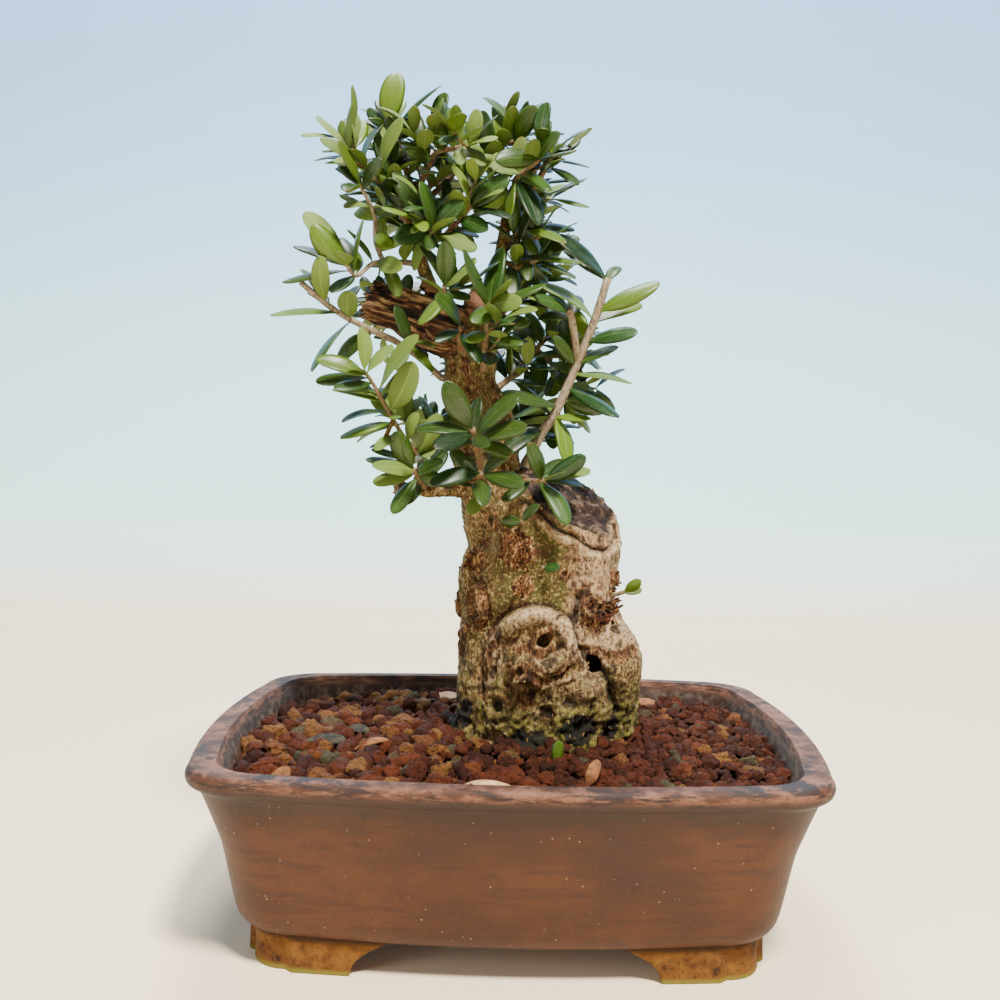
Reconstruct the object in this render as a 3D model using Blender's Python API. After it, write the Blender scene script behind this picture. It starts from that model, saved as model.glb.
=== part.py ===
"""A wild olive bonsai standing in its shallow rectangular pot, at real size.

Lengths are in millimetres, and MM turns them into metres where a mesh is made. The origin is the centre of
the ground under the pot, +X is the viewer's right, +Y points away from the viewer and +Z is up.
"""

import math
import random
from typing import NamedTuple

import bmesh
import bpy
from mathutils import Matrix, Vector, noise
from mathutils.bvhtree import BVHTree

MM = 0.001
SEAT_GAP = 0.3

# Pot
POT_HALF_X = 75.0
POT_HALF_Y = 55.5
# The front and back walls stand steeper: the share of an inset that counts there
POT_STEEP = 0.76
POT_CORNER = 14.0
POT_BOW = 3.7
POT_SIDE_STEPS = 2
POT_CORNER_STEPS = 3
POT_FRONT_STEPS = 3
FLOOR_BOTTOM = 8.0
FLOOR_TOP = 13.0
RIM_TOP = 45.8
# Height of each ring with how far it lies in from the lip's widest line
POT_OUTSIDE = [
    (8.0, 13.7), (9.2, 11.9), (12.0, 10.2), (18.0, 8.9), (27.0, 7.2), (33.0, 5.3),
    (39.8, 2.9), (41.2, 1.9), (42.2, 0.4), (44.0, 0.0), (45.4, 0.7), (RIM_TOP, 2.0),
]
POT_INSIDE = [(RIM_TOP, 5.2), (44.9, 6.4), (34.0, 9.9), (20.0, 13.8), (FLOOR_TOP, 18.4)]
FOOT_INSET = 14.5
FOOT_WIDTH = 8.0
FOOT_LEVELS = (0.0, 3.0, 6.0, 8.0, 9.4)
FOOT_FRONT_END = 34.0
FOOT_SIDE_END = 22.0
FOOT_SPREAD = 9.2
HOLE_RADIUS = 5.0
HOLE_X = 30.0
POT_SHARP = 40
NET_SIZE = 18.0
NET_WIRE = 0.8
NET_CELLS = 2

# Soil
SOIL_EDGE = 39.4
SOIL_MOUND = 2.6
SOIL_RINGS = 11
SOIL_STEPS = (3, 3, 4)
SOIL_WALL_GAP = 0.5
SOIL_CENTRE = (8.5, 12.0)
SOIL_REACH = (66.0, 60.0)
GRAIN_PITCH = 2.7
GRAIN_HEIGHT = 1.5
ROOT_HOLE_GAP = 0.45
ROOT_HOLE_TOP = 50

# Trunk: height, centre X, centre Y, half width, half depth of each ring
TRUNK_RINGS = [
    (24, 9.0, 13.0, 11.0, 10.0), (28, 9.0, 13.0, 17.0, 15.0), (34, 8.8, 12.5, 21.5, 19.0),
    (39, 8.5, 12.0, 23.5, 21.0), (42, 8.5, 12.0, 24.2, 21.8), (46, 8.8, 12.0, 23.8, 21.8),
    (50, 9.3, 12.0, 23.6, 21.8), (54, 9.8, 12.0, 23.5, 21.8), (58, 10.2, 12.0, 23.4, 21.8),
    (62, 10.1, 12.0, 23.4, 21.5), (66, 9.6, 12.0, 22.4, 21.0), (70, 8.5, 12.0, 21.0, 20.2),
    (74, 7.6, 12.0, 20.2, 19.6), (78, 7.0, 12.0, 20.2, 19.2), (82, 7.2, 12.0, 20.6, 18.9),
    (86, 7.8, 12.0, 20.0, 18.6), (90, 8.4, 12.0, 19.4, 18.2), (94, 8.5, 11.8, 19.2, 17.6),
    (98, 7.8, 11.6, 18.8, 17.0), (102, 6.7, 11.5, 16.9, 15.6), (106, 5.4, 11.5, 13.6, 13.0),
    (109, 4.4, 11.5, 10.2, 9.8), (111, 3.6, 11.5, 6.0, 5.6),
]
TRUNK_SIDES = 28
# Swellings and hollows: centre X, Y, Z, distance of the crest from the centre, breadth, height
TRUNK_LUMPS = [
    (7.7, -9.5, 67.7, 7.0, 2.6, 2.2), (7.7, -9.5, 67.7, 0.0, 3.6, -2.6), (-8.0, -6.0, 77.5, 3.2, 1.6, 1.4),
    (1.0, -8.0, 91.0, 0.0, 4.5, 1.8), (2.0, -8.5, 81.7, 0.0, 2.6, 1.2), (20.0, -5.0, 76.5, 0.0, 5.0, 2.2),
    (19.7, -8.0, 62.0, 0.0, 2.6, -3.6), (27.0, -3.0, 60.0, 0.0, 8.0, 2.6), (27.0, 2.0, 69.0, 0.0, 4.5, 1.6),
    (-14.0, 4.0, 86.5, 0.0, 4.0, 4.4), (-13.0, 3.0, 68.0, 0.0, 3.6, 2.4), (9.0, -11.0, 44.0, 0.0, 5.0, -3.2),
    (22.0, -6.0, 46.0, 0.0, 4.5, 2.0), (-4.0, -7.0, 45.0, 0.0, 4.5, 2.0), (14.5, -9.0, 54.0, 0.0, 3.4, -1.8),
    (-10.0, 28.0, 60.0, 0.0, 8.0, 3.0), (20.0, 30.0, 80.0, 0.0, 7.0, 2.6), (28.0, 22.0, 50.0, 0.0, 7.0, 2.4),
    (4.0, 32.0, 95.0, 0.0, 6.0, 2.2), (10.0, 34.0, 48.0, 0.0, 6.0, -2.4),
]
SHOULDER_CUT = ((14.0, 2.0, 101.0), (0.42, -0.42, 0.80))
CROWN_CUT = ((-8.0, 6.0, 150.5), (0.25, -0.70, 0.67))

# Limbs that belong to the trunk: points and radius at each
UPPER_TRUNK = [
    (0, 12, 84, 9.0), (-4, 11, 95, 9.0), (-5.8, 10, 103, 8.3), (-7, 9.5, 110, 8.6), (-8.4, 9, 117, 9.0),
    (-9.6, 9, 124, 8.3), (-12, 9, 131, 7.0), (-12, 8.8, 138, 6.6), (-10.5, 8.5, 145, 5.8),
    (-9.2, 8, 151, 4.9), (-8.4, 8, 157, 4.3),
]
DEAD_STUMP = [
    (-9, 9, 143, 5.0), (-15, 8.6, 145, 6.6), (-23, 8, 147, 6.4), (-30, 7.4, 150, 5.6), (-38.7, 6.4, 152.6, 5.2),
]
LIMBS = [
    [
        (-19, 8, 148, 2.3), (-22.6, 8, 156, 1.9), (-25.6, 7.4, 164, 1.7), (-26.8, 6.9, 171, 1.5),
        (-26.4, 6.5, 182.6, 1.2),
    ],
    [(-8, 8, 148, 2.2), (-5.6, 8, 160, 2.0), (-4.6, 7.3, 166, 1.7), (-3.3, 6.3, 176, 1.4)],
    [(-3, 8.4, 103.6, 2.4), (-13.2, 8, 104.2, 2.1), (-21.7, 4, 104.2, 1.9), (-30.2, 0, 104.9, 2.2)],
    [(-0.5, 3, 99, 1.4), (0, -4.2, 101.5, 1.4), (0.4, -5, 107, 1.1)],
]
UPPER_TRUNK_DETAIL = 4
TRUNK_SHARP = 60
LIMB_DETAIL = 2

# Leaves
BLADE_THICKNESS = 0.6
BLADE_SUNK = 0.15
TIP_SETBACK = 0.35
TUFT_PITCH = 0.7
TUFT_FROM = 0.88
BLADE_LONGEST = 17.5
BLADE_CLEARANCE = 0.35
LARGE_BLADE = 14.0
# Share of the length with share of the greatest half width there
LARGE_OUTLINE = [(0.0, 0.0), (0.26, 0.82), (0.54, 1.0), (0.80, 0.72), (1.0, 0.0)]
SMALL_OUTLINE = [(0.0, 0.0), (0.34, 0.94), (0.72, 0.86), (1.0, 0.0)]
TWIG_DETAIL = 0
TWIG_SHARP = 50
SIDE_TWIG_SHARE = 0.7
RIM_POINTS = 8
# A blade may meet its own shoot only along this first share of its length
FREE_SHARE = 0.22
OWN_CLEARANCE = 0.12
BALL_MARGIN = 1.5
VIEW = Vector((0.0, 1.0, -0.06)).normalized()
RAY = Vector((0.36, 0.48, 0.8))
RAY_STEP = 0.001
SEED = 41


class Leaf(NamedTuple):
    """A leaf set by hand: twig of its shoot, share of its length, tip, and width as seen from the front."""

    twig: int
    along: float
    tip: tuple
    shown: float


class Shoot(NamedTuple):
    """A leafy shoot: twigs as routes, radius at foot and tip, leaves set by hand, and pairs grown by rule."""

    name: str
    twigs: list
    radii: tuple
    leaves: list
    pairs: int = 0
    blade: float = 10.0


def leaves(twig, *rows):
    """Leaves of one twig from rows of share along it, tip X, Y, Z and shown width."""
    return [Leaf(twig, row[0], row[1:4], row[4]) for row in rows]


SHOOTS = [
    Shoot(
        "crown_left",
        [[(-26.8, 7, 170), (-31, 4, 175.5), (-35, 1, 180), (-41, -2, 186), (-43, -3, 188.5)]],
        (1.1, 0.6),
        leaves(
            0, (1, -51, 0, 196, 2), (1, -41, -7, 198, 2), (0.9, -40, 4, 197, 4), (0.85, -49, -7, 189, 3),
            (0.75, -52, 5, 187, 2.5), (0.6, -46, -8, 184, 2), (0.55, -29, -8, 194, 3.5),
            (0.75, -36, 6, 197, 2.5),
            (0.3, -45, 1, 178, 1.5), (0.5, -43, 9, 184, 3),
        ),
    ),
    Shoot(
        "crown_top",
        [[(-26.5, 6.5, 178), (-29.5, 9, 185.5), (-31.5, 10, 192), (-34.5, 9, 197)]],
        (1.0, 0.6),
        leaves(
            0, (1, -32, 8, 210, 5.5), (1, -38, 10, 203, 3), (0.95, -42, 14, 202, 2), (0.9, -21, 3, 206, 2),
            (0.8, -27, 4, 199, 3.5), (0.5, -36, 2, 188, 2.5), (0.7, -40, 16, 194, 3), (0.7, -26, 16, 199, 2.5),
        ),
    ),
    Shoot(
        "crown_middle",
        [[(-26.3, 6.6, 180.6), (-23.6, 5.6, 185.6), (-21.5, 4, 189), (-16.5, 1, 189.5), (-13, -1, 189.5)]],
        (1.0, 0.5),
        leaves(
            0, (0.6, -21, 9, 202, 2), (0.75, -19, -2, 200, 2), (0.5, -27, 3, 198, 2), (0.45, -30, 0, 195, 2),
            (0.55, -20, -6, 193, 3.5), (0.3, -28, -3, 188, 3.5), (0.95, -11, -3, 198, 3.5), (1, -5, -7, 190, 2),
            (0.85, -14, 7, 199, 2),
        ),
    ),
    Shoot(
        "crown_rear",
        [[(-26.5, 6.7, 175), (-23.5, 9, 179), (-19, 12, 184), (-16, 15, 188.5), (-11, 18, 192)]],
        (1.1, 0.6),
        leaves(
            0, (1, -3, 14, 192, 2), (0.95, -2, 22, 198, 2.5), (0.6, -13, 8, 184, 2), (0.85, -12, 22, 204, 5),
            (0.9, -6, 24, 207, 2), (0.7, -22, 22, 196, 3.5), (0.4, -25, 18, 186, 3), (0.75, -20, 10, 197, 3),
        ),
    ),
    Shoot(
        "crown_right",
        [[(-3.6, 6.6, 174.6), (-7, 8.4, 182), (-8, 9, 188), (-5.5, 8, 192), (-1, 7, 193)]],
        (1.0, 0.6),
        leaves(
            0, (1, 1, 3, 202, 2.5), (1, 3, -2, 199, 4.5), (0.95, 5, 10, 204, 3.5), (0.9, 1, 15, 205, 3),
            (0.75, -7, 10, 203, 3.5), (0.95, 10, 8, 198, 2), (0.9, 6, 13, 192, 2), (0.6, -10, 2, 199, 4),
            (0.45, -17, 12, 190, 3), (0.5, -13, 4, 194, 3),
        ),
    ),
    Shoot(
        "apex_right",
        [
            [(-3.8, 6.8, 172), (-1.4, 4.6, 179), (-1.6, 3.6, 182.5), (1, 2, 184.5), (4.5, 0, 187)],
            [(-1.4, 4.6, 179), (3.4, 4.6, 181), (7.5, 2, 188.3)],
        ],
        (1.0, 0.55),
        leaves(
            0, (0.45, -3, -5, 172, 2), (0.5, 5, -8, 169, 4.5), (1, -6, -7, 185, 4.5), (0.8, 10, 8, 184, 2.5),
            (0.6, -11, 0, 187, 3.5), (0.3, -10, -3, 176, 4), (1, 9, -6, 192, 3), (0.7, 7, -7, 178, 3),
        )
        + leaves(1, (0.4, 5, 11, 176, 3.5)),
    ),
    Shoot(
        "branch_left",
        [
            [
                (-25, 7.6, 161.5), (-28.5, 5, 161.8), (-32.5, 2, 161.5), (-36.5, -1, 160.5), (-40, -4, 157),
                (-42.5, -6, 159.5),
            ],
            [(-34, 1, 161.2), (-36, 0.6, 166), (-36.2, 0, 172), (-37.5, -3, 175.5), (-39.5, -5, 179)],
        ],
        (1.3, 0.6),
        leaves(
            0, (1, -53, -4, 172, 4), (1, -50, -10, 168, 5), (0.97, -55, -10, 162, 2.5), (0.95, -58, -4, 153, 2),
            (1, -38, -13, 169, 2), (0.92, -45, -12, 152, 3), (0.5, -28, -9, 158, 4), (0.85, -51, 4, 165, 3),
            (0.4, -31, -6, 152, 3), (0.8, -45, 6, 168, 4),
        )
        + leaves(
            1, (1, -45, -12, 187, 2.5), (0.7, -42, -11, 172, 3), (0.6, -29, -6, 173, 3), (0.5, -41, 8, 176, 4.5),
            (0.95, -46, 2, 185, 3), (0.35, -31, -5, 164, 3.5), (1, -34, -10, 184, 3),
        ),
    ),
    Shoot(
        "stem_mid",
        [[(-26.6, 7, 168), (-23, 1, 168.6), (-21.5, -4, 167.6)]],
        (0.9, 0.6),
        leaves(
            0, (0.5, -31, -3, 183, 4.5), (1, -24, -9, 179, 3), (1, -14, -6, 175, 4), (1, -30, -11, 165, 4.5),
            (1, -11, -9, 166, 3.5), (0.8, -24, -7, 158, 3),
        ),
    ),
    Shoot(
        "stem_inner",
        [[(-25.8, 7.4, 165), (-19, 4, 168.6), (-15.5, 1, 171.5), (-12, -3, 174.5)]],
        (0.9, 0.5),
        leaves(
            0, (1, -17, -8, 183, 2), (1, -2, -10, 171, 2), (1, -3, -4, 182, 4.5), (0.7, -8, -8, 168, 4),
            (0.5, -19, 4, 178, 3.5), (0.85, -10, 6, 178, 3), (0.6, -12, 8, 166, 3.5),
        ),
    ),
    Shoot(
        "mid_right_low",
        [[(-4.9, 7.4, 163.5), (-1, 5, 161), (5, 3, 163)]],
        (0.8, 0.5),
        leaves(0, (1, 15, 5, 169, 3.5), (0.7, 2, -3, 157, 3), (1, 14, -3, 158, 2), (0.9, 7, 10, 155, 3.5)),
    ),
    Shoot(
        "mid_right_high",
        [[(-4.4, 7.2, 167.4), (-1, 5.4, 169.4), (1, 3, 170)]],
        (0.8, 0.5),
        leaves(0, (1, 11, -5, 166, 3), (1, 14, 10, 172, 2.5), (0.7, 6, 13, 164, 3)),
    ),
    Shoot(
        "trunk_top",
        [[(-16, 6, 149), (-18, -1, 152), (-18.4, -4, 155)]],
        (0.9, 0.6),
        leaves(
            0, (1, -24, -8, 164, 2.5), (1, -14, -8, 163, 2), (0.7, -24, -9, 145, 3.5), (0.9, -12, -11, 151, 2.5),
        ),
    ),
    Shoot(
        "trunk_front",
        [[(-9, 6, 133), (-8, -2, 139), (-7.6, -5.6, 145), (-7, -8, 150.5)]],
        (1.0, 0.6),
        leaves(
            0, (1, 1, -13, 150, 4), (1, -11, -15, 145, 4), (1, -13, -15, 162, 2.5), (1, -5, -3, 165, 4.5),
            (0.95, 6, -8, 156, 2.5), (0.6, -12, -13, 141, 3), (0.5, 1, -10, 141, 3), (0.75, 3, -1, 147, 3.5),
        ),
    ),
    Shoot(
        "trunk_side",
        [[(-13, 5, 138), (-14.6, -2, 141.5), (-14, -5, 145)]],
        (0.8, 0.6),
        leaves(0, (1, -18, -9, 156, 2), (0.9, -20, -10, 141, 2.5), (0.8, -9, -12, 136, 3)),
    ),
    Shoot(
        "jin_below",
        [[(-26, 6.6, 146), (-26.6, 2, 140.6), (-27.4, 0, 140)]],
        (0.7, 0.5),
        leaves(0, (1, -30, -4, 150, 2.5), (0.9, -30, -3, 134, 2.5), (0.7, -21, -4, 134, 2)),
    ),
    Shoot(
        "twig_left",
        [[
            (-14, 9, 131), (-20, 8.6, 133.4), (-24.5, 6, 137.5), (-30.5, 2.4, 141.5), (-39, -1, 145.2),
            (-46, -3.4, 149), (-53.5, -6, 155),
        ]],
        (1.3, 1.0),
        leaves(
            0, (0.72, -61, -6, 147, 2.5), (0.66, -41, -8, 153, 4.5), (0.82, -48, -9, 161, 4),
            (0.85, -54, 4, 161, 3),
            (0.72, -41, 5, 156, 3), (0.64, -50, -9, 133, 2.5), (0.5, -46, 4, 136, 4), (0.44, -34, 9, 137, 2.5),
        ),
    ),
    Shoot(
        "low_left",
        [
            [
                (-25.6, 2.4, 104.6), (-24.4, 0, 112), (-28.5, -3, 118.5), (-31.5, -6, 124), (-35, -9, 130.5),
                (-37, -11, 133.5),
            ],
            [(-24.4, 0, 112), (-26.4, 4.6, 117), (-29, 8, 122)],
        ],
        (1.0, 0.6),
        leaves(
            0, (1, -38, -9, 144, 3), (0.97, -32, -6, 142, 3), (0.8, -23, -13, 143, 3),
            (0.62, -25, -10, 136, 5.5),
            (1, -48, -14, 136, 3.5), (0.95, -49, -9, 131, 3), (0.88, -43, -17, 129, 3), (0.7, -46, -2, 130, 3.5),
            (0.62, -42, -12, 121, 2), (0.7, -36, 3, 130, 3.5), (0.52, -43, -8, 117, 2.5), (0.5, -40, 1, 116, 2),
            (0.42, -34, -10, 114, 2.5),
        )
        + leaves(
            1, (0.5, -16, 4, 124, 3), (1, -25, 15, 128, 3), (0.3, -22, -5, 122, 3.5), (1, -35, 15, 129, 3),
            (0.9, -34, 4, 130, 3),
        ),
    ),
    Shoot(
        "low_left_foot",
        [[(-22.6, 3.6, 104.2), (-24, -2.6, 107.4), (-25.4, -4, 110)]],
        (0.9, 0.6),
        leaves(
            0, (0.6, -30, -8, 99, 3.5), (0.75, -35, -7, 106, 3), (1, -31, -8, 118, 4.5), (1, -35, -12, 112, 3),
            (0.9, -18, -10, 112, 3), (0.6, -18, -9, 107, 3.5),
        ),
    ),
    Shoot(
        "rosette_front",
        [[(-8, 4, 108), (-9, -4, 112), (-9.5, -10, 116), (-10.5, -14, 120)]],
        (1.0, 0.8),
        leaves(
            0, (1, -17, -18, 131, 5), (1, -23, -18, 123, 3), (0.97, -21, -21, 118, 3.5), (1, -8, -22, 115, 3.5),
            (1, 0, -17, 128, 3.5), (0.97, 1, -20, 122, 3.5), (0.85, -8, -10, 128, 3), (0.7, -1, -15, 114, 3),
        ),
    ),
    Shoot(
        "rosette_low",
        [[(-7, 3, 103), (-8, -6, 106), (-8.4, -11, 109.6)]],
        (1.0, 0.8),
        leaves(
            0, (1, -20, -17, 107, 4), (1, 2, -18, 107, 3.5), (0.97, -16, -8, 115, 3), (0.9, 0, -14, 113, 3),
            (1, -7, -21, 106, 3.5), (1, -11, -17, 117, 3),
        ),
    ),
    Shoot(
        "low_right",
        [[(0, 4, 104), (2.4, -5, 107.4), (7.5, -6.6, 107.6)]],
        (1.1, 0.8),
        leaves(
            0, (0.8, 13, -14, 98, 3.5), (1, 17, -9, 114, 4), (0.95, 3, -12, 117, 3.5), (0.6, -3, -12, 103, 2.5),
            (1, 17, -1, 107, 2.5), (0.9, 12, 1, 113, 3),
        ),
    ),
    Shoot(
        "twig_right",
        [
            [
                (-2, 9.6, 104), (3, 8, 112), (7, 7.6, 120), (10, 7.4, 124.5), (15, 7, 136.5), (19.5, 6.4, 148.5),
                (22.5, 6, 159),
            ],
            [(15.4, 6.8, 138), (13.6, 3, 147.5), (12.5, 1.6, 150.5)],
        ],
        (1.9, 1.4),
        leaves(
            0, (0.82, 37, 2, 159, 4.5), (0.76, 32, 13, 154, 3.5), (0.66, 30, 1, 145, 3.5),
            (0.97, 9, 2, 171, 3.5),
            (0.9, 11, 10, 168, 4), (0.78, 5, -1, 157, 3), (0.5, 29, 3, 132, 2.5), (0.42, 26, -3, 124, 3.5),
            (0.36, 25, 10, 127, 5.5), (0.42, 20, 17, 131, 3), (0.6, 22, 17, 138, 3), (0.99, 26, 11, 163, 2.5),
            (0.36, 20, 15, 120, 2.5), (0.28, 13, 1, 112, 3.5), (0.32, -5, -3, 129, 3), (0.24, 14, 14, 115, 3),
            (0.3, -2, 13, 121, 2.5), (0.18, -6, 1, 116, 3),
        )
        + leaves(1, (1, 8, 0, 160, 2), (1, 4, -4, 154, 3), (0.8, 5, 8, 149, 2.5), (0.8, 20, 11, 156, 3)),
    ),
    Shoot(
        "rear_right",
        [
            [(-6, 11, 130), (0, 16, 135.5), (5.5, 21, 142.5), (10, 26, 147.5)],
            [(5, 20.6, 142), (11, 19, 136), (15, 17, 131)],
        ],
        (1.1, 0.7),
        leaves(
            0, (1, 4, 24, 158, 3.5), (0.9, 11, 29, 157, 4.5), (0.7, -3, 14, 149, 2.5), (0.5, -3, 8, 143, 3.5),
            (0.4, -7, 12, 143, 2.5), (0.8, 14, 33, 144, 3), (1, 17, 30, 149, 3), (0.65, -1, 28, 147, 3.5),
        )
        + leaves(1, (1, 18, 22, 121, 3), (1, 23, 12, 130, 3), (0.6, 9, 12, 134, 3.5), (0.7, 8, 24, 130, 3.5)),
    ),
    Shoot("rear_crown", [[(-25.9, 7, 179.6), (-20, 15, 186), (-16, 24, 193)]], (0.9, 0.6), [], 4, 11.0),
    Shoot("rear_left_high", [[(-26.7, 7.4, 169), (-31, 16, 173), (-34, 24, 180)]], (0.9, 0.6), [], 4, 11.0),
    Shoot("rear_left_low", [[(-28, 9, 149), (-31, 18, 150), (-38, 26, 155)]], (0.9, 0.6), [], 4, 12.0),
    Shoot("rear_stem", [[(-4.6, 7.6, 165), (0, 15, 171), (4, 22, 179)]], (0.9, 0.6), [], 4, 11.0),
    Shoot("rear_top_right", [[(-7, 10, 146), (0, 17, 156), (8, 24, 164)]], (0.9, 0.6), [], 4, 11.0),
    Shoot("rear_trunk", [[(-10, 13, 131), (-12, 22, 136), (-16, 32, 143)]], (1.0, 0.6), [], 4, 12.0),
    Shoot("rear_low", [[(-6, 12, 117), (0, 22, 121), (5, 30, 127)]], (1.0, 0.6), [], 4, 12.0),
    Shoot("rear_low_left", [[(-11, 12, 112), (-18, 20, 115), (-25, 27, 121)]], (1.0, 0.6), [], 4, 12.0),
    Shoot(
        "sprout_upper",
        [[(1.4, 2, 96), (1.8, -8.6, 97.6)]],
        (0.7, 0.5),
        leaves(0, (1, -3, -12, 98, 2.5), (1, 5, -12, 102, 2)),
    ),
    Shoot("sprout_middle", [[(7, 2, 86), (7.4, -8.8, 86.4)]], (0.6, 0.5), leaves(0, (1, 11, -12, 87, 2))),
    Shoot(
        "sprout_right",
        [[(20, 4, 76), (28.6, 1, 79.6)]],
        (0.6, 0.5),
        leaves(0, (1, 32, -2, 83, 2.5), (1, 33, 3, 80, 2)),
    ),
]

BARK = (0.30, 0.27, 0.13)
LEAF_GREEN = (0.07, 0.16, 0.06)
POT_BROWN = (0.24, 0.12, 0.07)
SOIL_BROWN = (0.15, 0.06, 0.035)
NET_BLACK = (0.03, 0.03, 0.03)


def clear_scene():
    for obj in list(bpy.data.objects):
        bpy.data.objects.remove(obj, do_unlink=True)


def make_collection(name):
    collection = bpy.data.collections.new(name)
    bpy.context.scene.collection.children.link(collection)
    return collection


def make_material(name, colour, roughness):
    material = bpy.data.materials.new(name)
    material.use_nodes = True
    shader = material.node_tree.nodes["Principled BSDF"]
    shader.inputs["Base Color"].default_value = (*colour, 1.0)
    shader.inputs["Roughness"].default_value = roughness
    shader.inputs["Metallic"].default_value = 0.0
    return material


def add_object(name, mesh, collection, material=None):
    obj = bpy.data.objects.new(name, mesh)
    collection.objects.link(obj)
    if material:
        mesh.materials.clear()
        mesh.materials.append(material)
    return obj


def add_cutter(name, mesh, cutters):
    """A helper solid that is used up by a Boolean, drawn as a wire and hidden from renders."""
    obj = add_object(name, mesh, cutters)
    obj.hide_render = True
    obj.display_type = "WIRE"
    return obj


def smoothed(obj, degrees):
    """Shades round surfaces smooth and keeps edges that turn by more than the angle sharp."""
    obj.data.shade_smooth()
    obj.data.set_sharp_from_angle(angle=math.radians(degrees))


def mesh_from(bm, name):
    """A mesh in metres from a bmesh in millimetres, with its faces turned outward."""
    bmesh.ops.recalc_face_normals(bm, faces=bm.faces)
    bmesh.ops.scale(bm, vec=(MM, MM, MM), verts=bm.verts)
    mesh = bpy.data.meshes.new(name)
    bm.to_mesh(mesh)
    bm.free()
    return mesh


def evaluated_mesh(obj):
    graph = bpy.context.evaluated_depsgraph_get()
    return bpy.data.meshes.new_from_object(obj.evaluated_get(graph), depsgraph=graph)


def loft(rings, name):
    """A closed solid through rings of equally many points, flat at both ends."""
    bm = bmesh.new()
    rows = [[bm.verts.new(point) for point in ring] for ring in rings]
    count = len(rings[0])
    for lower, upper in zip(rows, rows[1:]):
        for k in range(count):
            bm.faces.new((lower[k], lower[(k + 1) % count], upper[(k + 1) % count], upper[k]))
    bm.faces.new(rows[0][::-1])
    bm.faces.new(rows[-1])
    bmesh.ops.triangulate(bm, faces=bm.faces)
    return mesh_from(bm, name)


def boolean(target, operation, other, solver="EXACT"):
    """Joins or cuts the target with an object or a collection, applies it and removes what was used up."""
    modifier = target.modifiers.new(operation, "BOOLEAN")
    modifier.operation = operation
    modifier.solver = solver
    if isinstance(other, bpy.types.Collection):
        modifier.operand_type = "COLLECTION"
        modifier.collection = other
    else:
        modifier.object = other
    mesh = evaluated_mesh(target)
    target.modifiers.clear()
    target.data = mesh
    used = list(other.objects) if isinstance(other, bpy.types.Collection) else [other]
    for obj in used:
        bpy.data.objects.remove(obj, do_unlink=True)


def tube(points, radii, detail, name):
    """A tapered tube through the points: a curve with a bevel and filled ends, made a closed mesh in metres."""
    curve = bpy.data.curves.new(name, "CURVE")
    curve.dimensions = "3D"
    curve.bevel_depth = MM
    curve.bevel_resolution = detail
    curve.use_fill_caps = True
    spline = curve.splines.new("POLY")
    spline.points.add(len(points) - 1)
    for place, point, radius in zip(spline.points, points, radii):
        place.co = (*(Vector(point) * MM), 1.0)
        place.radius = radius
    holder = bpy.data.objects.new(name, curve)
    bpy.context.scene.collection.objects.link(holder)
    mesh = evaluated_mesh(holder)
    bpy.data.objects.remove(holder, do_unlink=True)
    bm = bmesh.new()
    bm.from_mesh(mesh)
    bmesh.ops.remove_doubles(bm, verts=bm.verts, dist=0.01 * MM)
    bmesh.ops.recalc_face_normals(bm, faces=bm.faces)
    bm.to_mesh(mesh)
    bm.free()
    return mesh


def plan_outline(inset, steps=(POT_SIDE_STEPS, POT_CORNER_STEPS, POT_FRONT_STEPS)):
    """The pot's plan, drawn in by an inset: four bowed sides and four round corners, anticlockwise from +X."""
    side_steps, corner_steps, front_steps = steps
    half_x = POT_HALF_X - inset
    half_y = POT_HALF_Y - POT_STEEP * inset
    corner = POT_CORNER - 0.25 * inset
    straight_x = half_x - POT_BOW - corner
    straight_y = half_y - POT_BOW - corner
    quarter = [
        (half_x - POT_BOW * (k / side_steps) ** 2, straight_y * k / side_steps) for k in range(side_steps)
    ]
    for k in range(corner_steps + 1):
        angle = math.pi / 2 * k / corner_steps
        quarter.append((straight_x + corner * math.cos(angle), straight_y + corner * math.sin(angle)))
    for k in range(front_steps - 1, -1, -1):
        quarter.append((straight_x * k / front_steps, half_y - POT_BOW * (k / front_steps) ** 2))
    left = [(-x, y) for x, y in quarter[::-1][1:]]
    upper = quarter + left
    lower = [(x, -y) for x, y in upper[::-1][1:-1]]
    return upper + lower


def pot_ring(height, inset, steps=(POT_SIDE_STEPS, POT_CORNER_STEPS, POT_FRONT_STEPS)):
    return [(x, y, height) for x, y in plan_outline(inset, steps)]


def bracket_foot(sign_x, sign_y, cutters):
    """One foot that wraps a corner. Its ends sweep outward in an ogee as they rise to the floor."""
    rings = []
    for height in FOOT_LEVELS:
        share = min(1.0, height / FLOOR_BOTTOM)
        sweep = FOOT_SPREAD * share**2.2
        outer, inner = [
            foot_line(inset, FOOT_FRONT_END - sweep, FOOT_SIDE_END - 0.7 * sweep)
            for inset in (FOOT_INSET, FOOT_INSET + FOOT_WIDTH)
        ]
        rings.append([(sign_x * x, sign_y * y, height) for x, y in outer + inner[::-1]])
    return add_cutter("foot", loft(rings, "foot"), cutters)


def foot_line(inset, front_end, side_end):
    """The plan line from a foot's end on the long side, round the corner, to its end on the short side."""
    half_x = POT_HALF_X - inset
    half_y = POT_HALF_Y - POT_STEEP * inset
    corner = POT_CORNER - 0.4 * inset
    centre_x = half_x - POT_BOW - corner
    centre_y = half_y - POT_BOW - corner
    arc = [math.radians(a) for a in (90, 60, 30, 0)]
    line = [(front_end, half_y - POT_BOW * (front_end / half_x) ** 2)]
    line += [(centre_x + corner * math.cos(a), centre_y + corner * math.sin(a)) for a in arc]
    line.append((half_x - POT_BOW * (side_end / half_y) ** 2, side_end))
    return line


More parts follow.
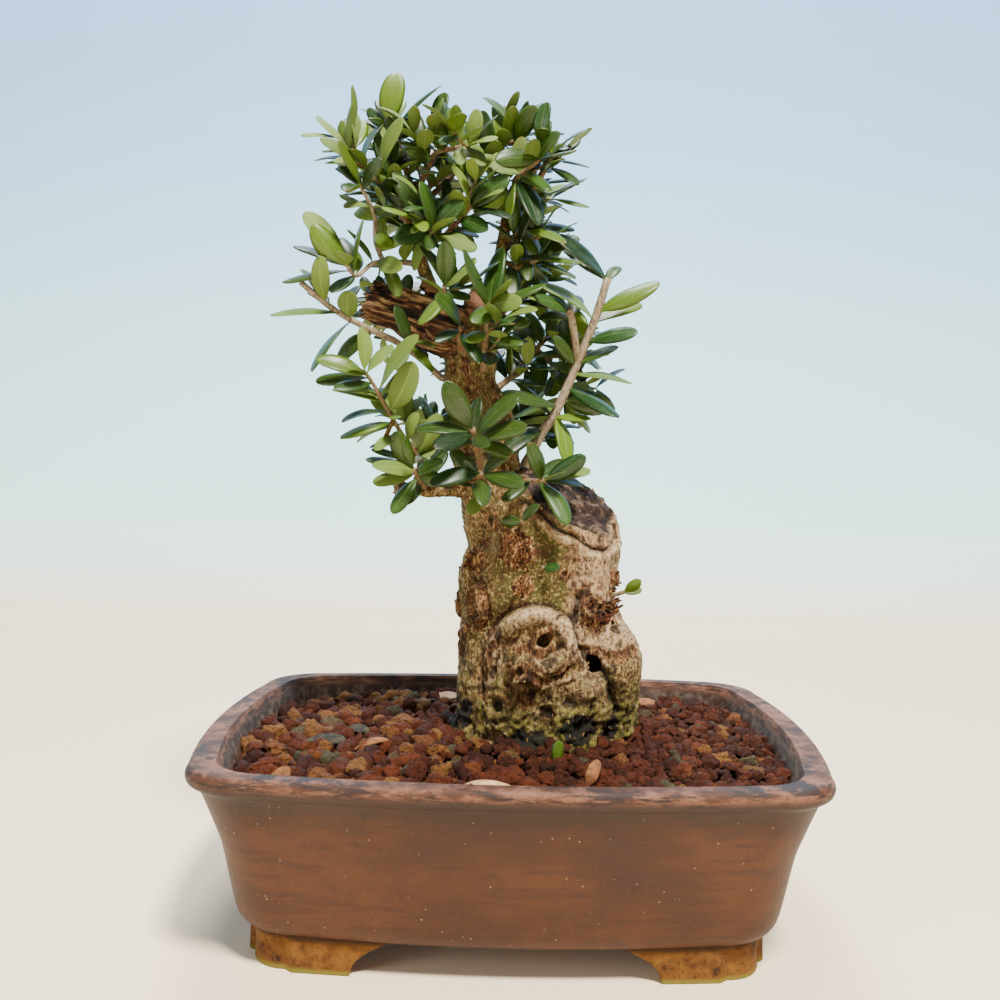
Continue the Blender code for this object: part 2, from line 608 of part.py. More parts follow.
def build_pot(parts, cutters):
    rings = [pot_ring(height, inset) for height, inset in POT_OUTSIDE + POT_INSIDE]
    material = make_material("pot", POT_BROWN, 0.6)
    pot = add_object("pot", loft(rings, "pot"), parts, material)
    for sign_x in (-1, 1):
        for sign_y in (-1, 1):
            bracket_foot(sign_x, sign_y, cutters)
    boolean(pot, "UNION", cutters)
    for sign_x in (-1, 1):
        boolean(pot, "DIFFERENCE", drain_cutter(sign_x * HOLE_X, cutters))
    smoothed(pot, POT_SHARP)
    return pot


def drain_cutter(x, cutters):
    bm = bmesh.new()
    bmesh.ops.create_cone(
        bm, cap_ends=True, segments=12, radius1=HOLE_RADIUS, radius2=HOLE_RADIUS, depth=12.0
    )
    bmesh.ops.translate(bm, verts=bm.verts, vec=(x, 0.0, FLOOR_BOTTOM + 2.5))
    return add_cutter("drain_cutter", mesh_from(bm, "drain_cutter"), cutters)


def build_net(name, x, parts, material):
    """A square plastic net that lies over a drainage hole: a flat grid given thickness along its edges."""
    bm = bmesh.new()
    bmesh.ops.create_grid(bm, x_segments=NET_CELLS, y_segments=NET_CELLS, size=NET_SIZE / 2)
    bmesh.ops.translate(bm, verts=bm.verts, vec=(x, 0.0, FLOOR_TOP + SEAT_GAP + NET_WIRE / 2))
    bmesh.ops.wireframe(
        bm, faces=bm.faces, thickness=NET_WIRE, use_boundary=True, use_even_offset=True, use_replace=True
    )
    add_object(name, mesh_from(bm, name), parts, material)


def grain_relief(x, y):
    """Height of the grains over the bed: noise finer than the mesh, so each point stands or lies on its own."""
    return GRAIN_HEIGHT * (noise.noise(Vector((x, y, 5.1)) / GRAIN_PITCH) + 0.35)


def soil_height(x, y):
    """The bed slopes up from the walls to the foot of the trunk."""
    reach = math.hypot((x - SOIL_CENTRE[0]) / SOIL_REACH[0], (y - SOIL_CENTRE[1]) / SOIL_REACH[1])
    return SOIL_EDGE + SOIL_MOUND * max(0.0, 1.0 - reach) + grain_relief(x, y)


def build_soil(parts, cutters):
    shoulder = SOIL_EDGE - 0.6
    shoulder_inset = wall_inset(shoulder) + SOIL_WALL_GAP
    walls = [(height, inset) for height, inset in POT_INSIDE if height < shoulder][::-1]
    rings = [
        pot_ring(max(height, FLOOR_TOP + SEAT_GAP), inset + SOIL_WALL_GAP, SOIL_STEPS) for height, inset in walls
    ]
    rings.append(pot_ring(shoulder, shoulder_inset, SOIL_STEPS))
    edge = plan_outline(shoulder_inset, SOIL_STEPS)
    for k in range(SOIL_RINGS):
        share = 1.0 - max(k, 0.15) / SOIL_RINGS
        rings.append([(x * share, y * share, soil_height(x * share, y * share)) for x, y in edge])
    soil = add_object("soil", loft(rings, "soil"), parts, make_material("soil", SOIL_BROWN, 0.95))
    rings = [trunk_ring(row, ROOT_HOLE_GAP, 0.0) for row in TRUNK_RINGS if row[0] <= ROOT_HOLE_TOP]
    rings[0] = [(x, y, z - SEAT_GAP) for x, y, z in rings[0]]
    boolean(soil, "DIFFERENCE", add_cutter("root_hole", loft(rings, "root_hole"), cutters))
    for sign_x in (-1, 1):
        boolean(soil, "DIFFERENCE", net_pocket(sign_x * HOLE_X, cutters))
    return soil


def wall_inset(height):
    """How far in the pot's inner wall lies at a height."""
    for (high, inset_high), (low, inset_low) in zip(POT_INSIDE, POT_INSIDE[1:]):
        if low <= height < high:
            return inset_low + (inset_high - inset_low) * (height - low) / (high - low)
    return POT_INSIDE[-1][1]


def net_pocket(x, cutters):
    bm = bmesh.new()
    bmesh.ops.create_cube(bm, size=1.0)
    height = NET_WIRE + 2 * SEAT_GAP
    bmesh.ops.scale(bm, vec=(NET_SIZE + 2.4, NET_SIZE + 2.4, 2 * height), verts=bm.verts)
    bmesh.ops.translate(bm, verts=bm.verts, vec=(x, 0.0, FLOOR_TOP + SEAT_GAP))
    return add_cutter("net_pocket", mesh_from(bm, "net_pocket"), cutters)


def lump_height(point):
    """Sum of the trunk's swellings and hollows at a point near its surface."""
    total = 0.0
    for x, y, z, crest, breadth, height in TRUNK_LUMPS:
        away = (point - Vector((x, y, z))).length
        total += height * math.exp(-(((away - crest) / breadth) ** 2))
    return total


def pressed(point, cut):
    """The point, brought down onto a sawn plane where it stands above it."""
    origin, normal = Vector(cut[0]), Vector(cut[1]).normalized()
    above = (point - origin).dot(normal)
    return point - normal * above if above > 0 else point


def trunk_ring(row, extra=0.0, rough=1.0):
    """One ring of the trunk: an ellipse with lobes, lumps and the sawn shoulder. Below the soil it is plain."""
    height, centre_x, centre_y, half_x, half_y = row
    bury = rough * min(1.0, max(0.0, (height - 42.5) / 3.0))
    points = []
    for k in range(TRUNK_SIDES):
        angle = 2 * math.pi * k / TRUNK_SIDES
        direction = Vector((math.cos(angle), math.sin(angle), 0.0))
        point = Vector((centre_x + half_x * direction.x, centre_y + half_y * direction.y, height))
        lobes = 0.7 * math.sin(5 * angle + 0.06 * height) + 0.5 * math.sin(9 * angle - 0.11 * height)
        point += direction * (extra + bury * (lobes + lump_height(point)))
        points.append(tuple(pressed(point, SHOULDER_CUT)))
    return points


def trunk_body():
    return loft([trunk_ring(row) for row in TRUNK_RINGS], "trunk")


def pressed_mesh(mesh, cut):
    for vertex in mesh.vertices:
        vertex.co = pressed(vertex.co / MM, cut) * MM
    return mesh


def trunk_pieces():
    """The lofted body and every limb of the trunk, before they are joined."""
    pieces = [trunk_body()]
    upper = tube([p[:3] for p in UPPER_TRUNK], [p[3] for p in UPPER_TRUNK], UPPER_TRUNK_DETAIL, "upper_trunk")
    pieces.append(pressed_mesh(upper, CROWN_CUT))
    stump = [place[:3] for place in DEAD_STUMP]
    pieces.append(tube(stump, [place[3] for place in DEAD_STUMP], UPPER_TRUNK_DETAIL - 1, "dead_stump"))
    for limb in LIMBS:
        pieces.append(tube([p[:3] for p in limb], [p[3] for p in limb], LIMB_DETAIL, "limb"))
    return pieces


def build_trunk(pieces, parts, cutters):
    trunk = add_object("trunk", pieces[0].copy(), parts, make_material("trunk", BARK, 0.85))
    for mesh in pieces[1:]:
        add_cutter("limb", mesh.copy(), cutters)
    boolean(trunk, "UNION", cutters)
    smoothed(trunk, TRUNK_SHARP)
    return trunk


def tree_of(mesh):
    """A search tree over a mesh, in millimetres."""
    return BVHTree.FromPolygons([v.co / MM for v in mesh.vertices], [p.vertices[:] for p in mesh.polygons])


def is_inside(point, tree):
    """True where a ray from the point crosses the solid's surface an odd number of times."""
    crossings = 0
    place = tree.ray_cast(point, RAY)[0]
    while place is not None:
        crossings += 1
        place = tree.ray_cast(place + RAY * RAY_STEP, RAY)[0]
    return crossings % 2 == 1


def clearance_to(point, trees):
    """How far a point stands outside the nearest of the solids, negative inside one."""
    return min(
        -tree.find_nearest(point)[3] if is_inside(point, tree) else tree.find_nearest(point)[3] for tree in trees
    )


def resampled(route, pitch=0.1):
    """Points along a route at an even pitch."""
    points = []
    for start, end in zip(route, route[1:]):
        steps = max(1, int((end - start).length / pitch))
        points += [start.lerp(end, k / steps) for k in range(steps)]
    return points + [route[-1]]


def seated_route(route, radius, trees):
    """The route from the first place where the twig's foot stands a seat's gap clear of the trunk."""
    route = [Vector(point) for point in route]
    fine = resampled(route)
    for k, point in enumerate(fine[:-1]):
        direction = (fine[k + 1] - point).normalized()
        side = direction.orthogonal().normalized() * radius
        turns = [Matrix.Rotation(2 * math.pi * j / RIM_POINTS, 3, direction) for j in range(RIM_POINTS)]
        rim = [point] + [point + turn @ side for turn in turns]
        if min(clearance_to(place, trees) for place in rim) >= SEAT_GAP:
            return [point] + rest_of(route, point, k, len(fine))
    return route


def rest_of(route, point, index, total):
    """The route's own points that come after a place on it."""
    travelled = 0.0
    lengths = [0.0]
    for start, end in zip(route, route[1:]):
        travelled += (end - start).length
        lengths.append(travelled)
    here = nearest_share(route, point) * lengths[-1]
    return [place for place, length in zip(route, lengths) if length > here + 0.6]


def nearest_share(route, point):
    """Share of a route's length at its place nearest to a point."""
    total = sum((b - a).length for a, b in zip(route, route[1:]))
    best, found, travelled = 1e9, 0.0, 0.0
    for start, end in zip(route, route[1:]):
        span = end - start
        share = min(1.0, max(0.0, (point - start).dot(span) / span.length_squared))
        away = (start + span * share - point).length
        if away < best:
            best, found = away, travelled + span.length * share
        travelled += span.length
    return found / total


def place_on(route, share):
    """Point and direction at a share of a route's length."""
    total = sum((b - a).length for a, b in zip(route, route[1:]))
    left = share * total
    for start, end in zip(route, route[1:]):
        span = (end - start).length
        if left <= span + 1e-6:
            return start.lerp(end, left / span), (end - start).normalized()
        left -= span
    return route[-1].copy(), (route[-1] - route[-2]).normalized()


def leaf_feet(routes, chosen):
    """Each leaf's foot on its twig's middle line. Those of a tuft follow one another down from the tip."""
    feet = []
    crowded = {}
    for leaf in chosen:
        point, direction = place_on(routes[leaf.twig], leaf.along)
        if leaf.along > TUFT_FROM:
            rank = crowded.get(leaf.twig, 0)
            crowded[leaf.twig] = rank + 1
            point = place_on(routes[leaf.twig], 1.0)[0] - direction * (TIP_SETBACK + TUFT_PITCH * rank)
        feet.append(point)
    return feet


class Blade(NamedTuple):
    """A leaf blade: foot, tip, upward normal, greatest width and how far its middle arches."""

    foot: Vector
    tip: Vector
    normal: Vector
    width: float
    arch: float


def blade_mesh(blade, clearance=0.0, start=0.0):
    """A thin arched blade with a leaf's outline, as points and faces in millimetres."""
    length = (blade.tip - blade.foot).length
    outline = LARGE_OUTLINE if length > LARGE_BLADE else SMALL_OUTLINE
    axis = (blade.tip - blade.foot).normalized()
    across = axis.cross(blade.normal).normalized()
    bm = bmesh.new()
    bmesh.ops.create_grid(bm, x_segments=len(outline) - 1, y_segments=1, size=0.5)
    for vertex in bm.verts:
        share, half = outline[round((vertex.co.x + 0.5) * (len(outline) - 1))]
        share = start + (1.0 - start) * share
        reach = half * blade.width / 2 + clearance
        rise = blade.arch * length * math.sin(math.pi * share)
        middle = blade.foot + axis * (length * share) + blade.normal * rise
        vertex.co = middle + across * math.copysign(reach, vertex.co.y)
    bmesh.ops.remove_doubles(bm, verts=bm.verts, dist=0.01)
    thick = BLADE_THICKNESS + 2 * clearance
    bmesh.ops.triangulate(bm, faces=bm.faces)
    bmesh.ops.translate(bm, verts=bm.verts, vec=blade.normal * thick / 2)
    bmesh.ops.solidify(bm, geom=bm.faces, thickness=thick)
    return bm


def blade_tree(blade, clearance=0.0, start=0.0):
    bm = blade_mesh(blade, clearance, start)
    tree = BVHTree.FromBMesh(bm)
    bm.free()
    return tree


def facing_blade(foot, tip, shown, draw):
    """A blade turned about its length so that from the front it shows the given width."""
    if (tip - foot).length > BLADE_LONGEST:
        tip = foot + (tip - foot).normalized() * BLADE_LONGEST
    length = (tip - foot).length
    width = min(5.6, max(shown, 2.4, 0.33 * length))
    axis = (tip - foot).normalized()
    front = (-VIEW - axis * axis.dot(-VIEW)).normalized()
    side = axis.cross(front)
    turn = math.acos(min(1.0, shown / width))
    normals = [front * math.cos(turn) + side * math.sin(sign * turn) for sign in (-1, 1)]
    normal = max(normals, key=lambda n: n.z)
    return Blade(foot, tip, normal, width, draw.uniform(0.03, 0.10))


def paired_blades(route, pairs, length, draw):
    """Opposite pairs, each pair turned a quarter about the twig from the last, and a tuft at the tip."""
    blades = []
    for k in range(pairs):
        share = 0.25 + 0.70 * k / (pairs - 1)
        point, direction = place_on(route, share)
        side = direction.cross(Vector((0.3, 0.2, 1.0))).normalized()
        side = Matrix.Rotation(math.pi / 2 * k + draw.uniform(-0.3, 0.3), 3, direction) @ side
        lean = math.radians(62 - 26 * share)
        for sign in (-1, 1):
            axis = direction * math.cos(lean) + side * sign * math.sin(lean)
            axis = (axis + Vector((0, 0, draw.uniform(-0.05, 0.2)))).normalized()
            size = length * draw.uniform(0.8, 1.1)
            up = (direction + Vector((0, 0, 0.8))) - axis * axis.dot(direction + Vector((0, 0, 0.8)))
            blades.append(
                Blade(point.copy(), point + axis * size, up.normalized(), 0.34 * size, draw.uniform(0.02, 0.09))
            )
    return blades


def tilted(blade, around, angle, scale):
    """The blade swung about its foot and made shorter."""
    axis = (blade.tip - blade.foot).normalized()
    across = axis.cross(blade.normal)
    turn = Matrix.Rotation(angle, 3, across if around == 0 else blade.normal)
    tip = blade.foot + turn @ (blade.tip - blade.foot) * scale
    return Blade(blade.foot, tip, (turn @ blade.normal).normalized(), blade.width * scale, blade.arch)


def tries(blade):
    """The blade itself, then the same blade swung ever further, then shorter ones."""
    yield blade
    for scale in (1.0, 0.85, 0.72):
        for degrees in (8, 16, 24, 32):
            for around in (1, 0):
                for sign in (-1, 1):
                    yield tilted(blade, around, math.radians(sign * degrees), scale)


class Placed(NamedTuple):
    """A solid already in place, with its shoot, its search tree and a ball that holds it."""

    shoot: str
    tree: BVHTree
    centre: Vector
    radius: float


def ball(blade):
    """Centre and radius of a ball that holds the blade."""
    return (blade.foot + blade.tip) / 2, (blade.tip - blade.foot).length / 2 + BALL_MARGIN


def clear_of(blade, shoot, placed):
    """True where the blade keeps its distance from other shoots and meets its own only near its foot."""
    centre, reach = ball(blade)
    whole = blade_tree(blade, BLADE_CLEARANCE)
    outer = blade_tree(blade, OWN_CLEARANCE, FREE_SHARE)
    for other in placed:
        if (other.centre - centre).length > reach + other.radius:
            continue
        tree = outer if other.shoot == shoot else whole
        if tree.overlap(other.tree):
            return False
    return True


def placed_tube(shoot, mesh, route):
    centre = sum(route, Vector()) / len(route)
    radius = max((point - centre).length for point in route) + 2 * BALL_MARGIN
    return Placed(shoot, tree_of(mesh), centre, radius)


def grow_shoots(pieces):
    """Routes, twig meshes and blades of every shoot, placed one after another clear of what is there."""
    trees = [tree_of(mesh) for mesh in pieces]
    placed = [Placed("trunk", tree, Vector((0, 10, 100)), 200.0) for tree in trees]
    grown = []
    for shoot in SHOOTS:
        routes = []
        meshes = []
        for k, route in enumerate(shoot.twigs):
            first = shoot.radii[0] if k == 0 else SIDE_TWIG_SHARE * shoot.radii[0]
            points = seated_route(route, first, trees) if k == 0 else [Vector(p) for p in route]
            radii = [first + (shoot.radii[1] - first) * j / (len(points) - 1) for j in range(len(points))]
            meshes.append(tube(points, radii, TWIG_DETAIL, shoot.name))
            routes.append(points)
            placed.append(placed_tube(shoot.name, meshes[-1], points))
        grown.append((shoot, routes, meshes))
    return grow_blades(grown, placed)


def grow_blades(grown, placed):
    """Sets every shoot's blades, those chosen by hand first, and drops the few that find no free place."""
    draw = random.Random(SEED)
    result = []
    blades_of = {shoot.name: [] for shoot, _, _ in grown}
    for by_rule in (False, True):
        for shoot, routes, _ in grown:
            chosen = [] if by_rule else shoot.leaves
            wanted = [
                facing_blade(foot, Vector(leaf.tip), leaf.shown, draw)
                for foot, leaf in zip(leaf_feet(routes, chosen), chosen)
            ]
            if by_rule and shoot.pairs:
                wanted = paired_blades(routes[0], shoot.pairs, shoot.blade, draw)
            for blade in wanted:
                found = next((b for b in tries(blade) if clear_of(b, shoot.name, placed)), None)
                if found:
                    blades_of[shoot.name].append(found)
                    placed.append(Placed(shoot.name, blade_tree(found), *ball(found)))
    for shoot, routes, meshes in grown:
        result.append((shoot, routes, meshes, blades_of[shoot.name]))
    return result


def sunk(blade):
    """The blade with its foot pushed back through the twig's middle, so that it is rooted in it."""
    axis = (blade.tip - blade.foot).normalized()
    return blade._replace(foot=blade.foot - axis * BLADE_SUNK)


def build_shoot(shoot, meshes, blades, parts, cutters, material):
    obj = add_object(shoot.name, meshes[0], parts, material)
    for mesh in meshes[1:]:
        add_cutter("twig", mesh, cutters)
    for blade in blades:
        add_cutter("blade", mesh_from(blade_mesh(sunk(blade)), "blade"), cutters)
    if cutters.objects:
        boolean(obj, "UNION", cutters)
    obj.data.materials.clear()
    obj.data.materials.append(material)
    smoothed(obj, TWIG_SHARP)
    return obj


def main():
    clear_scene()
    parts = make_collection("wild_olive_bonsai")
    cutters = make_collection("cutters")
    build_pot(parts, cutters)
    build_soil(parts, cutters)
    net_material = make_material("drain_net", NET_BLACK, 0.6)
    build_net("drain_net_left", -HOLE_X, parts, net_material)
    build_net("drain_net_right", HOLE_X, parts, net_material)
    pieces = trunk_pieces()
    build_trunk(pieces, parts, cutters)
    leaf_material = make_material("leaf", LEAF_GREEN, 0.4)
    for shoot, _, meshes, blades in grow_shoots(pieces):
        build_shoot(shoot, meshes, blades, parts, cutters, leaf_material)


main()
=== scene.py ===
"""Looks of a wild olive bonsai in its shallow pot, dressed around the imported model.

Lengths are in millimetres and MM turns them into metres where a mesh is made. The origin is the centre of the
ground under the pot, +X is the viewer's right, +Y points away from the viewer and +Z is up.
"""

import logging
import math
import random
from dataclasses import dataclass, field
from enum import Enum
from typing import Iterator, NamedTuple, Sequence, Union

import bmesh
import bpy
import numpy as np
from mathutils import Matrix, Vector, noise
from mathutils.bvhtree import BVHTree


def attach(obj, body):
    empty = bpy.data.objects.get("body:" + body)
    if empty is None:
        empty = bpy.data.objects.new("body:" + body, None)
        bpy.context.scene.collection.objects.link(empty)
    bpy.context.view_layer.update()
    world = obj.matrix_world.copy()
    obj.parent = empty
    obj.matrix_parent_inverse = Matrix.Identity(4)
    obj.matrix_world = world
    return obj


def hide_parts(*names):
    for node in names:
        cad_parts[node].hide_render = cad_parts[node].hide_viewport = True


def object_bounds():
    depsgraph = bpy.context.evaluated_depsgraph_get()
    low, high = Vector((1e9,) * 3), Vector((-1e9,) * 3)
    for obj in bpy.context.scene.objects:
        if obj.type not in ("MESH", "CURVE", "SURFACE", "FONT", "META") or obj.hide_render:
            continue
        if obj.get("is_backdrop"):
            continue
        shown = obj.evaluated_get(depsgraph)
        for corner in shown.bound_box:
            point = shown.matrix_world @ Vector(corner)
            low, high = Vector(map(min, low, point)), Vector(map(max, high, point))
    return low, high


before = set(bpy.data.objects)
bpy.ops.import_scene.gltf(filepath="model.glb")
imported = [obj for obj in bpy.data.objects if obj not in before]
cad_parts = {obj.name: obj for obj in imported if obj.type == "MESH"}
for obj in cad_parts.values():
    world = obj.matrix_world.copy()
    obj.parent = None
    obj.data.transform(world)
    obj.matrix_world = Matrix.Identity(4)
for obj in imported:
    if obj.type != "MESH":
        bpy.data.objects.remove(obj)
SOLID_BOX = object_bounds()

MM = 0.001
BODY = "root"
SEAT_GAP = 0.3
Colour = tuple[float, float, float]
Ring = list[tuple[float, float, float]]

logging.basicConfig(level=logging.INFO, format="%(message)s")
log = logging.getLogger("bonsai")


def hue(code: str) -> Colour:
    """Linear colour of a six-digit screen colour.

    Args:
        code: Six hexadecimal digits.

    Returns:
        Red, green and blue from 0 to 1, linear.
    """
    shares = [int(code[k : k + 2], 16) / 255 for k in (0, 2, 4)]
    red, green, blue = [s / 12.92 if s <= 0.04045 else ((s + 0.055) / 1.055) ** 2.4 for s in shares]
    return red, green, blue


def eased(value: float, low: float, high: float) -> float:
    """Share of the way from low to high, smoothed and held between 0 and 1.

    Args:
        value: The number that is looked at.
        low: Where the share is 0.
        high: Where the share is 1. It may lie below low.

    Returns:
        The smoothed share.
    """
    share = min(1.0, max(0.0, (value - low) / (high - low)))
    return share * share * (3.0 - 2.0 * share)


class Value:
    """A node's output that takes part in Python expressions."""

    def __init__(self, graph: "Graph", socket: bpy.types.NodeSocket) -> None:
        """Wraps a socket of a graph."""
        self.graph = graph
        self.socket = socket

    def _math(self, operation: str, first: "Number", second: "Number") -> "Value":
        """Adds a Math node for two numbers."""
        return self.graph.node("ShaderNodeMath", {"operation": operation}, {0: first, 1: second})

    def __add__(self, other: "Number") -> "Value":
        """Sum."""
        return self._math("ADD", self, other)

    def __radd__(self, other: "Number") -> "Value":
        """Sum with the number first."""
        return self._math("ADD", other, self)

    def __sub__(self, other: "Number") -> "Value":
        """Difference."""
        return self._math("SUBTRACT", self, other)

    def __rsub__(self, other: "Number") -> "Value":
        """Difference with the number first."""
        return self._math("SUBTRACT", other, self)

    def __mul__(self, other: "Number") -> "Value":
        """Product."""
        return self._math("MULTIPLY", self, other)

    def __rmul__(self, other: "Number") -> "Value":
        """Product with the number first."""
        return self._math("MULTIPLY", other, self)

    def __pow__(self, other: "Number") -> "Value":
        """Power."""
        return self._math("POWER", self, other)

    def __abs__(self) -> "Value":
        """Size without sign."""
        return self._math("ABSOLUTE", self, 0.0)

    def sine(self) -> "Value":
        """Sine of an angle in radians."""
        return self._math("SINE", self, 0.0)

    def above(self, low: float, high: float) -> "Value":
        """Smooth share from low to high, held between 0 and 1.

        Args:
            low: Where the share is 0.
            high: Where the share is 1. It may lie below low.

        Returns:
            The share.
        """
        ends = {"From Min": low, "From Max": high, "To Min": 0.0, "To Max": 1.0}
        start, end = (low, high) if low < high else (high, low)
        ends["From Min"], ends["From Max"] = start, end
        share = self.graph.node(
            "ShaderNodeMapRange", {"interpolation_type": "SMOOTHSTEP"}, {"Value": self, **ends}
        )
        return share if low < high else 1.0 - share


Number = Union[Value, float]


class Graph:
    """A material's nodes, with its Principled shader ready."""

    def __init__(self, name: str) -> None:
        """Makes an empty material of that name."""
        self.material = bpy.data.materials.new(name)
        self.material.use_nodes = True
        self.tree = self.material.node_tree
        self.shader = self.tree.nodes["Principled BSDF"]

    def node(self, kind: str, settings: dict | None = None, values: dict | None = None, output: int = 0) -> Value:
        """Adds any node.

        Args:
            kind: The node's type.
            settings: Its own settings, set first. The key stops holds a ramp's places and colours.
            values: Numbers, colours, vectors or links by input name or number.
            output: Number of the output that is returned.

        Returns:
            The chosen output.
        """
        made = self.tree.nodes.new(kind)
        for key, setting in (settings or {}).items():
            if key == "stops":
                self._set_stops(made.color_ramp, setting)
            else:
                setattr(made, key, setting)
        for key, value in (values or {}).items():
            socket = made.inputs[key]
            if isinstance(value, Value):
                self.tree.links.new(value.socket, socket)
            elif socket.type == "RGBA":
                socket.default_value = (*value[:3], 1.0)
            else:
                socket.default_value = value
        return Value(self, made.outputs[output])

    @staticmethod
    def _set_stops(ramp: bpy.types.ColorRamp, stops: Sequence[tuple[float, Colour]]) -> None:
        """Replaces a ramp's elements by the given places and colours."""
        while len(ramp.elements) > 1:
            ramp.elements.remove(ramp.elements[-1])
        for k, (place, colour) in enumerate(stops):
            element = ramp.elements[0] if k == 0 else ramp.elements.new(place)
            element.position = place
            element.color = (*colour, 1.0)

    def place(self, stretch: tuple[float, float, float] = (1.0, 1.0, 1.0)) -> Value:
        """Place on the object in millimetres, stretched along its axes.

        Args:
            stretch: Factor on each axis. A small factor draws a pattern out along that axis.

        Returns:
            A vector output.
        """
        point = self.node("ShaderNodeTexCoord", output=3)
        factor = tuple(part / MM for part in stretch)
        return self.node("ShaderNodeVectorMath", {"operation": "MULTIPLY"}, {0: point, 1: factor})

    def axis(self, vector: Value, index: int) -> Value:
        """One part of a vector."""
        return self.node("ShaderNodeSeparateXYZ", None, {0: vector}, index)

    def grain(self, point: Value, size: float, detail: float = 2.0, roughness: float = 0.5) -> Value:
        """Soft noise from 0 to 1.

        Args:
            point: Place in millimetres.
            size: Size of its blotches in millimetres.
            detail: Octaves.
            roughness: Weight of the finer octaves.

        Returns:
            The noise.
        """
        values = {"Vector": point, "Scale": 1.0 / size, "Detail": detail, "Roughness": roughness}
        return self.node("ShaderNodeTexNoise", None, values)

    def cells(self, point: Value, size: float, feature: str = "F1", output: int = 0) -> Value:
        """Distance in a pattern of cells.

        Args:
            point: Place in millimetres.
            size: Size of a cell in millimetres.
            feature: F1 or DISTANCE_TO_EDGE.
            output: 0 for the distance and 1 for a random colour of each cell.

        Returns:
            The distance or colour.
        """
        return self.node("ShaderNodeTexVoronoi", {"feature": feature}, {"Vector": point, "Scale": 1.0 / size}, output)

    def warped(self, point: Value, size: float, amount: float) -> Value:
        """A place pushed about by noise.

        Args:
            point: Place in millimetres.
            size: Size of the waves in millimetres.
            amount: Greatest push in millimetres.

        Returns:
            The pushed place.
        """
        push = self.node("ShaderNodeTexNoise", None, {"Vector": point, "Scale": 1.0 / size, "Detail": 2.0}, 1)
        scaled = self.node("ShaderNodeVectorMath", {"operation": "SCALE"}, {0: push, 3: 2.0 * amount})
        return self.node("ShaderNodeVectorMath", {"operation": "ADD"}, {0: point, 1: scaled})

    def mark(self, name: str, output: int = 2) -> Value:
        """A mark stored on the mesh, as a number, or with output 1 as a vector."""
        return self.node("ShaderNodeAttribute", {"attribute_name": name}, None, output)

    def ramp(self, value: Value, *stops: tuple[float, Colour]) -> Value:
        """Colour from a number by a ramp of places and colours."""
        return self.node("ShaderNodeValToRGB", {"stops": stops}, {0: value})

    def mix(self, low: "Value | Colour", high: "Value | Colour", factor: Number, how: str = "MIX") -> Value:
        """Mixes two colours.

        Args:
            low: Colour where the factor is 0.
            high: Colour where the factor is 1.
            factor: Share of the second colour.
            how: Blend type.

        Returns:
            The mixed colour.
        """
        settings = {"data_type": "RGBA", "blend_type": how, "clamp_factor": True}
        return self.node("ShaderNodeMix", settings, {0: factor, 6: low, 7: high}, 2)

    def bump(self, height: Value, depth: float, strength: float = 1.0) -> Value:
        """Bump from a height.

        Args:
            height: Height from 0 to 1.
            depth: What 1 stands for, in millimetres.
            strength: Share of the effect.

        Returns:
            The normal.
        """
        return self.node("ShaderNodeBump", None, {"Height": height, "Distance": depth * MM, "Strength": strength})

    def finish(self, colour: "Value | Colour", roughness: Number, normal: Value | None = None, **fixed: float) -> None:
        """Joins colour, roughness and normal to the shader and sets its fixed values.

        Args:
            colour: Base colour.
            roughness: Roughness.
            normal: Normal from a bump, if any.
            **fixed: Input names with _ for spaces, and their numbers.
        """
        links = {"Base Color": colour, "Roughness": roughness}
        if normal:
            links["Normal"] = normal
        for key, value in links.items():
            socket = self.shader.inputs[key]
            if isinstance(value, Value):
                self.tree.links.new(value.socket, socket)
            elif key == "Base Color":
                socket.default_value = (*value, 1.0)
            else:
                socket.default_value = value
        for key, value in fixed.items():
            self.shader.inputs[key.replace("_", " ")].default_value = value


class Slot(Enum):
    """Material slots."""

    POT = "pot"
    SOIL = "soil"
    NET = "drain_net"
    BARK = "bark"
    LEAF = "leaf"


def made_piece(name: str, points: np.ndarray, faces: list, marks: dict[str, np.ndarray] | None = None) -> bpy.types.Object:
    """Makes a smooth-shaded object from points in millimetres.

    Args:
        name: Name of the piece.
        points: One row per point.
        faces: Point numbers of each face.
        marks: Numbers or vectors stored on the points, by name.

    Returns:
        The object, linked to the scene.
    """
    mesh = bpy.data.meshes.new(name)
    mesh.from_pydata((np.asarray(points, float) * MM).tolist(), [], faces)
    for label, values in (marks or {}).items():
        set_mark(mesh, label, values)
    mesh.shade_smooth()
    return linked(bpy.data.objects.new(name, mesh))


def set_mark(mesh: bpy.types.Mesh, label: str, values: np.ndarray) -> None:
    """Stores a number or a vector on every point of a mesh."""
    flat = np.ascontiguousarray(values, np.float32)
    kind, key = ("FLOAT", "value") if flat.ndim == 1 else ("FLOAT_VECTOR", "vector")
    layer = mesh.attributes.new(label, kind, "POINT")
    layer.data.foreach_set(key, flat.ravel())


def linked(obj: bpy.types.Object) -> bpy.types.Object:
    """Links an object to the scene."""
    bpy.context.scene.collection.objects.link(obj)
    return obj


def dressed(piece: bpy.types.Object, finish: bpy.types.Material, slot: Slot, *nodes: str) -> bpy.types.Object:
    """Gives a piece its finish, lets it ride on the body and hides the CAD nodes that it replaces.

    Args:
        piece: The object.
        finish: Its material.
        slot: Not used.
        *nodes: CAD nodes that it replaces.

    Returns:
        The same object.
    """
    piece.data.materials.clear()
    piece.data.materials.append(finish)
    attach(piece, BODY)
    if nodes:
        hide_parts(*nodes)
    triangles = sum(len(face.vertices) - 2 for face in piece.data.polygons)
    log.info("%s: %d triangles", piece.name, triangles)
    return piece


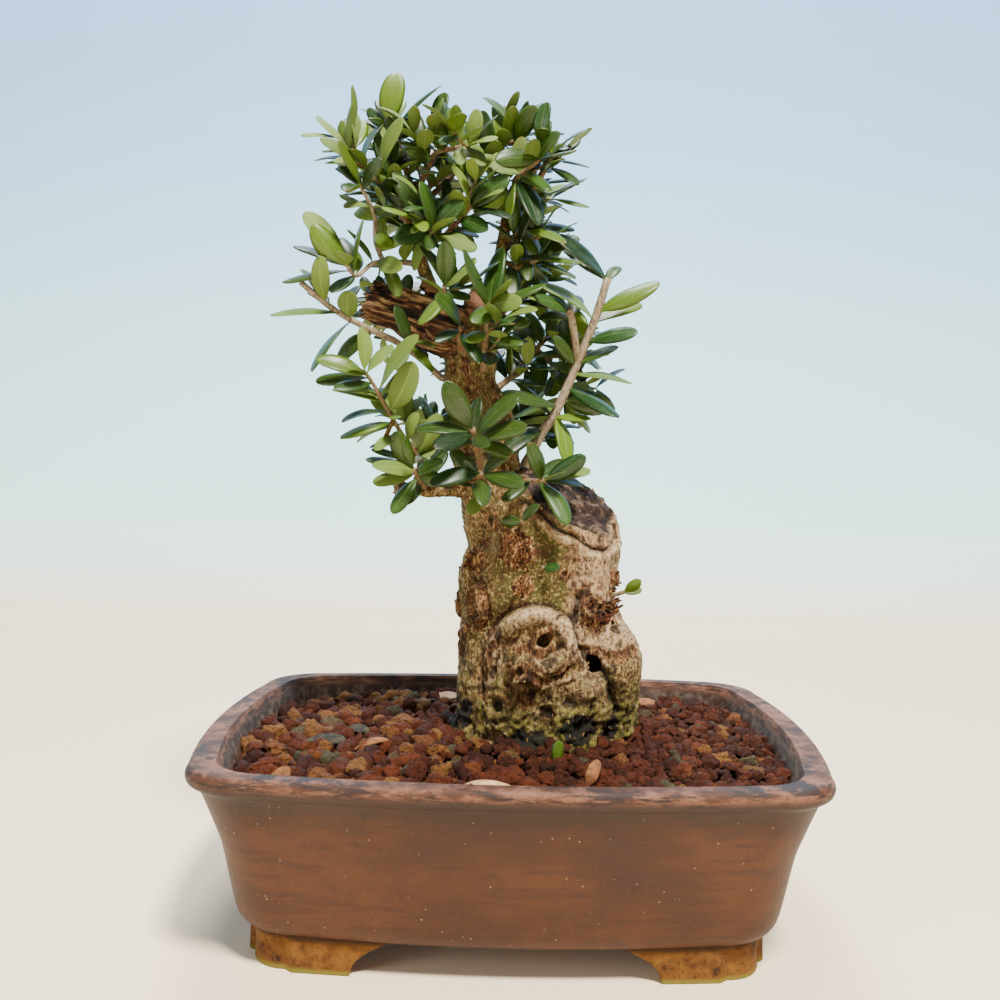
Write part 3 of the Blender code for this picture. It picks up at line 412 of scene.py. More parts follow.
def evaluated(obj: bpy.types.Object) -> bpy.types.Mesh:
    """The object's mesh with its modifiers applied."""
    graph = bpy.context.evaluated_depsgraph_get()
    return bpy.data.meshes.new_from_object(obj.evaluated_get(graph), depsgraph=graph)


def removed(obj: bpy.types.Object) -> None:
    """Takes a helper object out of the file."""
    bpy.data.objects.remove(obj, do_unlink=True)


def loft(rings: Sequence[Ring], name: str, split: bool = True) -> bpy.types.Mesh:
    """A closed solid through rings of equally many points, flat at both ends, in metres.

    Args:
        rings: Rings from one end to the other, in millimetres.
        name: Name of the mesh.
        split: Whether the faces are split into triangles.

    Returns:
        The mesh.
    """
    bm = bmesh.new()
    rows = [[bm.verts.new(point) for point in ring] for ring in rings]
    count = len(rings[0])
    for lower, upper in zip(rows, rows[1:]):
        for k in range(count):
            bm.faces.new((lower[k], lower[(k + 1) % count], upper[(k + 1) % count], upper[k]))
    bm.faces.new(rows[0][::-1])
    bm.faces.new(rows[-1])
    if split:
        bmesh.ops.triangulate(bm, faces=bm.faces)
    bmesh.ops.recalc_face_normals(bm, faces=bm.faces)
    bmesh.ops.scale(bm, vec=(MM, MM, MM), verts=bm.verts)
    mesh = bpy.data.meshes.new(name)
    bm.to_mesh(mesh)
    bm.free()
    return mesh


def tube(points: Sequence, radii: Sequence[float], detail: int, name: str) -> bpy.types.Mesh:
    """A tapered tube through points: a bevelled curve made a closed mesh, in metres.

    Args:
        points: Points in millimetres.
        radii: Radius at each point.
        detail: Bevel resolution.
        name: Name of the mesh.

    Returns:
        The mesh.
    """
    curve = bpy.data.curves.new(name, "CURVE")
    curve.dimensions = "3D"
    curve.bevel_depth = MM
    curve.bevel_resolution = detail
    curve.use_fill_caps = True
    spline = curve.splines.new("POLY")
    spline.points.add(len(points) - 1)
    for place, point, radius in zip(spline.points, points, radii):
        place.co = (*(Vector(point) * MM), 1.0)
        place.radius = radius
    holder = linked(bpy.data.objects.new(name, curve))
    mesh = evaluated(holder)
    removed(holder)
    bm = bmesh.new()
    bm.from_mesh(mesh)
    bmesh.ops.remove_doubles(bm, verts=bm.verts, dist=0.01 * MM)
    bmesh.ops.recalc_face_normals(bm, faces=bm.faces)
    bm.to_mesh(mesh)
    bm.free()
    return mesh


def smooth_route(route: Sequence[Vector], steps: int) -> list[Vector]:
    """Points on a smooth curve through a route's points.

    Args:
        route: Points to pass through.
        steps: Steps between two of them.

    Returns:
        The finer route.
    """
    ends = [2 * route[0] - route[1], *route, 2 * route[-1] - route[-2]]
    fine = []
    for before, start, end, after in zip(ends, ends[1:], ends[2:], ends[3:]):
        for k in range(steps):
            t = k / steps
            fine.append(
                0.5
                * (
                    2 * start
                    + (end - before) * t
                    + (2 * before - 5 * start + 4 * end - after) * t * t
                    + (3 * start - before - 3 * end + after) * t**3
                )
            )
    return fine + [route[-1].copy()]


class Leaf(NamedTuple):
    """A listed leaf: twig of its shoot, share of the twig's length, tip, and width as seen from the front."""

    twig: int
    along: float
    tip: tuple
    shown: float


class Shoot(NamedTuple):
    """A leafy shoot: twigs as routes, radius at foot and tip, leaves listed one by one, and pairs grown by rule."""

    name: str
    twigs: list
    radii: tuple
    leaves: list
    pairs: int = 0
    blade: float = 10.0


def leaves(twig: int, *rows: tuple) -> list[Leaf]:
    """Leaves of one twig.

    Args:
        twig: Number of the twig in its shoot.
        *rows: Share along the twig, tip X, Y, Z and shown width of each leaf.

    Returns:
        The leaves.
    """
    return [Leaf(twig, row[0], row[1:4], row[4]) for row in rows]


# Trunk: height, centre X, centre Y, half width, half depth of each ring
TRUNK_RINGS = [
    (24, 9.0, 13.0, 11.0, 10.0), (28, 9.0, 13.0, 17.0, 15.0), (34, 8.8, 12.5, 21.5, 19.0),
    (39, 8.5, 12.0, 23.5, 21.0), (42, 8.5, 12.0, 24.2, 21.8), (46, 8.8, 12.0, 23.8, 21.8),
    (50, 9.3, 12.0, 23.6, 21.8), (54, 9.8, 12.0, 23.5, 21.8), (58, 10.2, 12.0, 23.4, 21.8),
    (62, 10.1, 12.0, 23.4, 21.5), (66, 9.6, 12.0, 22.4, 21.0), (70, 8.5, 12.0, 21.0, 20.2),
    (74, 7.6, 12.0, 20.2, 19.6), (78, 7.0, 12.0, 20.2, 19.2), (82, 7.2, 12.0, 20.6, 18.9),
    (86, 7.8, 12.0, 20.0, 18.6), (90, 8.4, 12.0, 19.4, 18.2), (94, 8.5, 11.8, 19.2, 17.6),
    (98, 7.8, 11.6, 18.8, 17.0), (102, 6.7, 11.5, 16.9, 15.6), (106, 5.4, 11.5, 13.6, 13.0),
    (109, 4.4, 11.5, 10.2, 9.8), (111, 3.6, 11.5, 6.0, 5.6),
]
TRUNK_SIDES = 28
# Swellings and hollows: centre X, Y, Z, distance of the crest from the centre, breadth, height
TRUNK_LUMPS = [
    (7.7, -9.5, 67.7, 7.0, 2.6, 2.2), (7.7, -9.5, 67.7, 0.0, 3.6, -2.6), (-8.0, -6.0, 77.5, 3.2, 1.6, 1.4),
    (1.0, -8.0, 91.0, 0.0, 4.5, 1.8), (2.0, -8.5, 81.7, 0.0, 2.6, 1.2), (20.0, -5.0, 76.5, 0.0, 5.0, 2.2),
    (19.7, -8.0, 62.0, 0.0, 2.6, -3.6), (27.0, -3.0, 60.0, 0.0, 8.0, 2.6), (27.0, 2.0, 69.0, 0.0, 4.5, 1.6),
    (-14.0, 4.0, 86.5, 0.0, 4.0, 4.4), (-13.0, 3.0, 68.0, 0.0, 3.6, 2.4), (9.0, -11.0, 44.0, 0.0, 5.0, -3.2),
    (22.0, -6.0, 46.0, 0.0, 4.5, 2.0), (-4.0, -7.0, 45.0, 0.0, 4.5, 2.0), (14.5, -9.0, 54.0, 0.0, 3.4, -1.8),
    (-10.0, 28.0, 60.0, 0.0, 8.0, 3.0), (20.0, 30.0, 80.0, 0.0, 7.0, 2.6), (28.0, 22.0, 50.0, 0.0, 7.0, 2.4),
    (4.0, 32.0, 95.0, 0.0, 6.0, 2.2), (10.0, 34.0, 48.0, 0.0, 6.0, -2.4),
]
SHOULDER_CUT = ((14.0, 2.0, 101.0), (0.42, -0.42, 0.80))
CROWN_CUT = ((-8.0, 6.0, 150.5), (0.25, -0.70, 0.67))

# Limbs that belong to the trunk: points and radius at each
UPPER_TRUNK = [
    (0, 12, 84, 9.0), (-4, 11, 95, 9.0), (-5.8, 10, 103, 8.3), (-7, 9.5, 110, 8.6), (-8.4, 9, 117, 9.0),
    (-9.6, 9, 124, 8.3), (-12, 9, 131, 7.0), (-12, 8.8, 138, 6.6), (-10.5, 8.5, 145, 5.8),
    (-9.2, 8, 151, 4.9), (-8.4, 8, 157, 4.3),
]
DEAD_STUMP = [
    (-9, 9, 143, 5.0), (-15, 8.6, 145, 6.6), (-23, 8, 147, 6.4), (-30, 7.4, 150, 5.6), (-38.7, 6.4, 152.6, 5.2),
]
LIMBS = [
    [
        (-19, 8, 148, 2.3), (-22.6, 8, 156, 1.9), (-25.6, 7.4, 164, 1.7), (-26.8, 6.9, 171, 1.5),
        (-26.4, 6.5, 182.6, 1.2),
    ],
    [(-8, 8, 148, 2.2), (-5.6, 8, 160, 2.0), (-4.6, 7.3, 166, 1.7), (-3.3, 6.3, 176, 1.4)],
    [(-3, 8.4, 103.6, 2.4), (-13.2, 8, 104.2, 2.1), (-21.7, 4, 104.2, 1.9), (-30.2, 0, 104.9, 2.2)],
    [(-0.5, 3, 99, 1.4), (0, -4.2, 101.5, 1.4), (0.4, -5, 107, 1.1)],
]
UPPER_TRUNK_DETAIL = 4
TRUNK_SHARP = 60
LIMB_DETAIL = 2

# Leaves
BLADE_THICKNESS = 0.6
BLADE_SUNK = 0.15
TIP_SETBACK = 0.35
TUFT_PITCH = 0.7
TUFT_FROM = 0.88
BLADE_LONGEST = 17.5
BLADE_CLEARANCE = 0.35
LARGE_BLADE = 14.0
# Share of the length with share of the greatest half width there
LARGE_OUTLINE = [(0.0, 0.0), (0.26, 0.82), (0.54, 1.0), (0.80, 0.72), (1.0, 0.0)]
SMALL_OUTLINE = [(0.0, 0.0), (0.34, 0.94), (0.72, 0.86), (1.0, 0.0)]
TWIG_DETAIL = 0
TWIG_SHARP = 50
SIDE_TWIG_SHARE = 0.7
RIM_POINTS = 8
# A blade may meet its own shoot only along this first share of its length
FREE_SHARE = 0.22
OWN_CLEARANCE = 0.12
BALL_MARGIN = 1.5
VIEW = Vector((0.0, 1.0, -0.06)).normalized()
RAY = Vector((0.36, 0.48, 0.8))
RAY_STEP = 0.001
SEED = 41

SHOOTS = [
    Shoot(
        "crown_left",
        [[(-26.8, 7, 170), (-31, 4, 175.5), (-35, 1, 180), (-41, -2, 186), (-43, -3, 188.5)]],
        (1.1, 0.6),
        leaves(
            0, (1, -51, 0, 196, 2), (1, -41, -7, 198, 2), (0.9, -40, 4, 197, 4), (0.85, -49, -7, 189, 3),
            (0.75, -52, 5, 187, 2.5), (0.6, -46, -8, 184, 2), (0.55, -29, -8, 194, 3.5),
            (0.75, -36, 6, 197, 2.5),
            (0.3, -45, 1, 178, 1.5), (0.5, -43, 9, 184, 3),
        ),
    ),
    Shoot(
        "crown_top",
        [[(-26.5, 6.5, 178), (-29.5, 9, 185.5), (-31.5, 10, 192), (-34.5, 9, 197)]],
        (1.0, 0.6),
        leaves(
            0, (1, -32, 8, 210, 5.5), (1, -38, 10, 203, 3), (0.95, -42, 14, 202, 2), (0.9, -21, 3, 206, 2),
            (0.8, -27, 4, 199, 3.5), (0.5, -36, 2, 188, 2.5), (0.7, -40, 16, 194, 3), (0.7, -26, 16, 199, 2.5),
        ),
    ),
    Shoot(
        "crown_middle",
        [[(-26.3, 6.6, 180.6), (-23.6, 5.6, 185.6), (-21.5, 4, 189), (-16.5, 1, 189.5), (-13, -1, 189.5)]],
        (1.0, 0.5),
        leaves(
            0, (0.6, -21, 9, 202, 2), (0.75, -19, -2, 200, 2), (0.5, -27, 3, 198, 2), (0.45, -30, 0, 195, 2),
            (0.55, -20, -6, 193, 3.5), (0.3, -28, -3, 188, 3.5), (0.95, -11, -3, 198, 3.5), (1, -5, -7, 190, 2),
            (0.85, -14, 7, 199, 2),
        ),
    ),
    Shoot(
        "crown_rear",
        [[(-26.5, 6.7, 175), (-23.5, 9, 179), (-19, 12, 184), (-16, 15, 188.5), (-11, 18, 192)]],
        (1.1, 0.6),
        leaves(
            0, (1, -3, 14, 192, 2), (0.95, -2, 22, 198, 2.5), (0.6, -13, 8, 184, 2), (0.85, -12, 22, 204, 5),
            (0.9, -6, 24, 207, 2), (0.7, -22, 22, 196, 3.5), (0.4, -25, 18, 186, 3), (0.75, -20, 10, 197, 3),
        ),
    ),
    Shoot(
        "crown_right",
        [[(-3.6, 6.6, 174.6), (-7, 8.4, 182), (-8, 9, 188), (-5.5, 8, 192), (-1, 7, 193)]],
        (1.0, 0.6),
        leaves(
            0, (1, 1, 3, 202, 2.5), (1, 3, -2, 199, 4.5), (0.95, 5, 10, 204, 3.5), (0.9, 1, 15, 205, 3),
            (0.75, -7, 10, 203, 3.5), (0.95, 10, 8, 198, 2), (0.9, 6, 13, 192, 2), (0.6, -10, 2, 199, 4),
            (0.45, -17, 12, 190, 3), (0.5, -13, 4, 194, 3),
        ),
    ),
    Shoot(
        "apex_right",
        [
            [(-3.8, 6.8, 172), (-1.4, 4.6, 179), (-1.6, 3.6, 182.5), (1, 2, 184.5), (4.5, 0, 187)],
            [(-1.4, 4.6, 179), (3.4, 4.6, 181), (7.5, 2, 188.3)],
        ],
        (1.0, 0.55),
        leaves(
            0, (0.45, -3, -5, 172, 2), (0.5, 5, -8, 169, 4.5), (1, -6, -7, 185, 4.5), (0.8, 10, 8, 184, 2.5),
            (0.6, -11, 0, 187, 3.5), (0.3, -10, -3, 176, 4), (1, 9, -6, 192, 3), (0.7, 7, -7, 178, 3),
        )
        + leaves(1, (0.4, 5, 11, 176, 3.5)),
    ),
    Shoot(
        "branch_left",
        [
            [
                (-25, 7.6, 161.5), (-28.5, 5, 161.8), (-32.5, 2, 161.5), (-36.5, -1, 160.5), (-40, -4, 157),
                (-42.5, -6, 159.5),
            ],
            [(-34, 1, 161.2), (-36, 0.6, 166), (-36.2, 0, 172), (-37.5, -3, 175.5), (-39.5, -5, 179)],
        ],
        (1.3, 0.6),
        leaves(
            0, (1, -53, -4, 172, 4), (1, -50, -10, 168, 5), (0.97, -55, -10, 162, 2.5), (0.95, -58, -4, 153, 2),
            (1, -38, -13, 169, 2), (0.92, -45, -12, 152, 3), (0.5, -28, -9, 158, 4), (0.85, -51, 4, 165, 3),
            (0.4, -31, -6, 152, 3), (0.8, -45, 6, 168, 4),
        )
        + leaves(
            1, (1, -45, -12, 187, 2.5), (0.7, -42, -11, 172, 3), (0.6, -29, -6, 173, 3), (0.5, -41, 8, 176, 4.5),
            (0.95, -46, 2, 185, 3), (0.35, -31, -5, 164, 3.5), (1, -34, -10, 184, 3),
        ),
    ),
    Shoot(
        "stem_mid",
        [[(-26.6, 7, 168), (-23, 1, 168.6), (-21.5, -4, 167.6)]],
        (0.9, 0.6),
        leaves(
            0, (0.5, -31, -3, 183, 4.5), (1, -24, -9, 179, 3), (1, -14, -6, 175, 4), (1, -30, -11, 165, 4.5),
            (1, -11, -9, 166, 3.5), (0.8, -24, -7, 158, 3),
        ),
    ),
    Shoot(
        "stem_inner",
        [[(-25.8, 7.4, 165), (-19, 4, 168.6), (-15.5, 1, 171.5), (-12, -3, 174.5)]],
        (0.9, 0.5),
        leaves(
            0, (1, -17, -8, 183, 2), (1, -2, -10, 171, 2), (1, -3, -4, 182, 4.5), (0.7, -8, -8, 168, 4),
            (0.5, -19, 4, 178, 3.5), (0.85, -10, 6, 178, 3), (0.6, -12, 8, 166, 3.5),
        ),
    ),
    Shoot(
        "mid_right_low",
        [[(-4.9, 7.4, 163.5), (-1, 5, 161), (5, 3, 163)]],
        (0.8, 0.5),
        leaves(0, (1, 15, 5, 169, 3.5), (0.7, 2, -3, 157, 3), (1, 14, -3, 158, 2), (0.9, 7, 10, 155, 3.5)),
    ),
    Shoot(
        "mid_right_high",
        [[(-4.4, 7.2, 167.4), (-1, 5.4, 169.4), (1, 3, 170)]],
        (0.8, 0.5),
        leaves(0, (1, 11, -5, 166, 3), (1, 14, 10, 172, 2.5), (0.7, 6, 13, 164, 3)),
    ),
    Shoot(
        "trunk_top",
        [[(-16, 6, 149), (-18, -1, 152), (-18.4, -4, 155)]],
        (0.9, 0.6),
        leaves(
            0, (1, -24, -8, 164, 2.5), (1, -14, -8, 163, 2), (0.7, -24, -9, 145, 3.5), (0.9, -12, -11, 151, 2.5),
        ),
    ),
    Shoot(
        "trunk_front",
        [[(-9, 6, 133), (-8, -2, 139), (-7.6, -5.6, 145), (-7, -8, 150.5)]],
        (1.0, 0.6),
        leaves(
            0, (1, 1, -13, 150, 4), (1, -11, -15, 145, 4), (1, -13, -15, 162, 2.5), (1, -5, -3, 165, 4.5),
            (0.95, 6, -8, 156, 2.5), (0.6, -12, -13, 141, 3), (0.5, 1, -10, 141, 3), (0.75, 3, -1, 147, 3.5),
        ),
    ),
    Shoot(
        "trunk_side",
        [[(-13, 5, 138), (-14.6, -2, 141.5), (-14, -5, 145)]],
        (0.8, 0.6),
        leaves(0, (1, -18, -9, 156, 2), (0.9, -20, -10, 141, 2.5), (0.8, -9, -12, 136, 3)),
    ),
    Shoot(
        "jin_below",
        [[(-26, 6.6, 146), (-26.6, 2, 140.6), (-27.4, 0, 140)]],
        (0.7, 0.5),
        leaves(0, (1, -30, -4, 150, 2.5), (0.9, -30, -3, 134, 2.5), (0.7, -21, -4, 134, 2)),
    ),
    Shoot(
        "twig_left",
        [[
            (-14, 9, 131), (-20, 8.6, 133.4), (-24.5, 6, 137.5), (-30.5, 2.4, 141.5), (-39, -1, 145.2),
            (-46, -3.4, 149), (-53.5, -6, 155),
        ]],
        (1.3, 1.0),
        leaves(
            0, (0.72, -61, -6, 147, 2.5), (0.66, -41, -8, 153, 4.5), (0.82, -48, -9, 161, 4),
            (0.85, -54, 4, 161, 3),
            (0.72, -41, 5, 156, 3), (0.64, -50, -9, 133, 2.5), (0.5, -46, 4, 136, 4), (0.44, -34, 9, 137, 2.5),
        ),
    ),
    Shoot(
        "low_left",
        [
            [
                (-25.6, 2.4, 104.6), (-24.4, 0, 112), (-28.5, -3, 118.5), (-31.5, -6, 124), (-35, -9, 130.5),
                (-37, -11, 133.5),
            ],
            [(-24.4, 0, 112), (-26.4, 4.6, 117), (-29, 8, 122)],
        ],
        (1.0, 0.6),
        leaves(
            0, (1, -38, -9, 144, 3), (0.97, -32, -6, 142, 3), (0.8, -23, -13, 143, 3),
            (0.62, -25, -10, 136, 5.5),
            (1, -48, -14, 136, 3.5), (0.95, -49, -9, 131, 3), (0.88, -43, -17, 129, 3), (0.7, -46, -2, 130, 3.5),
            (0.62, -42, -12, 121, 2), (0.7, -36, 3, 130, 3.5), (0.52, -43, -8, 117, 2.5), (0.5, -40, 1, 116, 2),
            (0.42, -34, -10, 114, 2.5),
        )
        + leaves(
            1, (0.5, -16, 4, 124, 3), (1, -25, 15, 128, 3), (0.3, -22, -5, 122, 3.5), (1, -35, 15, 129, 3),
            (0.9, -34, 4, 130, 3),
        ),
    ),
    Shoot(
        "low_left_foot",
        [[(-22.6, 3.6, 104.2), (-24, -2.6, 107.4), (-25.4, -4, 110)]],
        (0.9, 0.6),
        leaves(
            0, (0.6, -30, -8, 99, 3.5), (0.75, -35, -7, 106, 3), (1, -31, -8, 118, 4.5), (1, -35, -12, 112, 3),
            (0.9, -18, -10, 112, 3), (0.6, -18, -9, 107, 3.5),
        ),
    ),
    Shoot(
        "rosette_front",
        [[(-8, 4, 108), (-9, -4, 112), (-9.5, -10, 116), (-10.5, -14, 120)]],
        (1.0, 0.8),
        leaves(
            0, (1, -17, -18, 131, 5), (1, -23, -18, 123, 3), (0.97, -21, -21, 118, 3.5), (1, -8, -22, 115, 3.5),
            (1, 0, -17, 128, 3.5), (0.97, 1, -20, 122, 3.5), (0.85, -8, -10, 128, 3), (0.7, -1, -15, 114, 3),
        ),
    ),
    Shoot(
        "rosette_low",
        [[(-7, 3, 103), (-8, -6, 106), (-8.4, -11, 109.6)]],
        (1.0, 0.8),
        leaves(
            0, (1, -20, -17, 107, 4), (1, 2, -18, 107, 3.5), (0.97, -16, -8, 115, 3), (0.9, 0, -14, 113, 3),
            (1, -7, -21, 106, 3.5), (1, -11, -17, 117, 3),
        ),
    ),
    Shoot(
        "low_right",
        [[(0, 4, 104), (2.4, -5, 107.4), (7.5, -6.6, 107.6)]],
        (1.1, 0.8),
        leaves(
            0, (0.8, 13, -14, 98, 3.5), (1, 17, -9, 114, 4), (0.95, 3, -12, 117, 3.5), (0.6, -3, -12, 103, 2.5),
            (1, 17, -1, 107, 2.5), (0.9, 12, 1, 113, 3),
        ),
    ),
    Shoot(
        "twig_right",
        [
            [
                (-2, 9.6, 104), (3, 8, 112), (7, 7.6, 120), (10, 7.4, 124.5), (15, 7, 136.5), (19.5, 6.4, 148.5),
                (22.5, 6, 159),
            ],
            [(15.4, 6.8, 138), (13.6, 3, 147.5), (12.5, 1.6, 150.5)],
        ],
        (1.9, 1.4),
        leaves(
            0, (0.82, 37, 2, 159, 4.5), (0.76, 32, 13, 154, 3.5), (0.66, 30, 1, 145, 3.5),
            (0.97, 9, 2, 171, 3.5),
            (0.9, 11, 10, 168, 4), (0.78, 5, -1, 157, 3), (0.5, 29, 3, 132, 2.5), (0.42, 26, -3, 124, 3.5),
            (0.36, 25, 10, 127, 5.5), (0.42, 20, 17, 131, 3), (0.6, 22, 17, 138, 3), (0.99, 26, 11, 163, 2.5),
            (0.36, 20, 15, 120, 2.5), (0.28, 13, 1, 112, 3.5), (0.32, -5, -3, 129, 3), (0.24, 14, 14, 115, 3),
            (0.3, -2, 13, 121, 2.5), (0.18, -6, 1, 116, 3),
        )
        + leaves(1, (1, 8, 0, 160, 2), (1, 4, -4, 154, 3), (0.8, 5, 8, 149, 2.5), (0.8, 20, 11, 156, 3)),
    ),
    Shoot(
        "rear_right",
        [
            [(-6, 11, 130), (0, 16, 135.5), (5.5, 21, 142.5), (10, 26, 147.5)],
            [(5, 20.6, 142), (11, 19, 136), (15, 17, 131)],
        ],
        (1.1, 0.7),
        leaves(
            0, (1, 4, 24, 158, 3.5), (0.9, 11, 29, 157, 4.5), (0.7, -3, 14, 149, 2.5), (0.5, -3, 8, 143, 3.5),
            (0.4, -7, 12, 143, 2.5), (0.8, 14, 33, 144, 3), (1, 17, 30, 149, 3), (0.65, -1, 28, 147, 3.5),
        )
        + leaves(1, (1, 18, 22, 121, 3), (1, 23, 12, 130, 3), (0.6, 9, 12, 134, 3.5), (0.7, 8, 24, 130, 3.5)),
    ),
    Shoot("rear_crown", [[(-25.9, 7, 179.6), (-20, 15, 186), (-16, 24, 193)]], (0.9, 0.6), [], 4, 11.0),
    Shoot("rear_left_high", [[(-26.7, 7.4, 169), (-31, 16, 173), (-34, 24, 180)]], (0.9, 0.6), [], 4, 11.0),
    Shoot("rear_left_low", [[(-28, 9, 149), (-31, 18, 150), (-38, 26, 155)]], (0.9, 0.6), [], 4, 12.0),
    Shoot("rear_stem", [[(-4.6, 7.6, 165), (0, 15, 171), (4, 22, 179)]], (0.9, 0.6), [], 4, 11.0),
    Shoot("rear_top_right", [[(-7, 10, 146), (0, 17, 156), (8, 24, 164)]], (0.9, 0.6), [], 4, 11.0),
    Shoot("rear_trunk", [[(-10, 13, 131), (-12, 22, 136), (-16, 32, 143)]], (1.0, 0.6), [], 4, 12.0),
    Shoot("rear_low", [[(-6, 12, 117), (0, 22, 121), (5, 30, 127)]], (1.0, 0.6), [], 4, 12.0),
    Shoot("rear_low_left", [[(-11, 12, 112), (-18, 20, 115), (-25, 27, 121)]], (1.0, 0.6), [], 4, 12.0),
    Shoot(
        "sprout_upper",
        [[(1.4, 2, 96), (1.8, -8.6, 97.6)]],
        (0.7, 0.5),
        leaves(0, (1, -3, -12, 98, 2.5), (1, 5, -12, 102, 2)),
    ),
    Shoot("sprout_middle", [[(7, 2, 86), (7.4, -8.8, 86.4)]], (0.6, 0.5), leaves(0, (1, 11, -12, 87, 2))),
    Shoot(
        "sprout_right",
        [[(20, 4, 76), (28.6, 1, 79.6)]],
        (0.6, 0.5),
        leaves(0, (1, 32, -2, 83, 2.5), (1, 33, 3, 80, 2)),
    ),
]


class Side(Enum):
    """Side from which a knot on the trunk is seen: the direction into the wood."""

    FRONT = (0.0, 1.0, 0.0)
    BACK = (0.0, -1.0, 0.0)
    LEFT = (1.0, 0.0, 0.0)
    RIGHT = (-1.0, 0.0, 0.0)


class Knot(NamedTuple):
    """A knot: side, place across and height, radius and depth of its hole, radius and height of its ring.

    The last four are how much taller than wide it is, how rusty it is, how much painted shade darkens its hole and the
    groove round its ring, and how pale its ring is, partly pale bark and partly a painted highlight.
    """

    side: Side
    across: float
    height: float
    hole: float
    depth: float
    ring: float
    swell: float
    tall: float = 1.0
    rust: float = 0.0
    dark: float = 1.0
    pale: float = 0.0


KNOTS = [
    Knot(Side.FRONT, 7.9, 68.3, 1.8, 1.2, 3.0, 0.8, 1.35, 0.7, 0.55, 0.5),
    Knot(Side.FRONT, 8.6, 66.2, 0.0, 0.0, 5.6, 0.5, 1.05, 0.0, 0.0, 0.3),
    Knot(Side.FRONT, -8.5, 76.0, 1.3, 1.3, 3.4, 1.5, 1.25, 1.0, 0.9),
    Knot(Side.FRONT, 2.4, 61.3, 0.75, 1.3, 1.5, 0.5, 1.2, 0.5),
    Knot(Side.FRONT, 0.3, 61.1, 0.65, 1.1, 1.3, 0.4, 1.2, 0.6, 0.9),
    Knot(Side.FRONT, 4.2, 58.0, 1.1, 0.9, 2.1, 0.7, 1.2, 0.75, 0.5),
    Knot(Side.FRONT, 20.4, 62.1, 1.9, 4.0, 3.2, 0.4, 1.0, 0.0, 1.0, 0.2),
    Knot(Side.FRONT, 19.5, 76.5, 0.9, 1.2, 1.9, 0.9, 1.1, 0.8, 0.9),
    Knot(Side.FRONT, -3.4, 51.1, 2.0, 1.6, 3.4, 0.4, 0.9, 0.6, 0.85),
    Knot(Side.FRONT, -5.6, 97.2, 1.2, 1.0, 2.0, 0.4, 1.1, 0.6, 0.9),
    Knot(Side.FRONT, -12.7, 65.2, 1.0, 0.8, 1.9, 0.5, 1.8, 0.6, 0.8),
    Knot(Side.FRONT, 12.8, 84.5, 0.5, 0.4, 1.2, 0.3, 1.0, 0.8, 0.5),
    Knot(Side.LEFT, 14.0, 74.0, 1.2, 1.2, 3.0, 0.8, 1.2, 0.5),
    Knot(Side.RIGHT, 16.0, 88.0, 1.3, 1.3, 3.0, 0.8, 1.2, 0.6),
    Knot(Side.RIGHT, 4.0, 83.0, 0.0, 0.0, 1.6, 0.8, 1.0, 1.0),
    Knot(Side.BACK, 4.0, 89.0, 1.8, 1.8, 4.0, 1.0, 1.2, 0.5),
    Knot(Side.BACK, -5.0, 62.0, 0.0, 0.0, 4.2, 0.9, 1.1, 0.4),
    Knot(Side.BACK, 17.0, 73.0, 1.2, 1.0, 2.8, 0.8, 1.1, 0.9),
]


class Spot(NamedTuple):
    """A soft swelling or stain: side, place, radius across, how much taller, rise, and its colours. Its pale, which
    sits on swellings, is partly pale bark and partly a painted highlight.
    """

    side: Side
    across: float
    height: float
    radius: float
    tall: float
    rise: float
    soot: float = 0.0
    rust: float = 0.0
    pale: float = 0.0


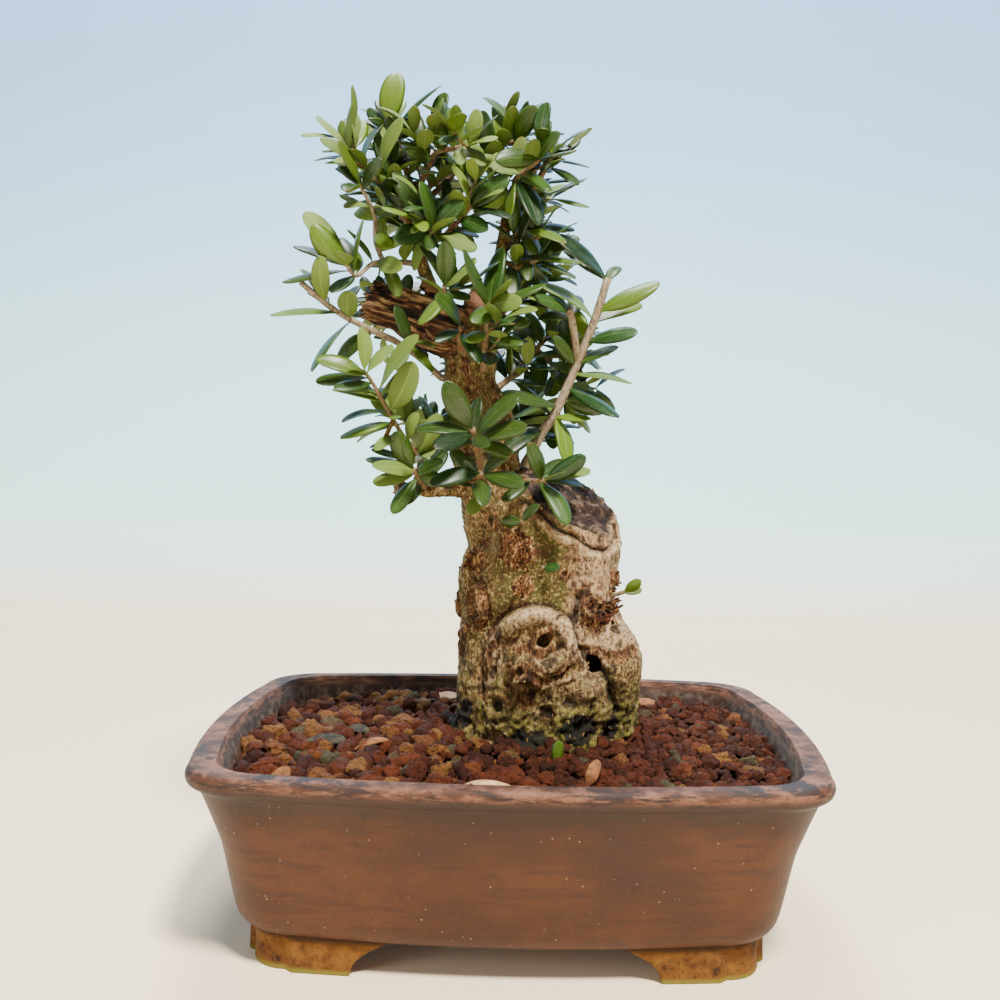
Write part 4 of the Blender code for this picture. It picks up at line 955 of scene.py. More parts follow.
SPOTS = [
    Spot(Side.FRONT, 8.9, 64.9, 3.9, 1.0, 1.3, pale=0.25),
    Spot(Side.FRONT, 2.9, 60.4, 2.9, 1.1, 1.7, rust=0.35),
    Spot(Side.FRONT, -6.0, 57.6, 2.6, 1.0, 0.9, pale=0.6),
    Spot(Side.FRONT, -2.2, 63.0, 2.2, 1.8, 0.4, pale=0.7),
    Spot(Side.FRONT, 19.0, 56.2, 5.0, 0.9, 1.5, pale=0.35),
    Spot(Side.FRONT, 12.0, 55.0, 3.6, 0.8, 0.6, pale=0.1),
    Spot(Side.FRONT, 26.7, 69.4, 4.4, 0.8, 1.2, pale=0.95),
    Spot(Side.FRONT, 28.0, 60.0, 3.5, 1.6, 0.8),
    Spot(Side.FRONT, 22.9, 62.6, 0.9, 2.0, 0.8, pale=0.9),
    Spot(Side.FRONT, 3.5, 53.9, 2.8, 0.9, -0.5, rust=0.9),
    Spot(Side.FRONT, -8.7, 71.0, 2.6, 1.0, 0.3, rust=0.95),
    Spot(Side.FRONT, 0.6, 90.4, 4.2, 1.1, 0.9, rust=0.95),
    Spot(Side.FRONT, 2.4, 81.5, 2.6, 1.0, 0.6, rust=1.0),
    Spot(Side.FRONT, 21.5, 74.6, 4.6, 0.75, 1.0, soot=0.35, rust=1.0),
    Spot(Side.FRONT, 18.0, 80.5, 1.6, 2.0, -0.4, soot=0.4, rust=0.5),
    Spot(Side.FRONT, 17.6, 46.2, 5.2, 0.72, -1.5, soot=1.0),
    Spot(Side.FRONT, 5.2, 42.6, 6.0, 0.5, -1.6, soot=1.0),
    Spot(Side.FRONT, 25.8, 45.4, 3.2, 1.0, -0.8, soot=0.9),
    Spot(Side.FRONT, -12.1, 47.5, 2.4, 1.6, -0.9, soot=0.9),
    Spot(Side.FRONT, 9.0, 50.0, 2.4, 0.8, -0.5, soot=0.5, rust=0.6),
    Spot(Side.LEFT, 2.0, 86.4, 2.5, 1.1, 3.2, rust=1.0),
    Spot(Side.LEFT, 3.0, 68.0, 2.2, 1.4, 1.6, rust=0.4),
    Spot(Side.LEFT, 10.0, 57.0, 4.0, 1.4, 0.9, pale=0.3),
    Spot(Side.LEFT, 8.0, 46.0, 6.0, 0.7, -1.2, soot=0.9),
    Spot(Side.RIGHT, 10.0, 60.0, 5.0, 1.3, 1.4, pale=0.3),
    Spot(Side.RIGHT, 20.0, 47.0, 6.0, 0.7, -1.2, soot=0.9),
    Spot(Side.BACK, 8.0, 46.0, 8.0, 0.6, -1.4, soot=1.0),
    Spot(Side.BACK, 14.0, 58.0, 5.0, 1.2, 1.6, pale=0.3),
    Spot(Side.BACK, -6.0, 78.0, 4.0, 1.4, -0.9, rust=0.7),
]


class Stroke(NamedTuple):
    """A ridge or groove drawn over the front: places across and height, width, rise, and its colours. Its dark is
    painted shade in a groove; its pale is partly pale bark and partly a painted highlight on a ridge.
    """

    route: tuple
    width: float
    rise: float
    dark: float = 0.0
    rust: float = 0.0
    pale: float = 0.0


WOUND_EDGE = (
    (1.8, 103.1), (3.8, 101.9), (6.3, 99.8), (8.4, 97.6), (10.4, 95.9), (12.6, 94.7),
    (15.2, 94.0), (17.2, 92.2), (19.5, 91.0), (22.7, 90.3), (25.1, 91.2), (26.6, 93.3),
)
BROW = (
    (-5.9, 61.5), (-4.7, 65.7), (-2.7, 69.6), (0.0, 72.4), (3.1, 74.3), (6.8, 74.9),
    (10.5, 73.8), (13.5, 71.8), (15.3, 69.4), (16.3, 66.3), (17.4, 63.6),
)
STROKES = [
    Stroke(BROW, 2.0, 1.6, pale=1.0),
    Stroke(tuple((x * 1.12 - 1.0, z + 2.6) for x, z in BROW[1:8]), 0.5, -0.9, 0.75, 0.4),
    Stroke(((16.2, 79.0), (15.7, 74.6), (15.5, 71.5), (16.5, 68.2), (18.1, 64.9), (20.1, 62.1)), 1.2, -2.0, 0.9),
    Stroke(((22.1, 61.3), (24.1, 59.5), (24.7, 55.7), (25.9, 52.9), (26.9, 49.6)), 1.0, -1.7, 0.85),
    Stroke(((17.8, 65.9), (21.3, 65.2), (25.0, 64.0), (28.5, 64.3), (31.0, 65.0)), 1.3, -1.1, 0.35, 0.9),
    Stroke(((4.5, 66.0), (5.0, 63.2), (7.0, 61.2), (9.5, 60.4), (11.9, 61.4), (13.6, 64.0)), 0.5, -0.8, 0.55, 0.6),
    Stroke(((5.6, 60.4), (8.3, 58.3), (11.5, 59.3), (14.1, 62.0)), 0.7, -0.7, 0.3, 0.8),
    Stroke(((0.5, 68.1), (-2.2, 67.5), (-4.2, 66.0), (-5.4, 63.3), (-6.4, 60.2), (-6.8, 57.3)), 0.9, -1.2, 0.4, 0.95),
    Stroke(((2.0, 66.0), (3.6, 66.8), (5.0, 65.5)), 1.1, -0.5, 0.2, 0.9),
    Stroke(((-3.1, 63.8), (-3.8, 61.3), (-4.0, 59.3)), 0.35, -0.9, 1.0),
    Stroke(((-0.1, 76.7), (-1.8, 74.5), (-3.8, 71.1), (-5.5, 67.6), (-7.2, 63.8)), 0.7, -1.0, 0.6, 0.4),
    Stroke(((-7.4, 63.5), (-8.0, 58.0), (-7.0, 52.0)), 0.8, -0.8, 0.3, 0.5),
    Stroke(((10.4, 73.9), (11.6, 74.6), (12.8, 74.2)), 0.35, -0.8, 1.0),
    Stroke(((14.0, 96.0), (15.6, 90.0), (15.0, 84.0), (15.8, 79.0)), 0.8, -0.5, 0.25, 0.35),
    Stroke(((8.0, 57.0), (12.0, 58.6), (17.0, 60.2), (19.0, 59.5)), 0.8, 0.7, pale=0.5),
    Stroke(((-1.0, 57.0), (2.0, 54.6), (6.0, 55.4)), 0.8, -0.8, 0.5, 0.8),
    Stroke(((-17.6, 145.0), (-17.0, 139.7), (-16.4, 135.0)), 0.7, -1.3, 0.5, 1.0),
    Stroke(((-14.4, 147.0), (-13.7, 141.0), (-13.0, 136.0), (-12.0, 130.0)), 0.7, -1.3, 0.5, 1.0),
    Stroke(((-5.4, 128.0), (-4.6, 118.0), (-3.0, 110.0)), 0.5, -0.6, 0.5, 0.5),
    Stroke(((-11.0, 124.0), (-12.4, 116.0), (-11.8, 108.0)), 0.5, -0.7, 0.6, 0.5),
    Stroke(WOUND_EDGE, 0.55, -1.3, 1.0),
    Stroke(tuple((x + 0.5, z - 2.0) for x, z in WOUND_EDGE), 1.2, 0.9, pale=0.95),
    Stroke(((10.0, 101.0), (12.8, 101.7), (15.5, 101.0), (19.1, 101.8), (21.3, 101.3)), 0.3, 0.5, pale=1.0),
]
WOUND_LOBE = (22.4, 93.6)
STUMP_END = 6.0


class BudCluster(NamedTuple):
    """A tuft of dry bud scales: side, place, radius, how many, length of a scale and how dark they are."""

    side: Side
    across: float
    height: float
    radius: float
    count: int
    length: float
    dark: float


BUD_CLUSTERS = [
    BudCluster(Side.FRONT, 0.4, 90.8, 4.3, 90, 1.9, 0.35),
    BudCluster(Side.FRONT, 3.2, 87.6, 2.2, 26, 1.6, 0.35),
    BudCluster(Side.FRONT, 2.3, 81.6, 2.4, 30, 1.6, 0.3),
    BudCluster(Side.FRONT, 18.4, 74.8, 2.8, 50, 1.8, 0.7),
    BudCluster(Side.FRONT, 23.4, 74.6, 3.2, 70, 2.3, 0.75),
    BudCluster(Side.FRONT, 26.6, 75.6, 1.8, 26, 2.5, 0.8),
    BudCluster(Side.FRONT, -8.7, 71.2, 2.0, 18, 1.2, 0.3),
    BudCluster(Side.LEFT, 2.4, 86.6, 2.6, 46, 2.0, 0.45),
    BudCluster(Side.LEFT, 3.6, 90.4, 1.6, 16, 1.6, 0.45),
    BudCluster(Side.FRONT, -5.4, 96.8, 1.8, 14, 1.2, 0.6),
    BudCluster(Side.RIGHT, 2.0, 80.6, 1.6, 18, 1.9, 0.5),
    BudCluster(Side.FRONT, 2.6, 60.6, 1.8, 12, 0.9, 0.2),
    BudCluster(Side.BACK, 4.0, 92.5, 3.0, 36, 1.9, 0.45),
    BudCluster(Side.BACK, 17.0, 76.0, 2.4, 26, 1.7, 0.5),
]


@dataclass(frozen=True)
class BarkFinish:
    """Olive-green living bark with tan flakes, dead wood, sawn faces, moss and wet black at the foot, with painted
    shade in hollows, holes and grooves and pale bark that is partly a painted highlight on ridges and swellings.
    """

    olive: Colour = hue("4b4716")
    green: Colour = hue("3d4714")
    brown: Colour = hue("4c3218")
    tan: Colour = hue("8a6c36")
    cream: Colour = hue("cbb67c")
    light: Colour = hue("ddc79a")
    pinkish: Colour = hue("b98f73")
    # Darkest brown of the bark's cracks, also used for the painted shade in hollows.
    crack_and_shade: Colour = hue("22110a")
    rust: Colour = hue("4a2310")
    orange: Colour = hue("8d5a30")
    moss: Colour = hue("8a8230")
    # Near-black of the wet black at the foot, also used for the painted shade in holes, grooves and creases.
    soot: Colour = hue("0c0906")
    wound_dark: Colour = hue("1d120e")
    wound_mid: Colour = hue("4a3427")
    wound_light: Colour = hue("9a7f66")
    dead_light: Colour = hue("b08a62")
    dead_mid: Colour = hue("5e3820")
    dead_dark: Colour = hue("180d08")
    sawn: Colour = hue("a8745c")

    def living(self, graph: Graph, rough: Value, dry: Value, pale: Value) -> Value:
        """Colour of the living bark: smooth olive, rough and crumbly, or dry and pinkish. The pale mark lightens it,
        partly as pale bark and partly as a painted highlight on ridges and swellings.
        """
        at = graph.place()
        broad = graph.grain(at, 6.0, 4.0, 0.65)
        smooth = graph.ramp(broad, (0.36, self.green), (0.50, self.olive), (0.66, self.brown))
        specks = graph.grain(graph.warped(at, 1.5, 0.4), 0.8, 3.0, 0.75)
        smooth = graph.mix(smooth, self.tan, specks.above(0.49, 0.58) * 0.75)
        smooth = graph.mix(smooth, self.cream, specks.above(0.58, 0.64) * 0.7)
        upright = graph.place((1.0, 1.0, 0.6))
        crumbs = graph.grain(graph.warped(upright, 1.4, 0.7), 0.75, 4.0, 0.8)
        patches = graph.grain(at, 3.4, 3.0, 0.65)
        coarse = graph.ramp(
            crumbs, (0.34, self.crack_and_shade), (0.42, self.brown), (0.50, self.tan), (0.60, self.cream)
        )
        coarse = graph.mix(coarse, smooth, patches.above(0.48, 0.60) * 0.7)
        dried = graph.ramp(crumbs, (0.32, self.crack_and_shade), (0.40, self.brown), (0.47, self.pinkish), (0.62, self.cream))
        dried = graph.mix(dried, smooth, patches.above(0.54, 0.64) * 0.6)
        colour = graph.mix(smooth, coarse, rough)
        colour = graph.mix(colour, dried, dry)
        light = graph.ramp(crumbs, (0.34, self.brown), (0.41, self.tan), (0.47, self.pinkish), (0.54, self.light))
        # Pale bark, partly a painted highlight on ridges and swellings.
        colour = graph.mix(colour, light, pale * 0.85)
        lines = abs(graph.grain(graph.warped(upright, 2.5, 1.3), 2.4, 2.0) - 0.5)
        return graph.mix(colour, self.crack_and_shade, lines.above(0.016, 0.004) * (0.35 + 0.4 * rough))

    def material(self) -> bpy.types.Material:
        """Builds the material from the marks on the trunk and patterns in space."""
        graph = Graph("bark")
        at = graph.place()
        upright = graph.place((1.0, 1.0, 0.4))
        wound, dead, sawn = [graph.axis(graph.mark("woods", 1), k) for k in range(3)]
        moss, soot, rust = [graph.axis(graph.mark("stains", 1), k) for k in range(3)]
        # The first and third are painted shade in holes, grooves, creases and hollows; pale is pale bark, partly a
        # painted highlight.
        dark, pale, hollow_shade = [graph.axis(graph.mark("painted_shade_and_pale", 1), k) for k in range(3)]
        rough, dry, rings = [graph.axis(graph.mark("bark_kinds", 1), k) for k in range(3)]
        fine = graph.grain(upright, 0.8, 4.0, 0.7)
        middle = graph.grain(at, 2.2, 3.0, 0.7)
        colour = self.living(graph, rough, dry, pale)
        stains = graph.grain(graph.warped(at, 3.0, 1.2), 4.2, 5.0, 0.75)
        colour = graph.mix(colour, self.rust, stains.above(0.55, 0.62) * 0.8)
        colour = graph.mix(colour, self.orange, stains.above(0.38, 0.31) * 0.5)
        red = graph.ramp(fine, (0.36, self.crack_and_shade), (0.44, self.rust), (0.54, self.orange), (0.64, self.cream))
        colour = graph.mix(colour, red, (rust * 1.15 + middle - 0.68).above(0.0, 0.35) * 0.9)
        green = graph.mix(self.moss, self.olive, middle.above(0.42, 0.56))
        colour = graph.mix(colour, green, (moss * 0.8 + fine * 0.9 - 0.72).above(0.0, 0.4) * 0.75)
        colour = graph.mix(colour, self.crack_and_shade, fine.above(0.44, 0.36) * 0.55)
        # Painted shade in the hollows of the relief.
        colour = graph.mix(colour, self.crack_and_shade, hollow_shade * 0.85)
        face = graph.ramp(middle, (0.38, self.wound_dark), (0.52, self.wound_mid), (0.70, self.wound_light))
        face = graph.mix(face, self.wound_dark, fine.above(0.52, 0.42) * 0.6)
        face = graph.mix(face, self.wound_light, rings * 0.55)
        # Painted shade in the pits of the wound's face.
        face = graph.mix(face, self.dead_dark, hollow_shade * 0.9)
        fibre = graph.mark("fibre", 1)
        threads = graph.grain(fibre, 1.0, 4.0, 0.65)
        stump = graph.ramp(
            threads, (0.42, self.dead_dark), (0.50, self.dead_mid), (0.58, self.dead_light), (0.70, self.cream)
        )
        stump = graph.mix(stump, self.orange, graph.grain(fibre, 3.0, 2.0).above(0.52, 0.64) * 0.25)
        # Painted shade in the stump's furrows.
        stump = graph.mix(stump, self.dead_dark, hollow_shade)
        colour = graph.mix(colour, face, wound)
        colour = graph.mix(colour, stump, dead)
        colour = graph.mix(colour, graph.mix(self.sawn, self.tan, fine * 0.5), sawn)
        colour = graph.mix(colour, self.soot, (soot * 1.25 + middle * 1.3 + fine * 0.9 - 1.52).above(0.0, 0.25) * 0.95)
        # Painted shade in knot holes, grooves and creases, in the same near-black as the stain at the foot.
        colour = graph.mix(colour, self.soot, dark * 0.92)
        shine = 0.70 + 0.15 * fine - 0.10 * soot
        crumbs = graph.grain(at, 0.45, 4.0, 0.75)
        height = fine * 0.8 + middle * 0.6 + crumbs * 0.8 + threads * dead * 1.2
        graph.finish(colour, shine, graph.bump(height, 0.75, 1.0), Specular_IOR_Level=0.35)
        return graph.material


@dataclass(frozen=True)
class ScaleFinish:
    """Dry bud scales and bark flakes: rust, dark brown and tan by each one's own tone."""

    dark: Colour = hue("1c0e07")
    rust: Colour = hue("5c2a14")
    tan: Colour = hue("9a7142")
    olive: Colour = hue("6a6128")
    cream: Colour = hue("c8ae82")

    def material(self, name: str) -> bpy.types.Material:
        """Builds the material from the tone stored on each scale."""
        graph = Graph(name)
        tone = graph.axis(graph.mark("scale", 1), 0)
        length = graph.axis(graph.mark("scale", 1), 1)
        soft = graph.grain(graph.place(), 0.7, 3.0, 0.7)
        colour = graph.ramp(
            tone, (0.0, self.dark), (0.25, self.rust), (0.5, self.tan), (0.75, self.olive), (1.0, self.cream)
        )
        colour = graph.mix(colour, self.dark, soft.above(0.50, 0.66) * 0.6)
        colour = graph.mix(colour, self.tan, length.above(0.7, 1.0) * 0.45)
        graph.finish(colour, 0.75, graph.bump(soft, 0.2, 0.8), Specular_IOR_Level=0.35)
        return graph.material


@dataclass
class Trunk:
    """Root stock, gnarled trunk, dead stump and main stems, grown as one piece."""

    fine_sides: int = 132
    voxel: float = 0.485
    flake_count: int = 1500
    finish: BarkFinish = field(default_factory=BarkFinish)
    scale_finish: ScaleFinish = field(default_factory=ScaleFinish)

    @staticmethod
    def lump_height(point: Vector) -> float:
        """Sum of the swellings and hollows at a point near the surface."""
        total = 0.0
        for x, y, z, crest, breadth, height in TRUNK_LUMPS:
            away = (point - Vector((x, y, z))).length
            total += height * math.exp(-(((away - crest) / breadth) ** 2))
        return total

    @staticmethod
    def pressed(point: Vector, cut: tuple) -> Vector:
        """The point, brought down onto a sawn plane where it stands above it."""
        origin, normal = Vector(cut[0]), Vector(cut[1]).normalized()
        above = (point - origin).dot(normal)
        return point - normal * above if above > 0 else point

    def ring(self, row: tuple, sides: int) -> Ring:
        """One ring: an ellipse with lobes, lumps and the sawn shoulder. Below the soil it is plain.

        Args:
            row: Height, centre X, centre Y, half width and half depth.
            sides: Number of points.

        Returns:
            The ring's points.
        """
        height, centre_x, centre_y, half_x, half_y = row
        bury = min(1.0, max(0.0, (height - 42.5) / 3.0))
        points = []
        for k in range(sides):
            angle = 2 * math.pi * k / sides
            direction = Vector((math.cos(angle), math.sin(angle), 0.0))
            point = Vector((centre_x + half_x * direction.x, centre_y + half_y * direction.y, height))
            lobes = 0.7 * math.sin(5 * angle + 0.06 * height) + 0.5 * math.sin(9 * angle - 0.11 * height)
            point += direction * (bury * (lobes + self.lump_height(point)))
            points.append(tuple(self.pressed(point, SHOULDER_CUT)))
        return points

    def pieces(self, sides: int, extra: int, smooth: bool) -> list[bpy.types.Mesh]:
        """The lofted body and every limb, before they are joined.

        Args:
            sides: Number of points round the body.
            extra: Added bevel resolution of the limbs.
            smooth: Whether rings and routes are drawn finer than they are given.

        Returns:
            Closed meshes in metres.
        """
        rows = [Vector(row) for row in TRUNK_RINGS]
        if smooth:
            rows = smooth_route(rows, 5)
        made = [loft([self.ring(tuple(row), sides) for row in rows], "trunk_body")]
        details = [UPPER_TRUNK_DETAIL, UPPER_TRUNK_DETAIL - 1] + [LIMB_DETAIL] * len(LIMBS)
        for number, (limb, detail) in enumerate(zip([UPPER_TRUNK, DEAD_STUMP, *LIMBS], details)):
            stations = [Vector(place) for place in limb]
            if smooth:
                stations = smooth_route(stations, 4)
            mesh = tube([s[:3] for s in stations], [s[3] for s in stations], detail + extra, "limb")
            if number == 0:
                for vertex in mesh.vertices:
                    vertex.co = self.pressed(vertex.co / MM, CROWN_CUT) * MM
            made.append(mesh)
        return made

    def remeshed(self) -> bpy.types.Object:
        """Body and limbs grown together into one fine even mesh."""
        bm = bmesh.new()
        for mesh in self.pieces(self.fine_sides, 4, True):
            bm.from_mesh(mesh)
        joined = bpy.data.meshes.new("trunk_joined")
        bm.to_mesh(joined)
        bm.free()
        rough = linked(bpy.data.objects.new("trunk_joined", joined))
        modifier = rough.modifiers.new("grown", "REMESH")
        modifier.mode = "VOXEL"
        modifier.voxel_size = self.voxel * MM
        modifier.use_smooth_shade = True
        smoothing = rough.modifiers.new("eased", "SMOOTH")
        smoothing.iterations = 3
        mesh = evaluated(rough)
        removed(rough)
        return linked(bpy.data.objects.new("trunk_bark", mesh))

    def build(self) -> None:
        """Makes the fine trunk, presses its relief and stores its marks."""
        piece = self.remeshed()
        mesh = piece.data
        count = len(mesh.vertices)
        points = np.empty(count * 3)
        normals = np.empty(count * 3)
        mesh.vertices.foreach_get("co", points)
        mesh.vertices.foreach_get("normal", normals)
        points = points.reshape(-1, 3) / MM
        normals = normals.reshape(-1, 3)
        relief, marks = Relief(points, normals, piece).worked()
        moved = (points + normals * relief[:, None]) * MM
        mesh.vertices.foreach_set("co", moved.ravel())
        mesh.update()
        for label, values in marks.items():
            set_mark(mesh, label, values)
        mesh.shade_smooth()
        dressed(piece, self.finish.material(), Slot.BARK, "trunk")
        surface = Surface(mesh)
        finish = self.scale_finish.material("bark_scales")
        self.scales(surface, finish)
        self.flakes(surface, marks, points, finish)

    def scales(self, surface: "Surface", finish: bpy.types.Material) -> None:
        """Dry bud scales in tufts, as one piece.

        Args:
            surface: The finished trunk's surface.
            finish: Their material.
        """
        draw = random.Random(71)
        drift = Drift()
        for tuft in BUD_CLUSTERS:
            for _ in range(tuft.count):
                reach = tuft.radius * math.sqrt(draw.random())
                turn = draw.uniform(0.0, 2.0 * math.pi)
                across, height = tuft.across + reach * math.cos(turn), tuft.height + reach * math.sin(turn)
                spot, normal = surface.met(tuft.side, across, height)
                out = Vector(tuft.side.value) * -1.0
                lean = Vector([draw.gauss(0.0, 0.55) for _ in range(3)])
                axis = (normal + 0.3 * out + lean).normalized()
                length = tuft.length * draw.uniform(0.45, 1.1)
                tone = min(1.0, max(0.0, draw.gauss(0.42 - 0.4 * tuft.dark, 0.16)))
                drift.scale(spot - axis * 0.35, axis, normal, length, length * draw.uniform(0.35, 0.6), tone, draw)
        drift.piece("bud_scales", finish, Slot.BARK)

    def flakes(self, surface: "Surface", marks: dict, points: np.ndarray, finish: bpy.types.Material) -> None:
        """Lifted flakes of bark over the rough parts, as one piece.

        Args:
            surface: The finished trunk's surface.
            marks: The trunk's marks.
            points: The trunk's points before the relief, in millimetres.
            finish: Their material.
        """
        draw = random.Random(72)
        drift = Drift()
        rough = marks["bark_kinds"][:, 0] * (1.0 - marks["woods"].max(axis=1)) * (points[:, 2] > 43.0)
        rough = rough * (1.0 - 0.8 * marks["bark_kinds"][:, 1]) * (points[:, 2] < 128.0)
        chosen = np.flatnonzero(rough > 0.35)
        for number in draw.sample(list(chosen), min(self.flake_count, len(chosen))):
            spot, normal = surface.points[number], surface.normals[number]
            up = Vector((draw.gauss(0.0, 0.35), draw.gauss(0.0, 0.35), 1.0))
            up = (up - normal * up.dot(normal)).normalized()
            axis = (up + normal * draw.uniform(0.0, 0.22)).normalized()
            length = draw.uniform(0.6, 1.5)
            tone = draw.choice((0.2, 0.3, 0.45, 0.55, 0.7, 0.8, 0.95))
            drift.scale(spot - normal * 0.12, axis, normal, length, length * draw.uniform(0.3, 0.55), tone, draw)
        drift.piece("bark_flakes", finish, Slot.BARK)


def noise_at(points: np.ndarray, size: float, stretch: Sequence[float] = (1.0, 1.0, 1.0), shift: float = 0.0) -> np.ndarray:
    """Soft noise at many points.

    Args:
        points: One row per point, in millimetres.
        size: Size of the blotches.
        stretch: Factor on each axis.
        shift: Moves the pattern, so that two differ.

    Returns:
        Numbers from about -1 to 1.
    """
    places = points * np.asarray(stretch) / size + shift
    return np.array([noise.noise(Vector(place)) for place in places])


def risen(values: np.ndarray, low: float, high: float) -> np.ndarray:
    """Smooth share of the way from low to high for many numbers, as eased does for one."""
    share = np.clip((values - low) / (high - low), 0.0, 1.0)
    return share * share * (3.0 - 2.0 * share)


class Surface:
    """The finished trunk's surface, to set small things on."""

    def __init__(self, mesh: bpy.types.Mesh) -> None:
        """Keeps points, normals and a search tree, in millimetres."""
        self.points = [vertex.co / MM for vertex in mesh.vertices]
        self.normals = [vertex.normal.copy() for vertex in mesh.vertices]
        self.tree = BVHTree.FromPolygons(self.points, [face.vertices[:] for face in mesh.polygons])

    def met(self, side: Side, across: float, height: float) -> tuple[Vector, Vector]:
        """Place and normal where the surface is met when going into the wood from a side."""
        inward = Vector(side.value)
        start = Vector((across, 12.0, height)) if inward.y else Vector((8.0, across, height))
        place, normal = self.tree.ray_cast(start - inward * 80.0, inward)[:2]
        if place is None:
            place, normal = self.tree.find_nearest(start - inward * 20.0)[:2]
        return place, normal


@dataclass
class Drift:
    """Many small pointed scales that become one piece."""

    points: list = field(default_factory=list)
    faces: list = field(default_factory=list)
    marks: list = field(default_factory=list)

    def scale(
        self, foot: Vector, axis: Vector, normal: Vector, length: float, width: float, tone: float, draw: random.Random
    ) -> None:
        """Adds one scale: a curled pointed plate with thickness.

        Args:
            foot: Its foot.
            axis: Where it points.
            normal: Side that it turns up to.
            length: Its length.
            width: Its width.
            tone: Place of its colour.
            draw: Source of its curl.
        """
        across = axis.cross(normal)
        across = across.normalized() if across.length > 0.05 else axis.orthogonal().normalized()
        across = Matrix.Rotation(draw.uniform(-1.2, 1.2), 3, axis) @ across
        up = across.cross(axis).normalized()
        curl = draw.uniform(-0.25, 0.35) * length
        start = len(self.points)
        thick = 0.09
        for share, half in ((0.0, 0.35), (0.4, 1.0), (0.78, 0.62)):
            middle = foot + axis * (length * share) + up * (curl * share * share)
            for side, lift in ((-1, 0.0), (0, thick), (1, 0.0), (0, -thick)):
                self.points.append(middle + across * (side * half * width / 2) + up * (lift + 0.06 * (side != 0)))
                self.marks.append((tone, share, 0.0))
        self.points.append(foot + axis * length + up * curl)
        self.marks.append((tone, 1.0, 0.0))
        for ring in (0, 4):
            for k in range(4):
                low = start + ring
                self.faces.append((low + k, low + (k + 1) % 4, low + 4 + (k + 1) % 4, low + 4 + k))
        self.faces += [(start + 8 + k, start + 8 + (k + 1) % 4, start + 12) for k in range(4)]
        self.faces.append((start + 3, start + 2, start + 1, start))

    def piece(self, name: str, finish: bpy.types.Material, slot: Slot) -> None:
        """Makes the piece."""
        made = made_piece(name, np.array(self.points), self.faces, {"scale": np.array(self.marks)})
        dressed(made, finish, slot)


def away_from_line(points: np.ndarray, line: Sequence[np.ndarray]) -> np.ndarray:
    """Distance of many points from a line of joined stretches."""
    best = np.full(len(points), 1e9)
    for start, end in zip(line, line[1:]):
        span = end - start
        share = np.clip((points - start) @ span / max(span @ span, 1e-9), 0.0, 1.0)
        best = np.minimum(best, np.linalg.norm(points - start - share[:, None] * span, axis=1))
    return best


